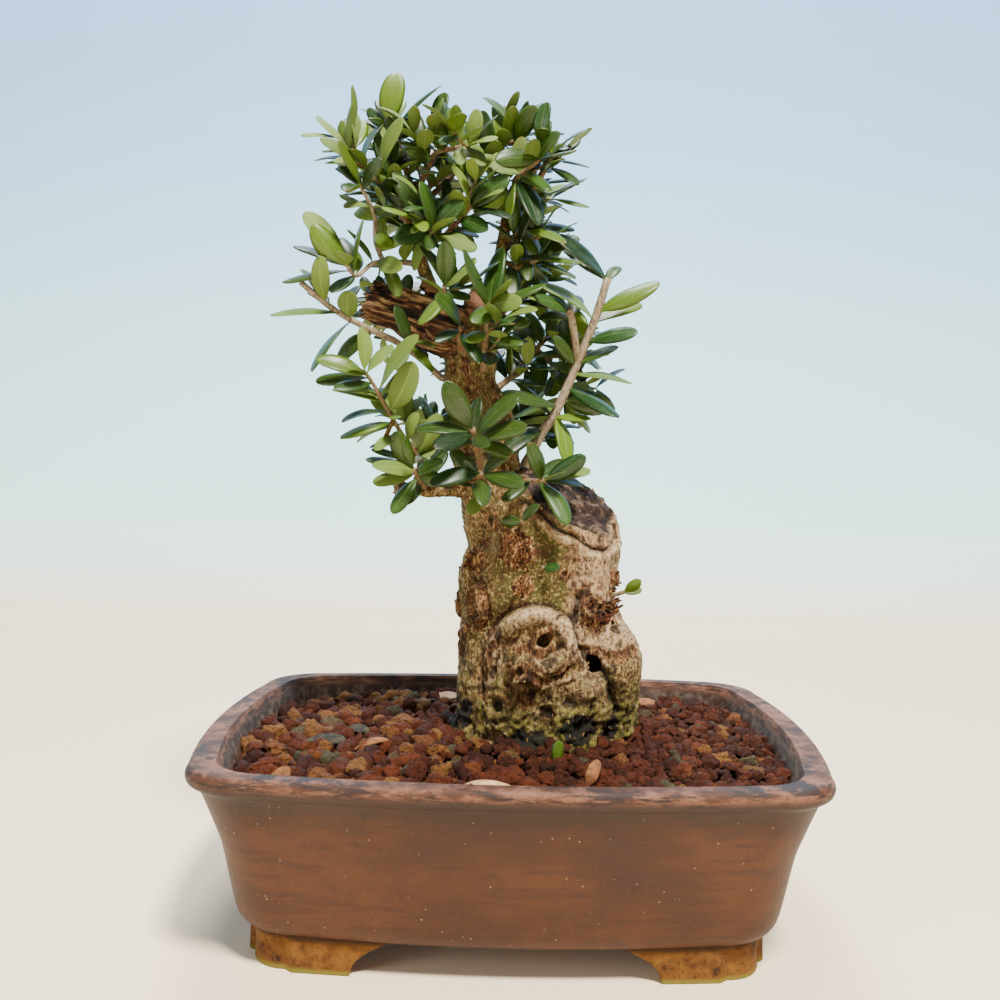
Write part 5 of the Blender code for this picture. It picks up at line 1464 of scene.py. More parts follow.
class Relief:
    """Bark relief and marks of the trunk at many points of its surface."""

    def __init__(self, points: np.ndarray, normals: np.ndarray, piece: bpy.types.Object) -> None:
        """Keeps the points, their normals and the smooth surface, all in millimetres."""
        self.points = points
        self.normals = normals
        self.surface = Surface(piece.data)
        self.relief = np.zeros(len(points))
        # dark gathers painted shade in holes, grooves and creases; pale gathers pale bark and painted highlights on
        # ridges and swellings.
        self.dark = np.zeros(len(points))
        self.pale = np.zeros(len(points))
        self.rust = np.zeros(len(points))
        self.soot = np.zeros(len(points))
        self.wobble = noise_at(points, 2.4, shift=31.0)
        self.shiver = noise_at(points, 0.9, shift=37.0)

    def place(self, side: Side, across: float, height: float) -> np.ndarray:
        """The surface's place seen from a side."""
        return np.array(self.surface.met(side, across, height)[0])

    def plane_share(self, cut: tuple) -> tuple[np.ndarray, np.ndarray]:
        """Height over a sawn plane, and how squarely the surface faces along it."""
        normal = np.array(Vector(cut[1]).normalized())
        return (self.points - np.array(cut[0])) @ normal, self.normals @ normal

    def away(self, side: Side, across: float, height: float, tall: float) -> np.ndarray:
        """Distance from a place on the surface, shorter upward by a factor, with an uneven edge."""
        middle = self.place(side, across, height)
        away = np.linalg.norm((self.points - middle) / np.array([1.0, 1.0, tall]), axis=1)
        return away * (1.0 + 0.14 * self.wobble + 0.10 * self.shiver)

    def put_knot(self, knot: Knot) -> None:
        """Presses one knot: creased ring, raised rim and hole, with painted shade in the hole, the groove round the
        ring and the creases, and a pale ring with a painted highlight on its crest.
        """
        away = self.away(knot.side, knot.across, knot.height, knot.tall)
        near = np.exp(-(((away - knot.ring) / (0.24 * knot.ring)) ** 2))
        self.relief += 1.6 * knot.swell * near
        outside = np.exp(-(((away - 1.45 * knot.ring) / (0.14 * knot.ring)) ** 2))
        self.relief -= 0.7 * knot.swell * outside
        # Painted shade in the groove round the ring.
        self.dark = np.maximum(self.dark, 0.6 * knot.dark * outside * risen(self.wobble, -0.5, 0.2))
        # Pale ring, partly a painted highlight.
        self.pale = np.maximum(self.pale, knot.pale * near)
        creases = np.sin(2.0 * math.pi * away / 1.1) * np.exp(-(((away - 0.8 * knot.ring) / (0.6 * knot.ring)) ** 2))
        self.relief += 0.14 * creases
        # Painted shade in the creases.
        self.dark = np.maximum(self.dark, 0.35 * risen(creases, 0.1, 0.8) * risen(away, 1.6 * knot.ring, knot.ring))
        if knot.hole:
            self.relief -= 1.25 * knot.depth * risen(away, 1.15 * knot.hole, 0.5 * knot.hole)
            # Painted shade in the hole.
            self.dark = np.maximum(self.dark, knot.dark * risen(away, 1.15 * knot.hole, 0.7 * knot.hole))
        band = risen(away, 1.55 * knot.ring, 1.2 * knot.ring) * risen(away, 0.62 * knot.ring, 0.92 * knot.ring)
        if knot.hole:
            band = np.maximum(band, 0.8 * risen(away, 0.9 * knot.hole, 0.0))
        self.rust = np.maximum(self.rust, knot.rust * band)
        # Painted highlight on the ring's crest.
        crest = np.exp(-(((away - 0.8 * knot.ring) / (0.13 * knot.ring)) ** 2))
        self.pale = np.maximum(self.pale, 0.8 * crest * risen(self.shiver, -0.4, 0.1))

    def put_spot(self, spot: Spot) -> None:
        """Adds one soft swelling or stain. Pale on a swelling is partly pale bark and partly a painted highlight."""
        away = self.away(spot.side, spot.across, spot.height, spot.tall)
        self.relief += spot.rise * np.exp(-((away / (0.85 * spot.radius)) ** 2))
        share = risen(away, 1.35 * spot.radius, 0.6 * spot.radius)
        self.soot = np.maximum(self.soot, spot.soot * share)
        self.rust = np.maximum(self.rust, spot.rust * share)
        # Pale, partly a painted highlight on the swelling.
        self.pale = np.maximum(self.pale, spot.pale * share)

    def put_stroke(self, stroke: Stroke) -> None:
        """Presses one ridge or groove, with painted shade in a groove and pale bark, partly a painted highlight, on a
        ridge.
        """
        fine = smooth_route([Vector((x, 0.0, z)) for x, z in stroke.route], 4)
        line = [self.place(Side.FRONT, point.x, point.z) for point in fine]
        away = away_from_line(self.points, line) * (1.0 + 0.22 * self.wobble)
        width = stroke.width * (1.0 + 0.3 * self.shiver)
        share = np.exp(-((away / width) ** 2))
        self.relief += stroke.rise * share
        # Painted shade in the groove.
        self.dark = np.maximum(self.dark, stroke.dark * risen(share, 0.25, 0.8))
        self.rust = np.maximum(self.rust, stroke.rust * risen(share, 0.05, 0.5))
        # Pale on the ridge, partly a painted highlight.
        self.pale = np.maximum(self.pale, stroke.pale * risen(share, 0.15, 0.7))

    def put_stump(self) -> tuple[np.ndarray, np.ndarray, np.ndarray]:
        """Furrows of the dead stump along its grain.

        Returns:
            Share of being on the stump, places along its fibres, and depth in the furrows, where shade is painted.
        """
        start, end = np.array(DEAD_STUMP[1][:3]), np.array(DEAD_STUMP[-1][:3])
        length = np.linalg.norm(end - start)
        axis = (end - start) / length
        up = np.cross(axis, (0.0, 1.0, 0.0))
        up /= np.linalg.norm(up)
        side = np.cross(up, axis)
        local = self.points - start
        along = local @ axis
        flat = np.stack([local @ side, local @ up], axis=1)
        dead = risen(np.linalg.norm(flat, axis=1), 9.0, 7.4) * risen(along, -3.0, 1.0)
        bend = 0.9 * noise_at(self.points, 6.0, shift=17.0)
        fibre = np.stack([along * 0.11 + 0.4 * bend, flat[:, 0] + bend, flat[:, 1] + bend], axis=1)
        furrow = noise_at(fibre, 2.6)
        thread = noise_at(fibre, 1.0, shift=3.0)
        end_share = risen(along, length - STUMP_END, length)
        splinter = noise_at(fibre * np.array([0.2, 1.0, 1.0]), 1.1, shift=8.0)
        self.relief += dead * (1.5 * furrow + 0.9 * thread + end_share * (2.2 * splinter - 0.6))
        return dead, fibre, risen(furrow + 0.5 * thread, -0.12, -0.45) * dead

    def worked(self) -> tuple[np.ndarray, dict[str, np.ndarray]]:
        """Works out relief and marks.

        Returns:
            Height over the smooth surface at each point, and the marks by name.
        """
        points = self.points
        x, y, z = points.T
        over_cut, facing = self.plane_share(SHOULDER_CUT)
        right = risen(x, 0.5, 3.5) * risen(z, 84.0, 89.0)
        wound = risen(over_cut, -1.0, -0.35) * risen(facing, 0.45, 0.8) * right
        over_crown, facing_crown = self.plane_share(CROWN_CUT)
        near_crown = np.linalg.norm(points - np.array(CROWN_CUT[0]), axis=1) < 8.0
        sawn = risen(over_crown, -0.7, -0.3) * risen(facing_crown, 0.6, 0.85) * near_crown
        dead, fibre, furrows = self.put_stump()
        above_soil = risen(z, 40.5, 43.0)
        thick = risen(z, 160.0, 128.0) * 0.75 + 0.25
        living = above_soil * (1.0 - wound) * (1.0 - sawn) * (1.0 - dead) * thick
        front = risen(y, 16.0, 2.0)
        smooth_side = risen(x, -7.0, -2.0) * risen(x, 16.0, 12.0) * risen(z, 68.0, 76.0) * risen(z, 104.0, 96.0)
        upper = risen(z, 112.0, 122.0)
        rough = np.clip(1.0 - front * smooth_side - 0.75 * upper + 0.4 * self.wobble, 0.0, 1.0)
        dry = risen(x, 12.5, 16.0) * risen(z, 60.0, 68.0) * risen(z, 104.0, 96.0)
        broad = noise_at(points, 6.5, (1.0, 1.0, 0.7))
        middle = noise_at(points, 2.4, (1.0, 1.0, 0.8), 7.3)
        small = noise_at(points, 1.2, (1.0, 1.0, 0.85), 3.1)
        ridged = 1.0 - np.abs(noise_at(points, 3.0, (1.0, 1.0, 0.6), 11.0)) * 2.4
        texture = 0.40 * middle + 0.34 * small + 0.30 * ridged - 0.25
        self.relief += living * (0.7 * broad + (0.22 + 0.65 * rough) * texture)
        low = risen(z, 60.0, 47.0)
        knobs = noise_at(points, 3.6, (1.0, 1.0, 0.5), 5.0)
        self.relief += living * low * (0.9 * broad + 1.1 * knobs + 0.5 * small)
        self.relief += wound * (0.75 * noise_at(points, 2.6, shift=2.0) + 0.35 * self.shiver - 0.4)
        step = risen(0.34 * x - 0.5 * y - 0.25 * (z - 96.0), 2.0, 3.2)
        self.relief += wound * (0.4 - 1.3 * step)
        lobe = self.place(Side.FRONT, *WOUND_LOBE)
        away = np.linalg.norm(points - lobe, axis=1) * (1.0 + 0.1 * self.wobble)
        rings = (0.5 + 0.5 * np.sin(2.0 * math.pi * away / 1.25)) * risen(away, 5.4, 4.2) * wound
        self.relief += wound * (1.1 * risen(away, 5.2, 3.8) + 0.18 * rings)
        self.relief += sawn * 0.2 * self.shiver
        for knot in KNOTS:
            self.put_knot(knot)
        for spot in SPOTS:
            self.put_spot(spot)
        for stroke in STROKES:
            self.put_stroke(stroke)
        self.relief += np.clip(self.rust, 0.0, 1.0) * 0.5 * self.shiver * above_soil
        self.relief += self.soot * 0.9 * noise_at(points, 1.7, shift=1.0) * above_soil
        # Painted highlight on the crests of the relief, on the front of the lower trunk.
        crest = risen(texture * (0.3 + 0.7 * rough) + 0.35 * low * knobs, 0.10, 0.42) * front
        self.pale = np.maximum(self.pale, 0.75 * crest * risen(z, 92.0, 72.0) * living)
        moss = risen(z, 72.0, 54.0) * (0.35 + 0.5 * broad) + risen(z, 56.0, 44.0) * 0.45
        foot = risen(z, 54.0, 43.5) * np.clip(0.42 + 0.8 * middle, 0.0, 1.0)
        self.rust = np.maximum(self.rust, 0.6 * foot * risen(small, -0.1, 0.3))
        self.soot = np.maximum(self.soot, 0.42 * foot)
        moss = np.clip(moss, 0.0, 1.0) * (1.0 - dead)
        # Painted shade in the hollows of the relief, the stump's furrows and the wound's pits.
        deep = risen(texture * (0.3 + 0.7 * rough) + 0.4 * low * knobs, -0.22, -0.5)
        hollow_shade = np.maximum(deep * living, furrows)
        wound_pit_shade = risen(noise_at(points, 2.6, shift=2.0), -0.05, -0.35)
        hollow_shade = np.maximum(hollow_shade, wound * wound_pit_shade * 0.8)
        marks = {
            "woods": np.stack([wound, dead, sawn], axis=1),
            "stains": np.stack([moss, self.soot, self.rust * (1.0 - wound)], axis=1),
            "painted_shade_and_pale": np.stack([self.dark * above_soil, np.clip(self.pale, 0.0, 1.0), hollow_shade], axis=1),
            "bark_kinds": np.stack([rough, dry, rings], axis=1),
            "fibre": fibre,
        }
        return self.relief * above_soil, marks


def is_inside(point: Vector, tree: BVHTree) -> bool:
    """True where a ray from the point crosses the solid's surface an odd number of times."""
    crossings = 0
    place = tree.ray_cast(point, RAY)[0]
    while place is not None:
        crossings += 1
        place = tree.ray_cast(place + RAY * RAY_STEP, RAY)[0]
    return crossings % 2 == 1


def clearance_to(point: Vector, trees: Sequence[BVHTree]) -> float:
    """How far a point stands outside the nearest of the solids, negative inside one."""
    return min(
        -tree.find_nearest(point)[3] if is_inside(point, tree) else tree.find_nearest(point)[3] for tree in trees
    )


def tree_of(mesh: bpy.types.Mesh) -> BVHTree:
    """A search tree over a mesh, in millimetres."""
    return BVHTree.FromPolygons([v.co / MM for v in mesh.vertices], [p.vertices[:] for p in mesh.polygons])


def place_on(route: Sequence[Vector], share: float) -> tuple[Vector, Vector]:
    """Point and direction at a share of a route's length."""
    total = sum((b - a).length for a, b in zip(route, route[1:]))
    left = share * total
    for start, end in zip(route, route[1:]):
        span = (end - start).length
        if left <= span + 1e-6:
            return start.lerp(end, left / span), (end - start).normalized()
        left -= span
    return route[-1].copy(), (route[-1] - route[-2]).normalized()


class Blade(NamedTuple):
    """A leaf blade: foot, tip, upward normal, greatest width and how far its middle arches."""

    foot: Vector
    tip: Vector
    normal: Vector
    width: float
    arch: float


class Placed(NamedTuple):
    """A solid already in place, with its shoot, its search tree and a ball that holds it."""

    shoot: str
    tree: BVHTree
    centre: Vector
    radius: float


TWIGLET_PITCH = 6.0
CROWN_MIDDLE = Vector((-12.0, 9.0, 140.0))
SPARSE = ("twig_right", "twig_left", "low_left", "low_right", "branch_left")
# Bare wood that small leaves leave in sight: stations of its middle line, and half width kept clear
CLEAR_OF_STUMP = 5.5
CLEAR_OF_STEM = 3.6
CLEAR_OF_TWIG = 2.4


@dataclass
class Placing:
    """Finds where every blade stands, clear of what is already there, in the same way as for the solids."""

    grown: list = field(default_factory=list)
    placed: list[Placed] = field(default_factory=list)
    blades: dict[str, list[Blade]] = field(default_factory=dict)
    extra: dict[str, list] = field(default_factory=dict)
    clearings: list = field(default_factory=list)

    def seated_route(self, route: Sequence, radius: float, trees: Sequence[BVHTree]) -> list[Vector]:
        """The route from the first place where the twig's foot stands a seat's gap clear of the trunk."""
        route = [Vector(point) for point in route]
        fine = []
        for start, end in zip(route, route[1:]):
            steps = max(1, int((end - start).length / 0.1))
            fine += [start.lerp(end, k / steps) for k in range(steps)]
        fine.append(route[-1])
        for k, point in enumerate(fine[:-1]):
            direction = (fine[k + 1] - point).normalized()
            side = direction.orthogonal().normalized() * radius
            turns = [Matrix.Rotation(2 * math.pi * j / RIM_POINTS, 3, direction) for j in range(RIM_POINTS)]
            rim = [point] + [point + turn @ side for turn in turns]
            if min(clearance_to(place, trees) for place in rim) >= SEAT_GAP:
                return [point] + self.rest_of(route, point)
        return route

    @staticmethod
    def rest_of(route: Sequence[Vector], point: Vector) -> list[Vector]:
        """The route's own points that come after a place on it."""
        lengths = [0.0]
        for start, end in zip(route, route[1:]):
            lengths.append(lengths[-1] + (end - start).length)
        best, here, travelled = 1e9, 0.0, 0.0
        for start, end in zip(route, route[1:]):
            span = end - start
            share = min(1.0, max(0.0, (point - start).dot(span) / span.length_squared))
            away = (start + span * share - point).length
            if away < best:
                best, here = away, travelled + span.length * share
            travelled += span.length
        return [place for place, length in zip(route, lengths) if length > here + 0.6]

    @staticmethod
    def coarse_blade(blade: Blade, clearance: float, start: float) -> BVHTree:
        """A search tree over the plain faceted blade of the solids.

        Args:
            blade: The blade.
            clearance: Room added on every side, in millimetres.
            start: Share of the length that is left off at the foot.

        Returns:
            The tree.
        """
        length = (blade.tip - blade.foot).length
        outline = LARGE_OUTLINE if length > LARGE_BLADE else SMALL_OUTLINE
        axis = (blade.tip - blade.foot).normalized()
        across = axis.cross(blade.normal).normalized()
        bm = bmesh.new()
        bmesh.ops.create_grid(bm, x_segments=len(outline) - 1, y_segments=1, size=0.5)
        for vertex in bm.verts:
            share, half = outline[round((vertex.co.x + 0.5) * (len(outline) - 1))]
            share = start + (1.0 - start) * share
            reach = half * blade.width / 2 + clearance
            rise = blade.arch * length * math.sin(math.pi * share)
            middle = blade.foot + axis * (length * share) + blade.normal * rise
            vertex.co = middle + across * math.copysign(reach, vertex.co.y)
        bmesh.ops.remove_doubles(bm, verts=bm.verts, dist=0.01)
        thick = BLADE_THICKNESS + 2 * clearance
        bmesh.ops.triangulate(bm, faces=bm.faces)
        bmesh.ops.translate(bm, verts=bm.verts, vec=blade.normal * thick / 2)
        bmesh.ops.solidify(bm, geom=bm.faces, thickness=thick)
        tree = BVHTree.FromBMesh(bm)
        bm.free()
        return tree

    @staticmethod
    def facing_blade(foot: Vector, tip: Vector, shown: float, draw: random.Random) -> Blade:
        """A blade turned about its length so that from the front it shows the given width."""
        if (tip - foot).length > BLADE_LONGEST:
            tip = foot + (tip - foot).normalized() * BLADE_LONGEST
        length = (tip - foot).length
        width = min(5.6, max(shown, 2.4, 0.33 * length))
        axis = (tip - foot).normalized()
        front = (-VIEW - axis * axis.dot(-VIEW)).normalized()
        side = axis.cross(front)
        turn = math.acos(min(1.0, shown / width))
        normals = [front * math.cos(turn) + side * math.sin(sign * turn) for sign in (-1, 1)]
        normal = max(normals, key=lambda n: n.z)
        return Blade(foot, tip, normal, width, draw.uniform(0.03, 0.10))

    @staticmethod
    def paired_blades(route: Sequence[Vector], pairs: int, length: float, draw: random.Random) -> list[Blade]:
        """Opposite pairs, each pair turned a quarter about the twig from the last."""
        made = []
        for k in range(pairs):
            share = 0.25 + 0.70 * k / (pairs - 1)
            point, direction = place_on(route, share)
            side = direction.cross(Vector((0.3, 0.2, 1.0))).normalized()
            side = Matrix.Rotation(math.pi / 2 * k + draw.uniform(-0.3, 0.3), 3, direction) @ side
            lean = math.radians(62 - 26 * share)
            for sign in (-1, 1):
                axis = direction * math.cos(lean) + side * sign * math.sin(lean)
                axis = (axis + Vector((0, 0, draw.uniform(-0.05, 0.2)))).normalized()
                size = length * draw.uniform(0.8, 1.1)
                up = (direction + Vector((0, 0, 0.8))) - axis * axis.dot(direction + Vector((0, 0, 0.8)))
                made.append(
                    Blade(point.copy(), point + axis * size, up.normalized(), 0.34 * size, draw.uniform(0.02, 0.09))
                )
        return made

    @staticmethod
    def tries(blade: Blade, scales: Sequence[float] = (1.0, 0.85, 0.72)) -> Iterator[Blade]:
        """The blade itself, then the same blade swung ever further, then shorter ones."""
        yield blade
        for scale in scales:
            for degrees in (8, 16, 24, 32):
                for around in (1, 0):
                    for sign in (-1, 1):
                        axis = (blade.tip - blade.foot).normalized()
                        across = axis.cross(blade.normal)
                        angle = math.radians(sign * degrees)
                        turn = Matrix.Rotation(angle, 3, across if around == 0 else blade.normal)
                        tip = blade.foot + turn @ (blade.tip - blade.foot) * scale
                        normal = (turn @ blade.normal).normalized()
                        yield Blade(blade.foot, tip, normal, blade.width * scale, blade.arch)

    def clear_of(self, blade: Blade, shoot: str, room: float) -> bool:
        """True where the blade keeps its distance from other shoots and meets its own only near its foot."""
        centre, reach = self.ball(blade)
        whole = self.coarse_blade(blade, room, 0.0)
        outer = self.coarse_blade(blade, OWN_CLEARANCE, FREE_SHARE)
        for other in self.placed:
            if (other.centre - centre).length > reach + other.radius:
                continue
            if (outer if other.shoot == shoot else whole).overlap(other.tree):
                return False
        return True

    @staticmethod
    def ball(blade: Blade) -> tuple[Vector, float]:
        """Centre and radius of a ball that holds the blade."""
        return (blade.foot + blade.tip) / 2, (blade.tip - blade.foot).length / 2 + BALL_MARGIN

    @staticmethod
    def leaf_feet(routes: Sequence, chosen: Sequence[Leaf]) -> list[Vector]:
        """Each leaf's foot on its twig's middle line. Those of a tuft follow one another down from the tip."""
        feet = []
        crowded: dict[int, int] = {}
        for leaf in chosen:
            point, direction = place_on(routes[leaf.twig], leaf.along)
            if leaf.along > TUFT_FROM:
                rank = crowded.get(leaf.twig, 0)
                crowded[leaf.twig] = rank + 1
                point = place_on(routes[leaf.twig], 1.0)[0] - direction * (TIP_SETBACK + TUFT_PITCH * rank)
            feet.append(point)
        return feet

    def keep(self, blade: Blade, shoot: str) -> None:
        """Adds a blade that has found its place."""
        self.blades[shoot].append(blade)
        self.placed.append(Placed(shoot, self.coarse_blade(blade, 0.0, 0.0), *self.ball(blade)))

    def run(self, pieces: Sequence[bpy.types.Mesh]) -> None:
        """Places the twigs of every shoot, then the listed blades, then those grown by rule."""
        trees = [tree_of(mesh) for mesh in pieces]
        self.placed = [Placed("trunk", tree, Vector((0, 10, 100)), 200.0) for tree in trees]
        for shoot in SHOOTS:
            routes = []
            for k, route in enumerate(shoot.twigs):
                first = shoot.radii[0] if k == 0 else SIDE_TWIG_SHARE * shoot.radii[0]
                points = self.seated_route(route, first, trees) if k == 0 else [Vector(p) for p in route]
                radii = [first + (shoot.radii[1] - first) * j / (len(points) - 1) for j in range(len(points))]
                mesh = tube(points, radii, TWIG_DETAIL, shoot.name)
                routes.append(points)
                centre = sum(points, Vector()) / len(points)
                radius = max((point - centre).length for point in points) + 2 * BALL_MARGIN
                self.placed.append(Placed(shoot.name, tree_of(mesh), centre, radius))
            self.grown.append((shoot, routes))
            self.blades[shoot.name] = []
        draw = random.Random(SEED)
        for by_rule in (False, True):
            for shoot, routes in self.grown:
                chosen = [] if by_rule else shoot.leaves
                wanted = [
                    self.facing_blade(foot, Vector(leaf.tip), leaf.shown, draw)
                    for foot, leaf in zip(self.leaf_feet(routes, chosen), chosen)
                ]
                if by_rule and shoot.pairs:
                    wanted = self.paired_blades(routes[0], shoot.pairs, shoot.blade, draw)
                for blade in wanted:
                    found = next((b for b in self.tries(blade) if self.clear_of(b, shoot.name, 0.35)), None)
                    if found:
                        self.keep(found, shoot.name)

    def fill(self, pitch: float, room: float) -> None:
        """Adds the small leaves and twiglets that stand between the large leaves.

        Args:
            pitch: Distance between pairs.
            room: Least distance to other shoots.
        """
        draw = random.Random(SEED + 1)
        self.clearings = [(DEAD_STUMP[1:], CLEAR_OF_STUMP), (UPPER_TRUNK[3:8], CLEAR_OF_STEM)]
        self.clearings.append((UPPER_TRUNK[8:10], CLEAR_OF_TWIG))
        self.clearings += [
            (routes[0], CLEAR_OF_TWIG) for shoot, routes in self.grown if shoot.name in ("twig_right", "twig_left")
        ]
        for shoot, routes in self.grown:
            if shoot.name.startswith("sprout"):
                continue
            sparse = shoot.name in SPARSE
            for route in list(routes):
                self.pairs_along(shoot.name, route, 2.2 * pitch if sparse else pitch, room, (7.5, 12.5), draw)
            if sparse or shoot.name.startswith("rosette"):
                continue
            for route in list(routes):
                for twiglet in self.twiglets(route, draw):
                    self.extra.setdefault(shoot.name, []).append(twiglet)
                    self.pairs_along(shoot.name, twiglet, 2.5, room, (7.0, 11.0), draw)

    def twiglets(self, route: Sequence[Vector], draw: random.Random) -> Iterator[list[Vector]]:
        """Short side twigs of one twig, which turn outward and up."""
        total = sum((b - a).length for a, b in zip(route, route[1:]))
        count = round(total / TWIGLET_PITCH)
        for k in range(count):
            point, direction = place_on(route, (k + draw.uniform(0.3, 0.9)) / max(count, 1) * 0.92 + 0.05)
            outward = point - CROWN_MIDDLE
            outward = Vector((outward.x, outward.y * 0.8, 0.3 * outward.z)).normalized()
            side = Vector([draw.gauss(0.0, 0.6) for _ in range(3)])
            axis = (outward * 0.7 + direction * 0.5 + side + Vector((0.0, 0.0, 0.35))).normalized()
            length = draw.uniform(5.0, 9.5)
            bend = Vector([draw.uniform(-0.12, 0.12) for _ in range(3)]) * length
            twiglet = [point, point + axis * length * 0.5 + bend, point + axis * length + Vector((0, 0, 0.6))]
            tip = twiglet[-1]
            if self.within(Blade(point, tip, axis, 1.0, 0.0)) and self.free_of_trunk(tip):
                yield twiglet

    def free_of_trunk(self, point: Vector) -> bool:
        """True where a point stands well clear of the trunk and its limbs."""
        trees = [other.tree for other in self.placed if other.shoot == "trunk"]
        return clearance_to(point, trees) > 1.5

    def pairs_along(
        self, shoot: str, route: Sequence[Vector], pitch: float, room: float, sizes: tuple, draw: random.Random
    ) -> None:
        """Opposite pairs of leaves along one twig, where there is room for them.

        Args:
            shoot: Name of the shoot.
            route: The twig.
            pitch: Distance between pairs.
            room: Least distance to other shoots.
            sizes: Smallest and largest length.
            draw: Source of their turns and sizes.
        """
        total = sum((b - a).length for a, b in zip(route, route[1:]))
        stations = max(2, round(total / pitch))
        for k in range(stations):
            share = 0.12 + 0.84 * k / (stations - 1)
            point, direction = place_on(route, share)
            start = direction.orthogonal().normalized()
            start = Matrix.Rotation(math.pi / 2 * k + draw.uniform(0.0, 1.2), 3, direction) @ start
            lean = math.radians(draw.uniform(38.0, 68.0) * (1.25 - 0.5 * share))
            for sign in (-1, 1):
                axis = direction * math.cos(lean) + start * sign * math.sin(lean)
                axis = (axis + Vector((0, -0.1, draw.uniform(0.0, 0.35)))).normalized()
                size = draw.uniform(*sizes)
                up = Vector((0, -0.45, 1.0)) - axis * axis.dot(Vector((0, -0.45, 1.0)))
                arch = draw.uniform(0.02, 0.09)
                blade = Blade(point.copy(), point + axis * size, up.normalized(), 0.37 * size, arch)
                found = next((b for b in self.tries(blade, (1.0, 0.8)) if self.clear_of(b, shoot, room)), None)
                if found and self.within(found):
                    self.keep(found, shoot)

    def within(self, blade: Blade) -> bool:
        """True where the blade's tip stays inside the solids' own reach and hides no bare wood."""
        tip = blade.tip
        reach = tip.z < 206.0 and -58.0 < tip.x < 36.0 and -22.0 < tip.y < 40.0 and tip.z > 98.0
        return reach and not any(self.hides(blade, line, half) for line, half in self.clearings)

    @staticmethod
    def hides(blade: Blade, line: Sequence, half: float) -> bool:
        """True where the blade stands in front of a line of bare wood, seen from the front."""
        for share in (0.35, 0.7, 1.0):
            place = blade.foot.lerp(blade.tip, share)
            for start, end in zip(line, line[1:]):
                first, last = Vector(start[:3]), Vector(end[:3])
                span = Vector((last.x - first.x, last.z - first.z))
                offset = Vector((place.x - first.x, place.z - first.z))
                along = min(1.0, max(0.0, offset.dot(span) / span.length_squared))
                if (offset - span * along).length < half and place.y < first.lerp(last, along).y + 1.0:
                    return True
        return False


@dataclass(frozen=True)
class LeafFinish:
    """Leathery leaf: dark glossy top with a fine pale speckle, dull yellow-green underside."""

    dark: Colour = hue("082009")
    mid: Colour = hue("1b3f12")
    fresh: Colour = hue("5f7a1a")
    under: Colour = hue("647a30")
    rib: Colour = hue("84944c")
    speck: Colour = hue("93a985")
    worn: Colour = hue("6e4d24")

    def material(self) -> bpy.types.Material:
        """Builds the material from the marks on the blades."""
        graph = Graph("leaf")
        at = graph.place()
        along, across, top = [graph.axis(graph.mark("blade", 1), k) for k in range(3)]
        tone, young, tired = [graph.axis(graph.mark("habit", 1), k) for k in range(3)]
        edge = abs(across)
        soft = graph.grain(at, 2.4, 2.0)
        colour = graph.mix(self.dark, self.mid, (tone * 0.9 + soft * 0.7 - 0.35).above(0.0, 1.0))
        colour = graph.mix(colour, self.fresh, young)
        specks = graph.cells(at, 0.36).above(0.26, 0.12) * graph.grain(at, 1.5).above(0.36, 0.56)
        colour = graph.mix(colour, self.speck, specks * 0.5)
        rib = graph.node("ShaderNodeMath", {"operation": "DIVIDE"}, {0: edge, 1: 1.3 - along}).above(0.10, 0.04)
        colour = graph.mix(colour, self.rib, rib * (0.05 + 0.18 * tone))
        colour = graph.mix(colour, self.rib, edge.above(0.93, 1.0) * 0.25)
        below = graph.mix(self.under, self.fresh, soft * 0.5)
        below = graph.mix(below, self.mid, (tone * 0.5 + specks * 0.3).above(0.0, 1.0) * 0.6)
        below = graph.mix(below, self.rib, rib * 0.5)
        faces_up = top.above(0.35, 0.65)
        colour = graph.mix(below, colour, faces_up)
        blotch = graph.grain(at, 1.2, 3.0, 0.7).above(0.60, 0.66) * tired
        colour = graph.mix(colour, self.worn, blotch * 0.8)
        colour = graph.mix(colour, self.worn, tired * along.above(0.90, 1.0) * 0.7)
        shine = 0.58 - 0.28 * faces_up + 0.12 * soft + 0.12 * specks
        height = soft * 0.5 - rib * 0.5 * top + specks * 0.15 + graph.grain(at, 0.5, 2.0) * 0.2
        graph.finish(colour, shine, graph.bump(height, 0.12, 0.7), Specular_IOR_Level=0.4)
        return graph.material


@dataclass(frozen=True)
class TwigFinish:
    """Twig bark, orange-brown and green when young, grey-tan when old, with small pale warts."""

    young: Colour = hue("6d5f2c")
    orange: Colour = hue("7c5026")
    old: Colour = hue("94846c")
    groove: Colour = hue("2f1f12")

    def material(self) -> bpy.types.Material:
        """Builds the material from the twig's age mark and noise."""
        graph = Graph("twig")
        at = graph.place()
        age = graph.mark("age")
        patch = graph.grain(at, 2.2, 3.0, 0.6)
        colour = graph.mix(graph.mix(self.young, self.orange, patch.above(0.40, 0.60)), self.old, age)
        grooves = graph.grain(graph.place((1.0, 1.0, 0.35)), 0.5, 3.0, 0.7)
        colour = graph.mix(colour, self.groove, grooves.above(0.50, 0.64) * 0.75)
        warts = graph.cells(at, 0.8).above(0.24, 0.14)
        colour = graph.mix(colour, self.old, warts * 0.5)
        graph.finish(colour, 0.72, graph.bump(warts * 0.5 - grooves, 0.3, 0.8), Specular_IOR_Level=0.35)
        return graph.material


# Bare twigs that were cut back: foot and tip
CUT_TWIGS = [((-3.0, 6.5, 173.0), (7.9, 6.0, 189.5)), ((-30.4, -5.0, 121.8), (-33.6, -4.6, 114.6))]
CUT_TWIG_RADII = (0.65, 0.5)

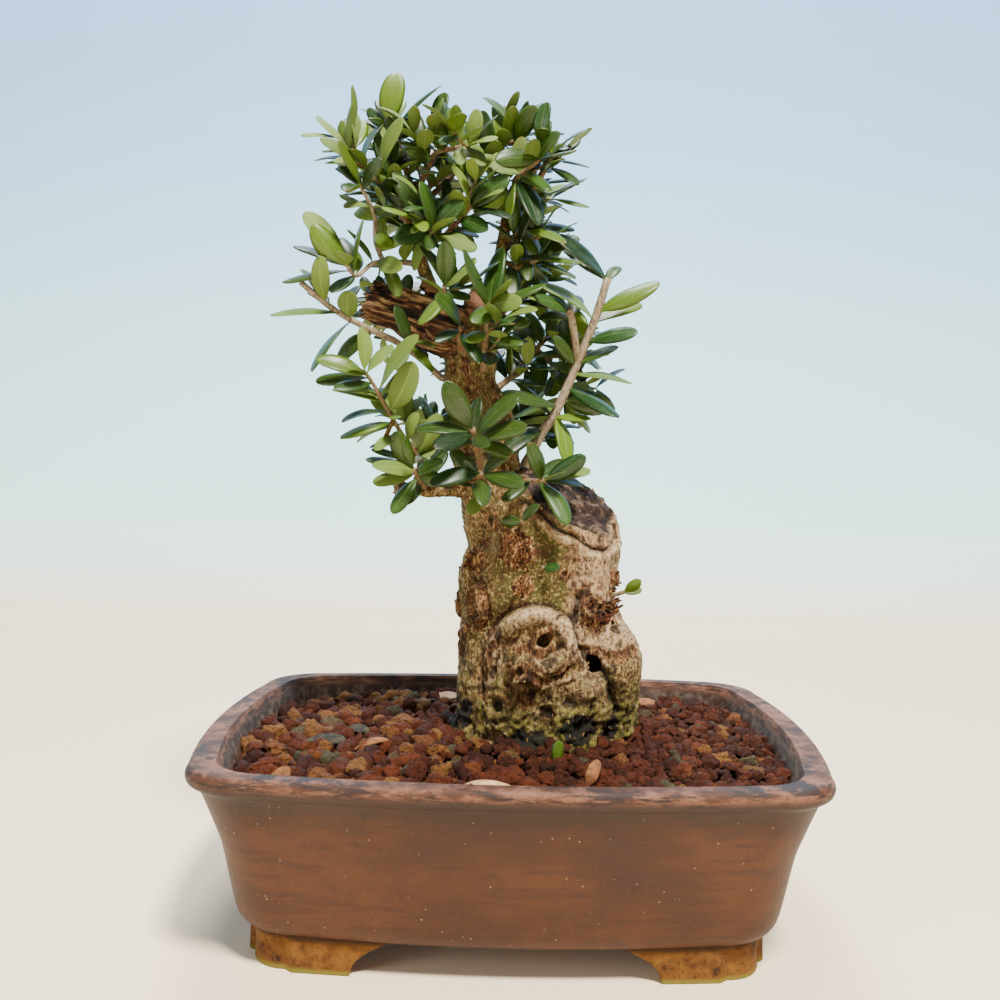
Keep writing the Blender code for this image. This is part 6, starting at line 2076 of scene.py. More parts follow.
# Share of yellow-green leaves, and of leaves that show their underside, by shoot
HABITS = {
    "crown_left": (0.45, 0.40), "crown_top": (0.40, 0.30), "crown_middle": (0.35, 0.25), "crown_right": (0.25, 0.20),
    "crown_rear": (0.30, 0.20), "branch_left": (0.35, 0.30), "twig_left": (0.30, 0.45), "low_left": (0.40, 0.45),
    "twig_right": (0.35, 0.25), "sprout_upper": (0.0, 0.0), "sprout_middle": (0.15, 0.0), "sprout_right": (1.0, 0.0),
    "low_right": (0.15, 0.10), "rosette_front": (0.0, 0.0), "rosette_low": (0.05, 0.05), "low_left_foot": (0.2, 0.2),
}
COMMON_HABIT = (0.18, 0.15)


@dataclass
class Foliage:
    """Leafy shoots: fine cupped leaves and round twigs in the places of the solids."""

    stations: int = 13
    thickness: float = 0.32
    fullness: float = 1.16
    top_places: tuple = (-1.0, -0.68, -0.34, 0.0, 0.34, 0.68, 1.0)
    under_places: tuple = (0.95, 0.5, 0.0, -0.5, -0.95)
    pair_pitch: float = 3.2
    room: float = 0.12
    root_reach: float = 1.3
    slimness: float = 0.9
    bare_share: float = 0.74
    leaf_finish: LeafFinish = field(default_factory=LeafFinish)
    twig_finish: TwigFinish = field(default_factory=TwigFinish)

    @staticmethod
    def outline(share: np.ndarray) -> np.ndarray:
        """Share of the greatest half width along the leaf: a short stalk, a full middle and a blunt point."""
        base = np.sin(0.5 * np.pi * np.clip((share - 0.04) / 0.48, 0.0, 1.0)) ** 0.85
        tip = np.sqrt(np.clip(1.0 - (np.clip(share - 0.52, 0.0, 1.0) / 0.48) ** 2.4, 0.0, 1.0))
        return np.maximum(base * tip, 0.14 * (1.0 - share) ** 4)

    def leaf(self, blade: Blade, draw: random.Random) -> tuple[np.ndarray, np.ndarray]:
        """Points of one leaf, station by station, with their blade marks.

        Args:
            blade: Where it stands.
            draw: Source of its fold, curl and twist.

        Returns:
            Points and marks, one row each.
        """
        axis = (blade.tip - blade.foot).normalized()
        across = np.array(axis.cross(blade.normal).normalized())
        axis, normal = np.array(axis), np.array(blade.normal)
        length = (blade.tip - blade.foot).length
        fold, curl = draw.uniform(0.0, 0.30), draw.uniform(0.0, 0.40)
        twist, sway = draw.uniform(-0.35, 0.35), draw.uniform(-0.05, 0.05)
        droop = draw.uniform(0.0, 0.06)
        share = 0.5 - 0.5 * np.cos(np.linspace(0.0, np.pi, self.stations))
        half = self.outline(share) * blade.width * self.fullness / 2
        places = np.array(self.top_places + self.under_places)
        top = np.array([1.0] * len(self.top_places) + [0.0] * len(self.under_places))
        lift = np.where(top > 0, 1.0, -1.0) * (1.0 - np.abs(places) ** 4) * self.thickness / 2
        lift = lift - np.where(top > 0, 0.0, 0.02)
        s, v = np.meshgrid(share, places, indexing="ij")
        wide = half[:, None] * v
        turn = twist * (s - 0.3)
        rise = blade.arch * length * np.sin(np.pi * s) - droop * length * s**2
        cup = fold * np.abs(wide) - curl * wide**2 / (blade.width / 2)
        stalk = 1.0 - 0.4 * np.clip((0.06 - s) / 0.06, 0.0, 1.0)
        up = rise + cup * np.cos(turn) + wide * np.sin(turn) + lift[None, :] * stalk
        side = wide * np.cos(turn) + sway * length * np.sin(np.pi * s)
        foot = np.array(blade.foot)
        points = foot + s[..., None] * length * axis + side[..., None] * across + up[..., None] * normal
        marks = np.stack([s, np.broadcast_to(v, s.shape), np.broadcast_to(top, s.shape)], axis=-1)
        return points.reshape(-1, 3), marks.reshape(-1, 3)

    def faces(self, start: int) -> list[tuple]:
        """Faces of one leaf whose points start at a number."""
        count = len(self.top_places) + len(self.under_places)
        made = []
        for k in range(self.stations - 1):
            low, high = start + k * count, start + (k + 1) * count
            made += [(low + j, low + (j + 1) % count, high + (j + 1) % count, high + j) for j in range(count)]
        last = start + (self.stations - 1) * count
        made.append(tuple(range(start + count - 1, start - 1, -1)))
        made.append(tuple(range(last, last + count)))
        return made

    def leaves_piece(self, shoot: Shoot, blades: Sequence[Blade], finish: bpy.types.Material, draw: random.Random) -> None:
        """Builds all leaves of one shoot as one piece."""
        points, marks, habits, faces = [], [], [], []
        young_share, under_share = HABITS.get(shoot.name, COMMON_HABIT)
        total = 0
        for blade in blades:
            if draw.random() < under_share:
                blade = blade._replace(normal=-blade.normal, arch=-blade.arch)
            places, blade_marks = self.leaf(blade, draw)
            tone = draw.random() * (0.4 if shoot.name.startswith("rosette") else 1.0)
            young = draw.uniform(0.45, 0.95) if draw.random() < young_share else draw.uniform(0.0, 0.25)
            tired = draw.uniform(0.5, 1.0) if draw.random() < 0.10 else 0.0
            faces += self.faces(total)
            total += len(places)
            points.append(places)
            marks.append(blade_marks)
            habits.append(np.tile([tone, young, tired], (len(places), 1)))
        data = {"blade": np.concatenate(marks), "habit": np.concatenate(habits)}
        piece = made_piece(shoot.name + "_leaves", np.concatenate(points), faces, data)
        dressed(piece, finish, Slot.LEAF, shoot.name)

    def twig_piece(self, shoot: Shoot, routes: Sequence, extra: Sequence, finish: bpy.types.Material) -> None:
        """Builds the twigs of one shoot as one piece. Each foot reaches into what it grows from.

        Args:
            shoot: The shoot.
            routes: Its twigs, as in the solids.
            extra: Its added twiglets.
            finish: Their material.
        """
        bm = bmesh.new()
        for k, route in enumerate([*routes, *extra]):
            first = shoot.radii[0] if k == 0 else SIDE_TWIG_SHARE * shoot.radii[0]
            last = shoot.radii[1]
            if k >= len(routes):
                first, last = 0.38, 0.26
            elif shoot.name in SPARSE:
                first, last = self.bare_share * first, self.bare_share * last
            inward = (route[0] - route[1]).normalized()
            stations = [route[0] + inward * self.root_reach, *route] if k == 0 else list(route)
            fine = smooth_route(stations, 4)
            radii = [first + (last - first) * j / (len(fine) - 1) for j in range(len(fine))]
            swells = [self.slimness * (1.0 + 0.16 * abs(math.sin(j * 1.9))) for j in range(len(fine))]
            bm.from_mesh(tube(fine, [r * s for r, s in zip(radii, swells)], 2, "twig"))
        mesh = bpy.data.meshes.new(shoot.name + "_twig")
        bm.to_mesh(mesh)
        bm.free()
        old = 1.0 if shoot.radii[0] > 1.2 else 0.35
        wave = noise_at(np.array([v.co / MM for v in mesh.vertices]), 3.0)
        set_mark(mesh, "age", np.clip(old + 0.4 * wave, 0.0, 1.0))
        mesh.shade_smooth()
        piece = linked(bpy.data.objects.new(shoot.name + "_twig", mesh))
        dressed(piece, finish, Slot.LEAF, shoot.name)

    def build(self, trunk: Trunk) -> bpy.types.Material:
        """Places all blades, builds every shoot and returns the leaves' material."""
        placing = Placing()
        placing.run(trunk.pieces(TRUNK_SIDES, 0, False))
        placing.fill(self.pair_pitch, self.room)
        log.info("blades: %d", sum(len(found) for found in placing.blades.values()))
        leaf, twig = self.leaf_finish.material(), self.twig_finish.material()
        draw = random.Random(SEED + 2)
        for shoot, routes in placing.grown:
            self.leaves_piece(shoot, placing.blades[shoot.name], leaf, draw)
            self.twig_piece(shoot, routes, placing.extra.get(shoot.name, []), twig)
        for number, (foot, tip) in enumerate(CUT_TWIGS):
            route = smooth_route([Vector(foot), Vector(foot).lerp(Vector(tip), 0.5), Vector(tip)], 3)
            mesh = tube(route, list(np.linspace(*CUT_TWIG_RADII, len(route))), 2, f"cut_twig_{number}")
            set_mark(mesh, "age", np.zeros(len(mesh.vertices)))
            mesh.shade_smooth()
            dressed(linked(bpy.data.objects.new(mesh.name, mesh)), twig, Slot.LEAF)
        return leaf


@dataclass(frozen=True)
class ClayFinish:
    """Unglazed brown stoneware: soft mottled body, paler worn lip with blue-grey streaks whose top is partly a painted
    highlight, painted shade under the lip, lime on the inner wall.
    """

    brown: Colour = hue("3f200f")
    orange: Colour = hue("4b2812")
    mauve: Colour = hue("361c13")
    lip: Colour = hue("7c5440")
    # Blue-grey of streaks and speckle, also used for the painted shade under the lip.
    slate: Colour = hue("251c1a")
    lime: Colour = hue("a08a74")
    fleck: Colour = hue("a58c76")

    def material(self) -> bpy.types.Material:
        """Builds the material by height and noise."""
        graph = Graph("pot_clay")
        at = graph.place()
        height = graph.axis(at, 2)
        broad = graph.grain(graph.place((0.7, 0.7, 1.3)), 20.0, 3.0, 0.55)
        fine = graph.grain(at, 0.9, 4.0, 0.7)
        body = graph.ramp(broad, (0.34, self.mauve), (0.48, self.brown), (0.62, self.orange))
        body = graph.mix(body, self.mauve, graph.grain(at, 6.0, 5.0, 0.7).above(0.50, 0.66) * 0.5)
        body = graph.mix(body, self.slate, fine.above(0.54, 0.72) * 0.35)
        body = graph.mix(body, self.orange, fine.above(0.44, 0.30) * 0.5)
        wheel = graph.grain(graph.place((0.12, 0.12, 1.0)), 1.6, 3.0, 0.6)
        body = graph.mix(body, self.mauve, wheel.above(0.50, 0.64) * 0.6)
        smudge = graph.grain(graph.warped(at, 8.0, 3.0), 11.0, 2.0).above(0.62, 0.72)
        body = graph.mix(body, self.slate, smudge * 0.22)
        flecks = graph.cells(at, 2.6).above(0.09, 0.05) * graph.grain(at, 6.0).above(0.44, 0.54)
        body = graph.mix(body, self.fleck, flecks * 0.6)
        # Painted shade under the lip: the body darkens up towards it.
        body = graph.mix(body, self.slate, height.above(34.5, 40.0) * (0.35 + 0.3 * broad))
        streaks = graph.grain(graph.place((0.30, 0.30, 1.4)), 2.0, 4.0, 0.65)
        # The lip's own paler clay with streaks; laid on the lip's top below, it also serves as a painted highlight.
        worn = graph.mix(self.lip, self.brown, streaks.above(0.38, 0.60) * 0.9)
        dashes = graph.grain(graph.place((0.25, 0.25, 1.6)), 2.4, 4.0, 0.7)
        worn = graph.mix(worn, self.slate, dashes.above(0.49, 0.60) * 0.95)
        worn = graph.mix(worn, self.brown, fine.above(0.50, 0.66) * 0.5)
        # Painted shade on the lip's underside.
        body = graph.mix(body, self.slate, (height + 2.0 * streaks).above(40.0, 42.0) * 0.45)
        # Top of the lip: worn paler clay, partly a painted highlight.
        lip_top_wear_and_highlight = (height + 1.6 * streaks).above(43.2, 45.2)
        colour = graph.mix(body, worn, lip_top_wear_and_highlight * 0.9)
        inner = graph.mark("inner")
        limed = graph.grain(at, 3.0, 4.0, 0.7).above(0.42, 0.62)
        colour = graph.mix(colour, self.lime, inner * height.above(44.8, 42.0) * limed * 0.22)
        rough = 0.46 + 0.22 * fine + 0.10 * lip_top_wear_and_highlight
        relief = fine * 0.5 + broad * 0.3 + graph.grain(graph.place((0.10, 0.10, 1.0)), 1.3, 2.0) * 0.30
        graph.finish(colour, rough, graph.bump(relief, 0.28, 0.7), Specular_IOR_Level=0.35)
        return graph.material


@dataclass(frozen=True)
class FootFinish:
    """Bare ochre clay of the feet, darker in a band at the top just under the body, with green algae along the ground.
    """

    ochre: Colour = hue("54320d")
    buff: Colour = hue("744c1a")
    stain: Colour = hue("27170c")
    algae: Colour = hue("77752a")

    def material(self) -> bpy.types.Material:
        """Builds the material by height and noise."""
        graph = Graph("foot_clay")
        at = graph.place()
        height = graph.axis(at, 2)
        patch = graph.grain(at, 5.0, 4.0, 0.7)
        colour = graph.ramp(patch, (0.34, self.stain), (0.42, self.ochre), (0.60, self.buff))
        colour = graph.mix(colour, self.stain, graph.grain(at, 1.0, 3.0, 0.7).above(0.56, 0.66) * 0.5)
        # Darker band at the top of each foot, just under the body.
        colour = graph.mix(colour, self.stain, (height + 1.5 * patch).above(7.2, 8.8) * 0.9)
        rim = (height + 2.0 * patch).above(2.6, 1.2)
        colour = graph.mix(colour, self.algae, rim * 0.85)
        graph.finish(colour, 0.85, graph.bump(graph.grain(at, 0.9, 4.0, 0.7), 0.3, 0.8), Specular_IOR_Level=0.3)
        return graph.material


@dataclass
class Pot:
    """Shallow rounded pot with a flared lip, a hollow curve under it and four bracket feet."""

    half_x: float = 75.0
    half_y: float = 55.5
    steep: float = 0.76
    corner: float = 14.0
    bow: float = 3.7
    floor_bottom: float = 8.0
    floor_top: float = 13.0
    rim_top: float = 45.8
    outside: tuple = (
        (8.0, 13.7), (9.2, 11.9), (12.0, 10.2), (18.0, 8.9), (27.0, 7.2), (33.0, 5.3),
        (39.8, 2.9), (41.2, 1.9), (42.2, 0.4), (44.0, 0.0), (45.4, 0.7), (45.8, 2.0),
    )
    inside: tuple = ((45.8, 5.2), (44.9, 6.4), (34.0, 9.9), (20.0, 13.8), (13.0, 18.4))
    steps: tuple = (14, 10, 16)
    ring_steps: int = 4
    foot_inset: float = 14.5
    foot_width: float = 8.0
    foot_front: float = 34.0
    foot_side: float = 22.0
    foot_spread: float = 9.2
    foot_levels: int = 14
    foot_top: float = 9.4
    hole_x: float = 30.0
    hole_radius: float = 5.0
    clay: ClayFinish = field(default_factory=ClayFinish)
    foot_clay: FootFinish = field(default_factory=FootFinish)

    def plan(self, inset: float, steps: tuple) -> list[tuple[float, float]]:
        """The pot's plan drawn in by an inset: bowed sides and round corners, anticlockwise from +X.

        Args:
            inset: How far it lies in from the widest line.
            steps: Steps along half a short side, round a corner and along half a long side.

        Returns:
            Points X, Y.
        """
        side_steps, corner_steps, front_steps = steps
        half_x, half_y = self.half_x - inset, self.half_y - self.steep * inset
        corner = self.corner - 0.25 * inset
        straight_x, straight_y = half_x - self.bow - corner, half_y - self.bow - corner
        quarter = [
            (half_x - self.bow * (k / side_steps) ** 2, straight_y * k / side_steps) for k in range(side_steps)
        ]
        for k in range(corner_steps + 1):
            angle = math.pi / 2 * k / corner_steps
            quarter.append((straight_x + corner * math.cos(angle), straight_y + corner * math.sin(angle)))
        for k in range(front_steps - 1, -1, -1):
            quarter.append((straight_x * k / front_steps, half_y - self.bow * (k / front_steps) ** 2))
        upper = quarter + [(-x, y) for x, y in quarter[::-1][1:]]
        return upper + [(x, -y) for x, y in upper[::-1][1:-1]]

    def wall_inset(self, height: float) -> float:
        """How far in the inner wall lies at a height."""
        for (high, inset_high), (low, inset_low) in zip(self.inside, self.inside[1:]):
            if low <= height < high:
                return inset_low + (inset_high - inset_low) * (height - low) / (high - low)
        return self.inside[-1][1]

    def body(self) -> bpy.types.Object:
        """The fine shell with its drainage holes."""
        profile = [Vector((height, inset, 0.0)) for height, inset in self.outside + self.inside]
        fine = smooth_route(profile, self.ring_steps)
        turn = len(self.outside) * self.ring_steps
        rings = []
        for place in fine:
            height = min(self.rim_top, max(self.floor_bottom, place.x))
            rings.append([(x, y, height) for x, y in self.plan(max(0.0, place.y), self.steps)])
        mesh = loft(rings, "pot_body", split=False)
        count = len(rings[0])
        inner = np.repeat([1.0 if k >= turn else 0.0 for k in range(len(rings))], count)
        set_mark(mesh, "inner", inner)
        piece = linked(bpy.data.objects.new("pot_body", mesh))
        for sign in (-1, 1):
            bm = bmesh.new()
            bmesh.ops.create_cone(
                bm, cap_ends=True, segments=48, radius1=self.hole_radius, radius2=self.hole_radius, depth=12.0
            )
            bmesh.ops.translate(bm, verts=bm.verts, vec=(sign * self.hole_x, 0.0, self.floor_bottom + 2.5))
            bmesh.ops.scale(bm, vec=(MM, MM, MM), verts=bm.verts)
            drill_mesh = bpy.data.meshes.new("drill")
            bm.to_mesh(drill_mesh)
            bm.free()
            drill = linked(bpy.data.objects.new("drill", drill_mesh))
            cut = piece.modifiers.new("hole", "BOOLEAN")
            cut.operation, cut.solver, cut.object = "DIFFERENCE", "EXACT", drill
            mesh = evaluated(piece)
            piece.modifiers.clear()
            piece.data = mesh
            removed(drill)
        piece.data.shade_smooth()
        piece.data.set_sharp_from_angle(angle=math.radians(50))
        return piece

    def foot_line(self, inset: float, front_end: float, side_end: float) -> list[tuple[float, float]]:
        """The plan line from a foot's end on the long side, round the corner, to its end on the short side."""
        half_x, half_y = self.half_x - inset, self.half_y - self.steep * inset
        corner = self.corner - 0.4 * inset
        centre_x, centre_y = half_x - self.bow - corner, half_y - self.bow - corner
        line = []
        for k in range(9):
            x = front_end + (centre_x - front_end) * k / 9
            line.append((x, half_y - self.bow * (x / half_x) ** 2))
        arc = [math.radians(90 - 9 * k) for k in range(11)]
        line += [(centre_x + corner * math.cos(a), centre_y + corner * math.sin(a)) for a in arc]
        for k in range(1, 8):
            y = centre_y + (side_end - centre_y) * k / 7
            line.append((half_x - self.bow * (y / half_y) ** 2, y))
        return line

    def feet(self) -> bpy.types.Object:
        """The four bracket feet. Their ends sweep outward in an ogee as they rise to the floor."""
        bm = bmesh.new()
        for sign_x in (-1, 1):
            for sign_y in (-1, 1):
                rings = []
                for k in range(self.foot_levels):
                    height = self.foot_top * k / (self.foot_levels - 1)
                    sweep = self.foot_spread * min(1.0, height / self.floor_bottom) ** 2.2
                    flare = 0.5 * math.exp(-height / 1.5)
                    outer = self.foot_line(self.foot_inset - flare * 0.4, self.foot_front - sweep, self.foot_side - 0.7 * sweep)
                    inner = self.foot_line(
                        self.foot_inset + self.foot_width, self.foot_front - sweep, self.foot_side - 0.7 * sweep
                    )
                    rings.append([(sign_x * x, sign_y * y, height) for x, y in outer + inner[::-1]])
                bm.from_mesh(loft(rings, "foot", split=False))
        mesh = bpy.data.meshes.new("pot_feet")
        bm.to_mesh(mesh)
        bm.free()
        piece = linked(bpy.data.objects.new("pot_feet", mesh))
        rounding = piece.modifiers.new("worn_edges", "BEVEL")
        rounding.width = 0.35 * MM
        rounding.segments = 2
        rounding.limit_method = "ANGLE"
        rounding.angle_limit = math.radians(40)
        piece.data = evaluated(piece)
        piece.modifiers.clear()
        piece.data.shade_smooth()
        return piece

    def build(self) -> None:
        """Builds shell and feet."""
        dressed(self.body(), self.clay.material(), Slot.POT, "pot")
        dressed(self.feet(), self.foot_clay.material(), Slot.POT, "pot")


@dataclass(frozen=True)
class GrainFinish:
    """Crumbly fired clay and lava: each grain has its own colour, and the bed between them is dark, partly as painted
    shade in the gaps.
    """

    red: Colour = hue("4a200d")
    dark: Colour = hue("260f07")
    russet: Colour = hue("652f12")
    ochre: Colour = hue("84592a")
    grey: Colour = hue("4d482f")

    def material(self, name: str) -> bpy.types.Material:
        """Builds the material from each grain's kind and tone."""
        graph = Graph(name)
        at = graph.place()
        kind = graph.mark("grain", 1)
        share, tone = graph.axis(kind, 0), graph.axis(kind, 1)
        colour = graph.ramp(
            share, (0.0, self.dark), (0.22, self.red), (0.5, self.russet), (0.72, self.ochre), (1.0, self.grey)
        )
        pores = graph.grain(at, 0.8, 5.0, 0.75)
        holes = graph.cells(graph.warped(at, 0.8, 0.3), 0.75).above(0.32, 0.16)
        colour = graph.mix(colour, self.dark, pores.above(0.50, 0.64) * 0.7)
        colour = graph.mix(colour, self.ochre, graph.grain(at, 1.5, 3.0, 0.6).above(0.60, 0.75) * 0.35)
        colour = graph.mix(colour, self.dark, holes * 0.5)
        colour = graph.mix(colour, self.dark, (1.0 - tone) * 0.35)
        colour = graph.mix(colour, self.russet, tone.above(0.8, 1.0) * 0.25)
        graph.finish(colour, 0.70, graph.bump(pores - holes * 0.6, 1.0, 1.0), Specular_IOR_Level=0.22)
        return graph.material


class Size(Enum):
    """Sizes of soil grains, with how finely each is drawn."""

    STONE = 4
    LARGE = 3
    SMALL = 2


# Stones set one by one: X, Y, radius and place on the colour ramp
STONES = [
    (-34.0, 42.0, 3.3, 0.74), (-45.0, 22.0, 3.4, 0.72), (-49.0, 17.0, 2.8, 0.72), (0.4, -17.6, 2.6, 0.95),
    (51.7, -15.0, 3.2, 0.72), (57.5, -22.0, 2.8, 0.9), (-17.0, -14.0, 2.8, 0.7), (-8.5, -8.6, 2.7, 0.74),
    (-24.0, -20.0, 3.0, 0.5), (-27.0, -30.0, 3.1, 0.5), (-35.0, -26.0, 2.8, 0.72), (-46.0, -20.0, 3.4, 0.56),
    (-57.0, -12.0, 3.3, 0.6), (-56.0, -27.0, 3.5, 0.5), (-61.0, 2.0, 3.2, 0.74), (-52.0, 8.0, 3.0, 0.7),
    (-38.0, 33.0, 2.9, 0.74), (-28.0, 12.0, 2.9, 0.68), (-31.0, -38.0, 3.0, 0.45), (-16.0, -35.0, 3.1, 0.4),
    (-9.0, -28.0, 2.8, 0.55), (8.0, -33.0, 2.9, 0.42), (22.0, -31.0, 3.2, 0.4), (34.0, -33.0, 2.9, 0.3),
    (41.0, -22.0, 2.6, 0.45), (30.0, -18.0, 2.5, 0.3), (61.0, -30.0, 2.6, 0.35), (47.0, -35.0, 2.7, 0.28),
    (-20.0, -3.0, 2.5, 0.5), (-41.0, -36.0, 2.9, 0.72), (48.0, 38.0, 2.7, 0.4), (20.0, 43.0, 2.6, 0.6),
]


@dataclass
class Soil:
    """Bed of crumbly grains, larger and more ochre on the left, finer and darker on the right."""

    pot: Pot
    edge: float = 39.4
    mound: float = 2.6
    centre: tuple[float, float] = (8.5, 12.0)
    reach: tuple[float, float] = (66.0, 60.0)
    bed_drop: float = 1.6
    wall_gap: float = 0.5
    shapes: int = 16
    finish: GrainFinish = field(default_factory=GrainFinish)

    def height(self, x: float, y: float) -> float:
        """Height of the bed, which slopes up from the walls to the foot of the trunk."""
        away = math.hypot((x - self.centre[0]) / self.reach[0], (y - self.centre[1]) / self.reach[1])
        return self.edge + self.mound * max(0.0, 1.0 - away)

    def bed(self) -> None:
        """The bed under the grains, dark partly as painted shade in the gaps between them."""
        steps = (8, 6, 10)
        shoulder = self.edge - 0.6 - self.bed_drop
        inset = self.pot.wall_inset(shoulder) + self.wall_gap
        walls = [(height, inner) for height, inner in self.pot.inside if height < shoulder][::-1]
        rings = [
            [(x, y, max(height, self.pot.floor_top + SEAT_GAP)) for x, y in self.pot.plan(inner + self.wall_gap, steps)]
            for height, inner in walls
        ]
        edge = self.pot.plan(inset, steps)
        rings.append([(x, y, shoulder) for x, y in edge])
        for k in range(26):
            share = 1.0 - max(k, 0.15) / 26
            rings.append(
                [
                    (
                        x * share,
                        y * share,
                        self.height(x * share, y * share)
                        - self.bed_drop
                        + 0.9 * noise.noise(Vector((x * share, y * share, 2.0)) / 2.2),
                    )
                    for x, y in edge
                ]
            )
        mesh = loft(rings, "soil_bed")
        count = len(mesh.vertices)
        # Dark red-brown, darkened further, partly as painted shade in the gaps between the grains.
        set_mark(mesh, "grain", np.tile([0.12, 0.3, 0.0], (count, 1)))
        mesh.shade_smooth()
        piece = linked(bpy.data.objects.new("soil_bed", mesh))
        dressed(piece, self.finish.material("soil_bed"), Slot.SOIL, "soil")

    def open_ground(self, x: float, y: float, radius: float) -> bool:
        """True where a grain stands clear of the pot's wall and of the trunk."""
        inset = self.pot.wall_inset(self.edge) + 0.6 * radius + 0.3
        half_x, half_y = self.pot.half_x - inset, self.pot.half_y - self.pot.steep * inset
        side = half_x - self.pot.bow * min(1.0, abs(y) / half_y) ** 2
        front = half_y - self.pot.bow * min(1.0, abs(x) / half_x) ** 2
        corner = self.pot.corner - 0.25 * inset
        over_x, over_y = abs(x) - (half_x - self.pot.bow - corner), abs(y) - (half_y - self.pot.bow - corner)
        if over_x > 0 and over_y > 0 and math.hypot(over_x, over_y) > corner:
            return False
        trunk = math.hypot((x - 8.5) / (23.4 + 0.5 * radius), (y - 12.0) / (21.0 + 0.5 * radius))
        return abs(x) < side and abs(y) < front and trunk > 1.0

    def library(self, size: Size, lumps: float, draw: random.Random) -> list[tuple[np.ndarray, list]]:
        """Grain shapes: balls broken up by noise.

        Args:
            size: How finely they are drawn.
            lumps: Strength of the crumbly relief.
            draw: Source of their proportions.

        Returns:
            Points of about unit radius and faces of each shape.
        """
        made = []
        for number in range(self.shapes):
            bm = bmesh.new()
            bmesh.ops.create_icosphere(bm, subdivisions=size.value, radius=1.0)
            shift = Vector((number * 3.7, 1.3, 8.1))
            cuts = [Vector([draw.gauss(0.0, 1.0) for _ in range(3)]).normalized() for _ in range(5)]
            for vertex in bm.verts:
                point = vertex.co.copy()
                for cut in cuts:
                    over = point.dot(cut) - 0.66
                    point -= cut * max(0.0, over) * 0.85
                broken = 1.0 + 0.30 * noise.noise(point * 1.1 + shift) + lumps * noise.noise(point * 2.8 + shift)
                broken += 0.5 * lumps * noise.noise(point * 6.0 + shift) + 0.10 * noise.noise(point * 11.0 + shift)
                vertex.co = point * broken
            stretch = np.array([draw.uniform(0.95, 1.25), draw.uniform(0.8, 1.05), draw.uniform(0.7, 0.95)])
            points = np.array([vertex.co for vertex in bm.verts]) * stretch
            made.append((points, [tuple(v.index for v in face.verts) for face in bm.faces]))
            bm.free()
        return made

    def kind(self, x: float, draw: random.Random) -> float:
        """Place of a grain's colour on the ramp, by where it lies."""
        left = eased(x, 12.0, -28.0)
        pick = draw.random()
        if pick < 0.04 + 0.04 * left:
            return 1.0
        if pick < 0.08 + 0.24 * left:
            return draw.uniform(0.58, 0.76)
        return draw.uniform(0.08, 0.30) if draw.random() < 0.68 - 0.20 * left else draw.uniform(0.30, 0.50)

    def stones(self) -> None:
        """The largest stones, set one by one, as one piece."""
        draw = random.Random(9)
        shapes = self.library(Size.STONE, 0.30, draw)
        points, faces, marks, total = [], [], [], 0
        for x, y, radius, kind in STONES:
            shape, shape_faces = draw.choice(shapes)
            turn = Matrix.Rotation(draw.uniform(0, 6.28), 3, "Z") @ Matrix.Rotation(draw.uniform(-0.5, 0.5), 3, "X")
            middle = np.array([x, y, self.height(x, y) + 0.28 * radius])
            points.append(shape @ np.array(turn).T * radius + middle)
            faces += [tuple(v + total for v in face) for face in shape_faces]
            total += len(shape)
            marks.append(np.tile([kind, draw.uniform(0.5, 1.0), 0.0], (len(shape), 1)))
        piece = made_piece("stones", np.concatenate(points), faces, {"grain": np.concatenate(marks)})
        dressed(piece, self.finish.material("stones"), Slot.SOIL)

    def strewn(self, name: str, size: Size, pitch: float, radii: tuple, lift: tuple, left: bool, seed: int) -> None:
        """Strews grains on a jittered grid over one part of the bed, as one piece.

        Args:
            name: Name of the piece.
            size: How finely they are drawn.
            pitch: Distance between grains.
            radii: Smallest and largest radius.
            lift: Lowest and highest place of their middles over the bed.
            left: Whether they lie left of the trunk's middle, or right of it.
            seed: Seed of the draws.
        """
        draw = random.Random(seed)
        shapes = self.library(size, 0.24 if left else 0.36, draw)
        points, faces, marks, total = [], [], [], 0
        columns, rows = int(140 / pitch), int(108 / pitch)
        for i in range(columns):
            for j in range(rows):
                x = -70.0 + pitch * (i + 0.5 * (j % 2)) + draw.uniform(-0.34, 0.34) * pitch
                y = -54.0 + pitch * j + draw.uniform(-0.34, 0.34) * pitch
                radius = draw.uniform(*radii) * draw.uniform(0.85, 1.0)
                chosen = draw.choice(shapes)
                turn = Matrix.Rotation(draw.uniform(0, 6.28), 3, "X") @ Matrix.Rotation(draw.uniform(0, 6.28), 3, "Z")
                kind, tone, rise = self.kind(x, draw), draw.random(), draw.uniform(*lift)
                if (x < 4.0 + 9.0 * math.sin(y / 9.0)) != left or not self.open_ground(x, y, radius):
                    continue
                rise -= 0.5 * max(0.0, radius - 2.0)
                middle = np.array([x, y, self.height(x, y) + rise])
                points.append(chosen[0] @ np.array(turn).T * radius + middle)
                faces += [tuple(v + total for v in face) for face in chosen[1]]
                total += len(chosen[0])
                marks.append(np.tile([kind, tone, 0.0], (len(chosen[0]), 1)))
        piece = made_piece(name, np.concatenate(points), faces, {"grain": np.concatenate(marks)})
        dressed(piece, self.finish.material(name), Slot.SOIL)

    def build(self) -> None:
        """Builds the bed and strews the grains."""
        self.bed()
        self.stones()
        self.strewn("grains_left", Size.LARGE, 4.3, (1.9, 3.3), (-0.2, 1.5), True, 5)
        self.strewn("grains_right", Size.LARGE, 3.3, (1.4, 2.4), (-0.1, 1.5), False, 6)
        self.strewn("crumbs_left", Size.SMALL, 2.9, (0.6, 1.5), (-1.0, 0.4), True, 7)
        self.strewn("crumbs_right", Size.SMALL, 2.3, (0.6, 1.3), (-0.8, 0.8), False, 8)


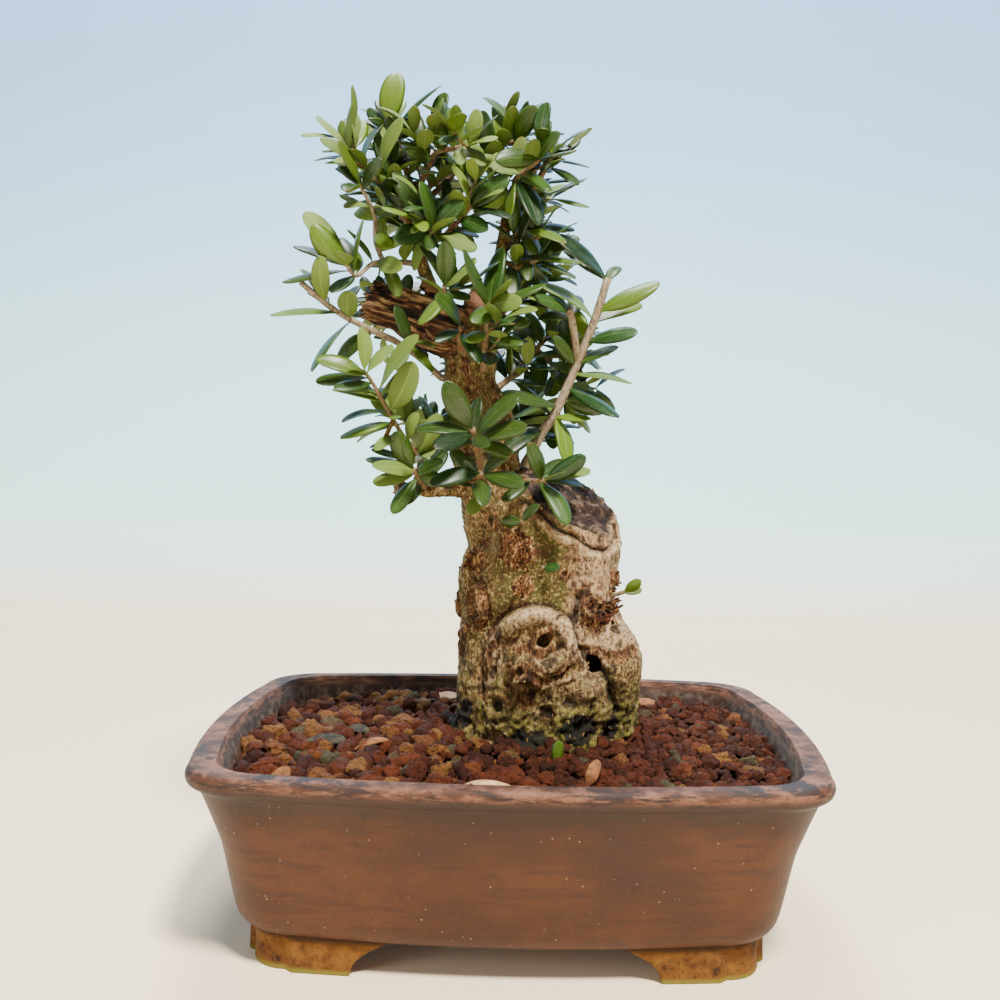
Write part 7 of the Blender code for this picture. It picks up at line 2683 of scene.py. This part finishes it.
@dataclass(frozen=True)
class PlainFinish:
    """A quiet finish: one colour with soft noise."""

    name: str
    colour: Colour
    shade: Colour
    size: float
    rough: float
    depth: float = 0.1

    def material(self) -> bpy.types.Material:
        """Builds the material."""
        graph = Graph(self.name)
        at = graph.place()
        soft = graph.grain(at, self.size, 3.0, 0.6)
        colour = graph.mix(self.colour, self.shade, soft.above(0.35, 0.75))
        graph.finish(colour, self.rough, graph.bump(soft, self.depth, 0.6), Specular_IOR_Level=0.3)
        return graph.material


@dataclass
class Litter:
    """Loose things on the soil: an upright small leaf, dry leaves and bits of bark."""

    foliage: Foliage
    dry: PlainFinish = PlainFinish("dry_leaf", hue("8a5a35"), hue("5f3a20"), 1.2, 0.8, 0.25)
    pale: PlainFinish = PlainFinish("pale_dry_leaf", hue("cfa981"), hue("a97c54"), 2.0, 0.75, 0.2)
    bits: PlainFinish = PlainFinish("bark_bits", hue("211e19"), hue("45432c"), 1.6, 0.9, 0.3)

    def sheet(self, name: str, blade: Blade, finish: bpy.types.Material, seed: int, slot: Slot = Slot.LEAF) -> None:
        """One loose leaf as a piece of its own."""
        draw = random.Random(seed)
        points, marks = self.foliage.leaf(blade, draw)
        habits = np.tile([0.9, 0.55, 0.0], (len(points), 1))
        piece = made_piece(name, points, self.foliage.faces(0), {"blade": marks, "habit": habits})
        dressed(piece, finish, slot)

    def build(self, soil: Soil, leaf: bpy.types.Material) -> None:
        """Lays the litter out."""
        dry, pale, bits = self.dry.material(), self.pale.material(), self.bits.material()

        def at(x: float, y: float, lift: float) -> Vector:
            """A point at a height over the bed."""
            return Vector((x, y, soil.height(x, y) + lift))

        front = Vector((0.1, -1.0, 0.2)).normalized()
        up = Vector((0.0, -0.25, 1.0)).normalized()
        self.sheet("upright_leaf", Blade(at(11.3, -21.0, 0.4), at(11.6, -21.6, 6.6), front, 2.6, 0.05), leaf, 1)
        self.sheet("dry_leaf_right", Blade(at(17.0, -36.0, 0.6), at(20.0, -33.5, 6.4), front, 3.0, 0.28), dry, 2)
        self.sheet("dry_leaf_front", Blade(at(-12.0, -38.5, 1.0), at(1.5, -39.5, 1.4), up, 5.2, 0.10), pale, 3)
        self.sheet("dry_leaf_corner", Blade(at(-52.0, -42.0, 1.0), at(-48.0, -41.0, 6.0), front, 3.2, 0.25), dry, 4)
        self.sheet("dry_leaf_left", Blade(at(-38.0, -12.0, 1.2), at(-30.0, -9.0, 3.0), up, 3.0, 0.15), dry, 5)
        self.sheet("bark_bit_a", Blade(at(-52.0, -4.0, 1.0), at(-41.0, -7.0, 1.8), up, 5.0, 0.08), bits, 6, Slot.SOIL)
        self.sheet("bark_bit_b", Blade(at(-44.0, 2.0, 1.2), at(-36.0, 0.0, 2.4), up, 4.2, 0.12), bits, 7, Slot.SOIL)
        self.sheet("dry_leaf_back", Blade(at(34.0, 40.0, 1.0), at(42.0, 37.0, 2.0), up, 4.0, 0.12), dry, 8)
        self.sheet("dry_leaf_rear", Blade(at(-24.0, 38.0, 1.0), at(-15.0, 41.0, 1.6), up, 4.0, 0.10), pale, 9)


@dataclass
class Nets:
    """The two nets over the drainage holes keep their solids and get black plastic."""

    plastic: PlainFinish = PlainFinish("net_plastic", hue("1c1c1c"), hue("2a2a28"), 1.5, 0.5, 0.03)

    def build(self) -> None:
        """Dresses the solids."""
        finish = self.plastic.material()
        for name in ("drain_net_left", "drain_net_right"):
            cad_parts[name].data.materials.clear()
            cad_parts[name].data.materials.append(finish)
            log.info("%s keeps its solid", name)


@dataclass
class Stage:
    """Plain pale floor that sweeps up into a pale blue backdrop, soft lights and the camera."""

    depth: float = 250.0
    bend: float = 450.0
    glow: float = 0.62
    lens: float = 39.12
    eye: tuple = (-0.000686, -0.273464, 0.118718)
    pitch: float = 0.060
    yaw: float = 0.011
    roll: float = 0.020

    def floor(self) -> None:
        """Floor and backdrop in one sweep."""
        turns = [math.radians(3 * k) for k in range(31)]
        bend = [(self.depth + self.bend * math.sin(t), self.bend * (1.0 - math.cos(t))) for t in turns]
        route = [(-1200.0, 0.0), *bend, (self.depth + self.bend, 2000.0)]
        points = [(side * 1800.0, y, z) for y, z in route for side in (-1, 1)]
        faces = [(2 * k, 2 * k + 1, 2 * k + 3, 2 * k + 2) for k in range(len(route) - 1)]
        piece = made_piece("floor_sweep", np.array(points), faces)
        graph = Graph("sweep")
        height = graph.axis(graph.place(), 2)
        colour = graph.ramp(
            height.above(0.0, 520.0), (0.0, hue("fae5c6")), (0.01, hue("d4e6dc")), (0.04, hue("bce6e2")), (0.35, hue("add9ea")), (1.0, hue("8ab4e6"))
        )
        graph.finish(colour, 0.95, None, Specular_IOR_Level=0.1, Emission_Strength=self.glow)
        light = graph.mix(hue("30302f"), colour, height.above(2.0, 50.0))
        graph.tree.links.new(light.socket, graph.shader.inputs["Emission Color"])
        piece.data.materials.append(graph.material)
        piece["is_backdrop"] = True

    def light(self, name: str, place: tuple, size: float, power: float, colour: Colour) -> None:
        """One soft area light that looks at the object."""
        lamp = bpy.data.lights.new(name, "AREA")
        lamp.shape, lamp.size, lamp.energy, lamp.color = "DISK", size, power, colour
        holder = linked(bpy.data.objects.new(name, lamp))
        holder.location = place
        aim = Vector((0.0, 0.0, 0.09)) - Vector(place)
        holder.rotation_euler = aim.to_track_quat("-Z", "Y").to_euler()

    def camera(self) -> None:
        """Camera at the photograph's angle."""
        cos_yaw, sin_yaw = math.cos(self.yaw), math.sin(self.yaw)
        cos_pitch, sin_pitch = math.cos(self.pitch), math.sin(self.pitch)
        right = Vector((cos_yaw, sin_yaw, 0.0))
        ahead = Vector((-sin_yaw * cos_pitch, cos_yaw * cos_pitch, -sin_pitch))
        up = Vector((-sin_yaw * sin_pitch, cos_yaw * sin_pitch, cos_pitch))
        image_right = right * math.cos(self.roll) + up * math.sin(self.roll)
        image_up = up * math.cos(self.roll) - right * math.sin(self.roll)
        turn = Matrix((image_right, image_up, -ahead)).transposed().to_4x4()
        data = bpy.data.cameras.new("camera")
        data.sensor_width, data.lens, data.clip_start = 36.0, self.lens, 0.01
        holder = linked(bpy.data.objects.new("camera", data))
        holder.matrix_world = Matrix.Translation(Vector(self.eye)) @ turn
        bpy.context.scene.camera = holder

    def build(self) -> None:
        """Builds floor, lights, sky and camera."""
        self.floor()
        self.light("key", (0.26, -0.58, 1.15), 0.24, 44.0, (1.0, 0.95, 0.87))
        self.light("fill", (-0.85, -0.75, 0.45), 0.5, 4.0, (1.0, 0.98, 0.95))
        self.light("top", (-0.10, 0.35, 1.1), 0.4, 12.0, (1.0, 0.99, 0.97))
        world = bpy.data.worlds.new("sky")
        world.use_nodes = True
        world.node_tree.nodes["Background"].inputs["Color"].default_value = (*hue("eef0ee"), 1.0)
        world.node_tree.nodes["Background"].inputs["Strength"].default_value = 0.22
        bpy.context.scene.world = world
        self.camera()


def write_sizes() -> None:
    """Works out the solids' box and the visual model's box as plain lists, and keeps neither."""
    boxes = {"cad": SOLID_BOX, "visual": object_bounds()}
    plain = {name: [[float(v) for v in corner] for corner in box] for name, box in boxes.items()}


def main() -> None:
    """Builds every sub-assembly in order."""
    Stage().build()
    pot = Pot()
    pot.build()
    soil = Soil(pot)
    soil.build()
    Nets().build()
    trunk = Trunk()
    trunk.build()
    foliage = Foliage()
    leaf = foliage.build(trunk)
    Litter(foliage).build(soil, leaf)
    write_sizes()


if __name__ == "__main__":
    main()
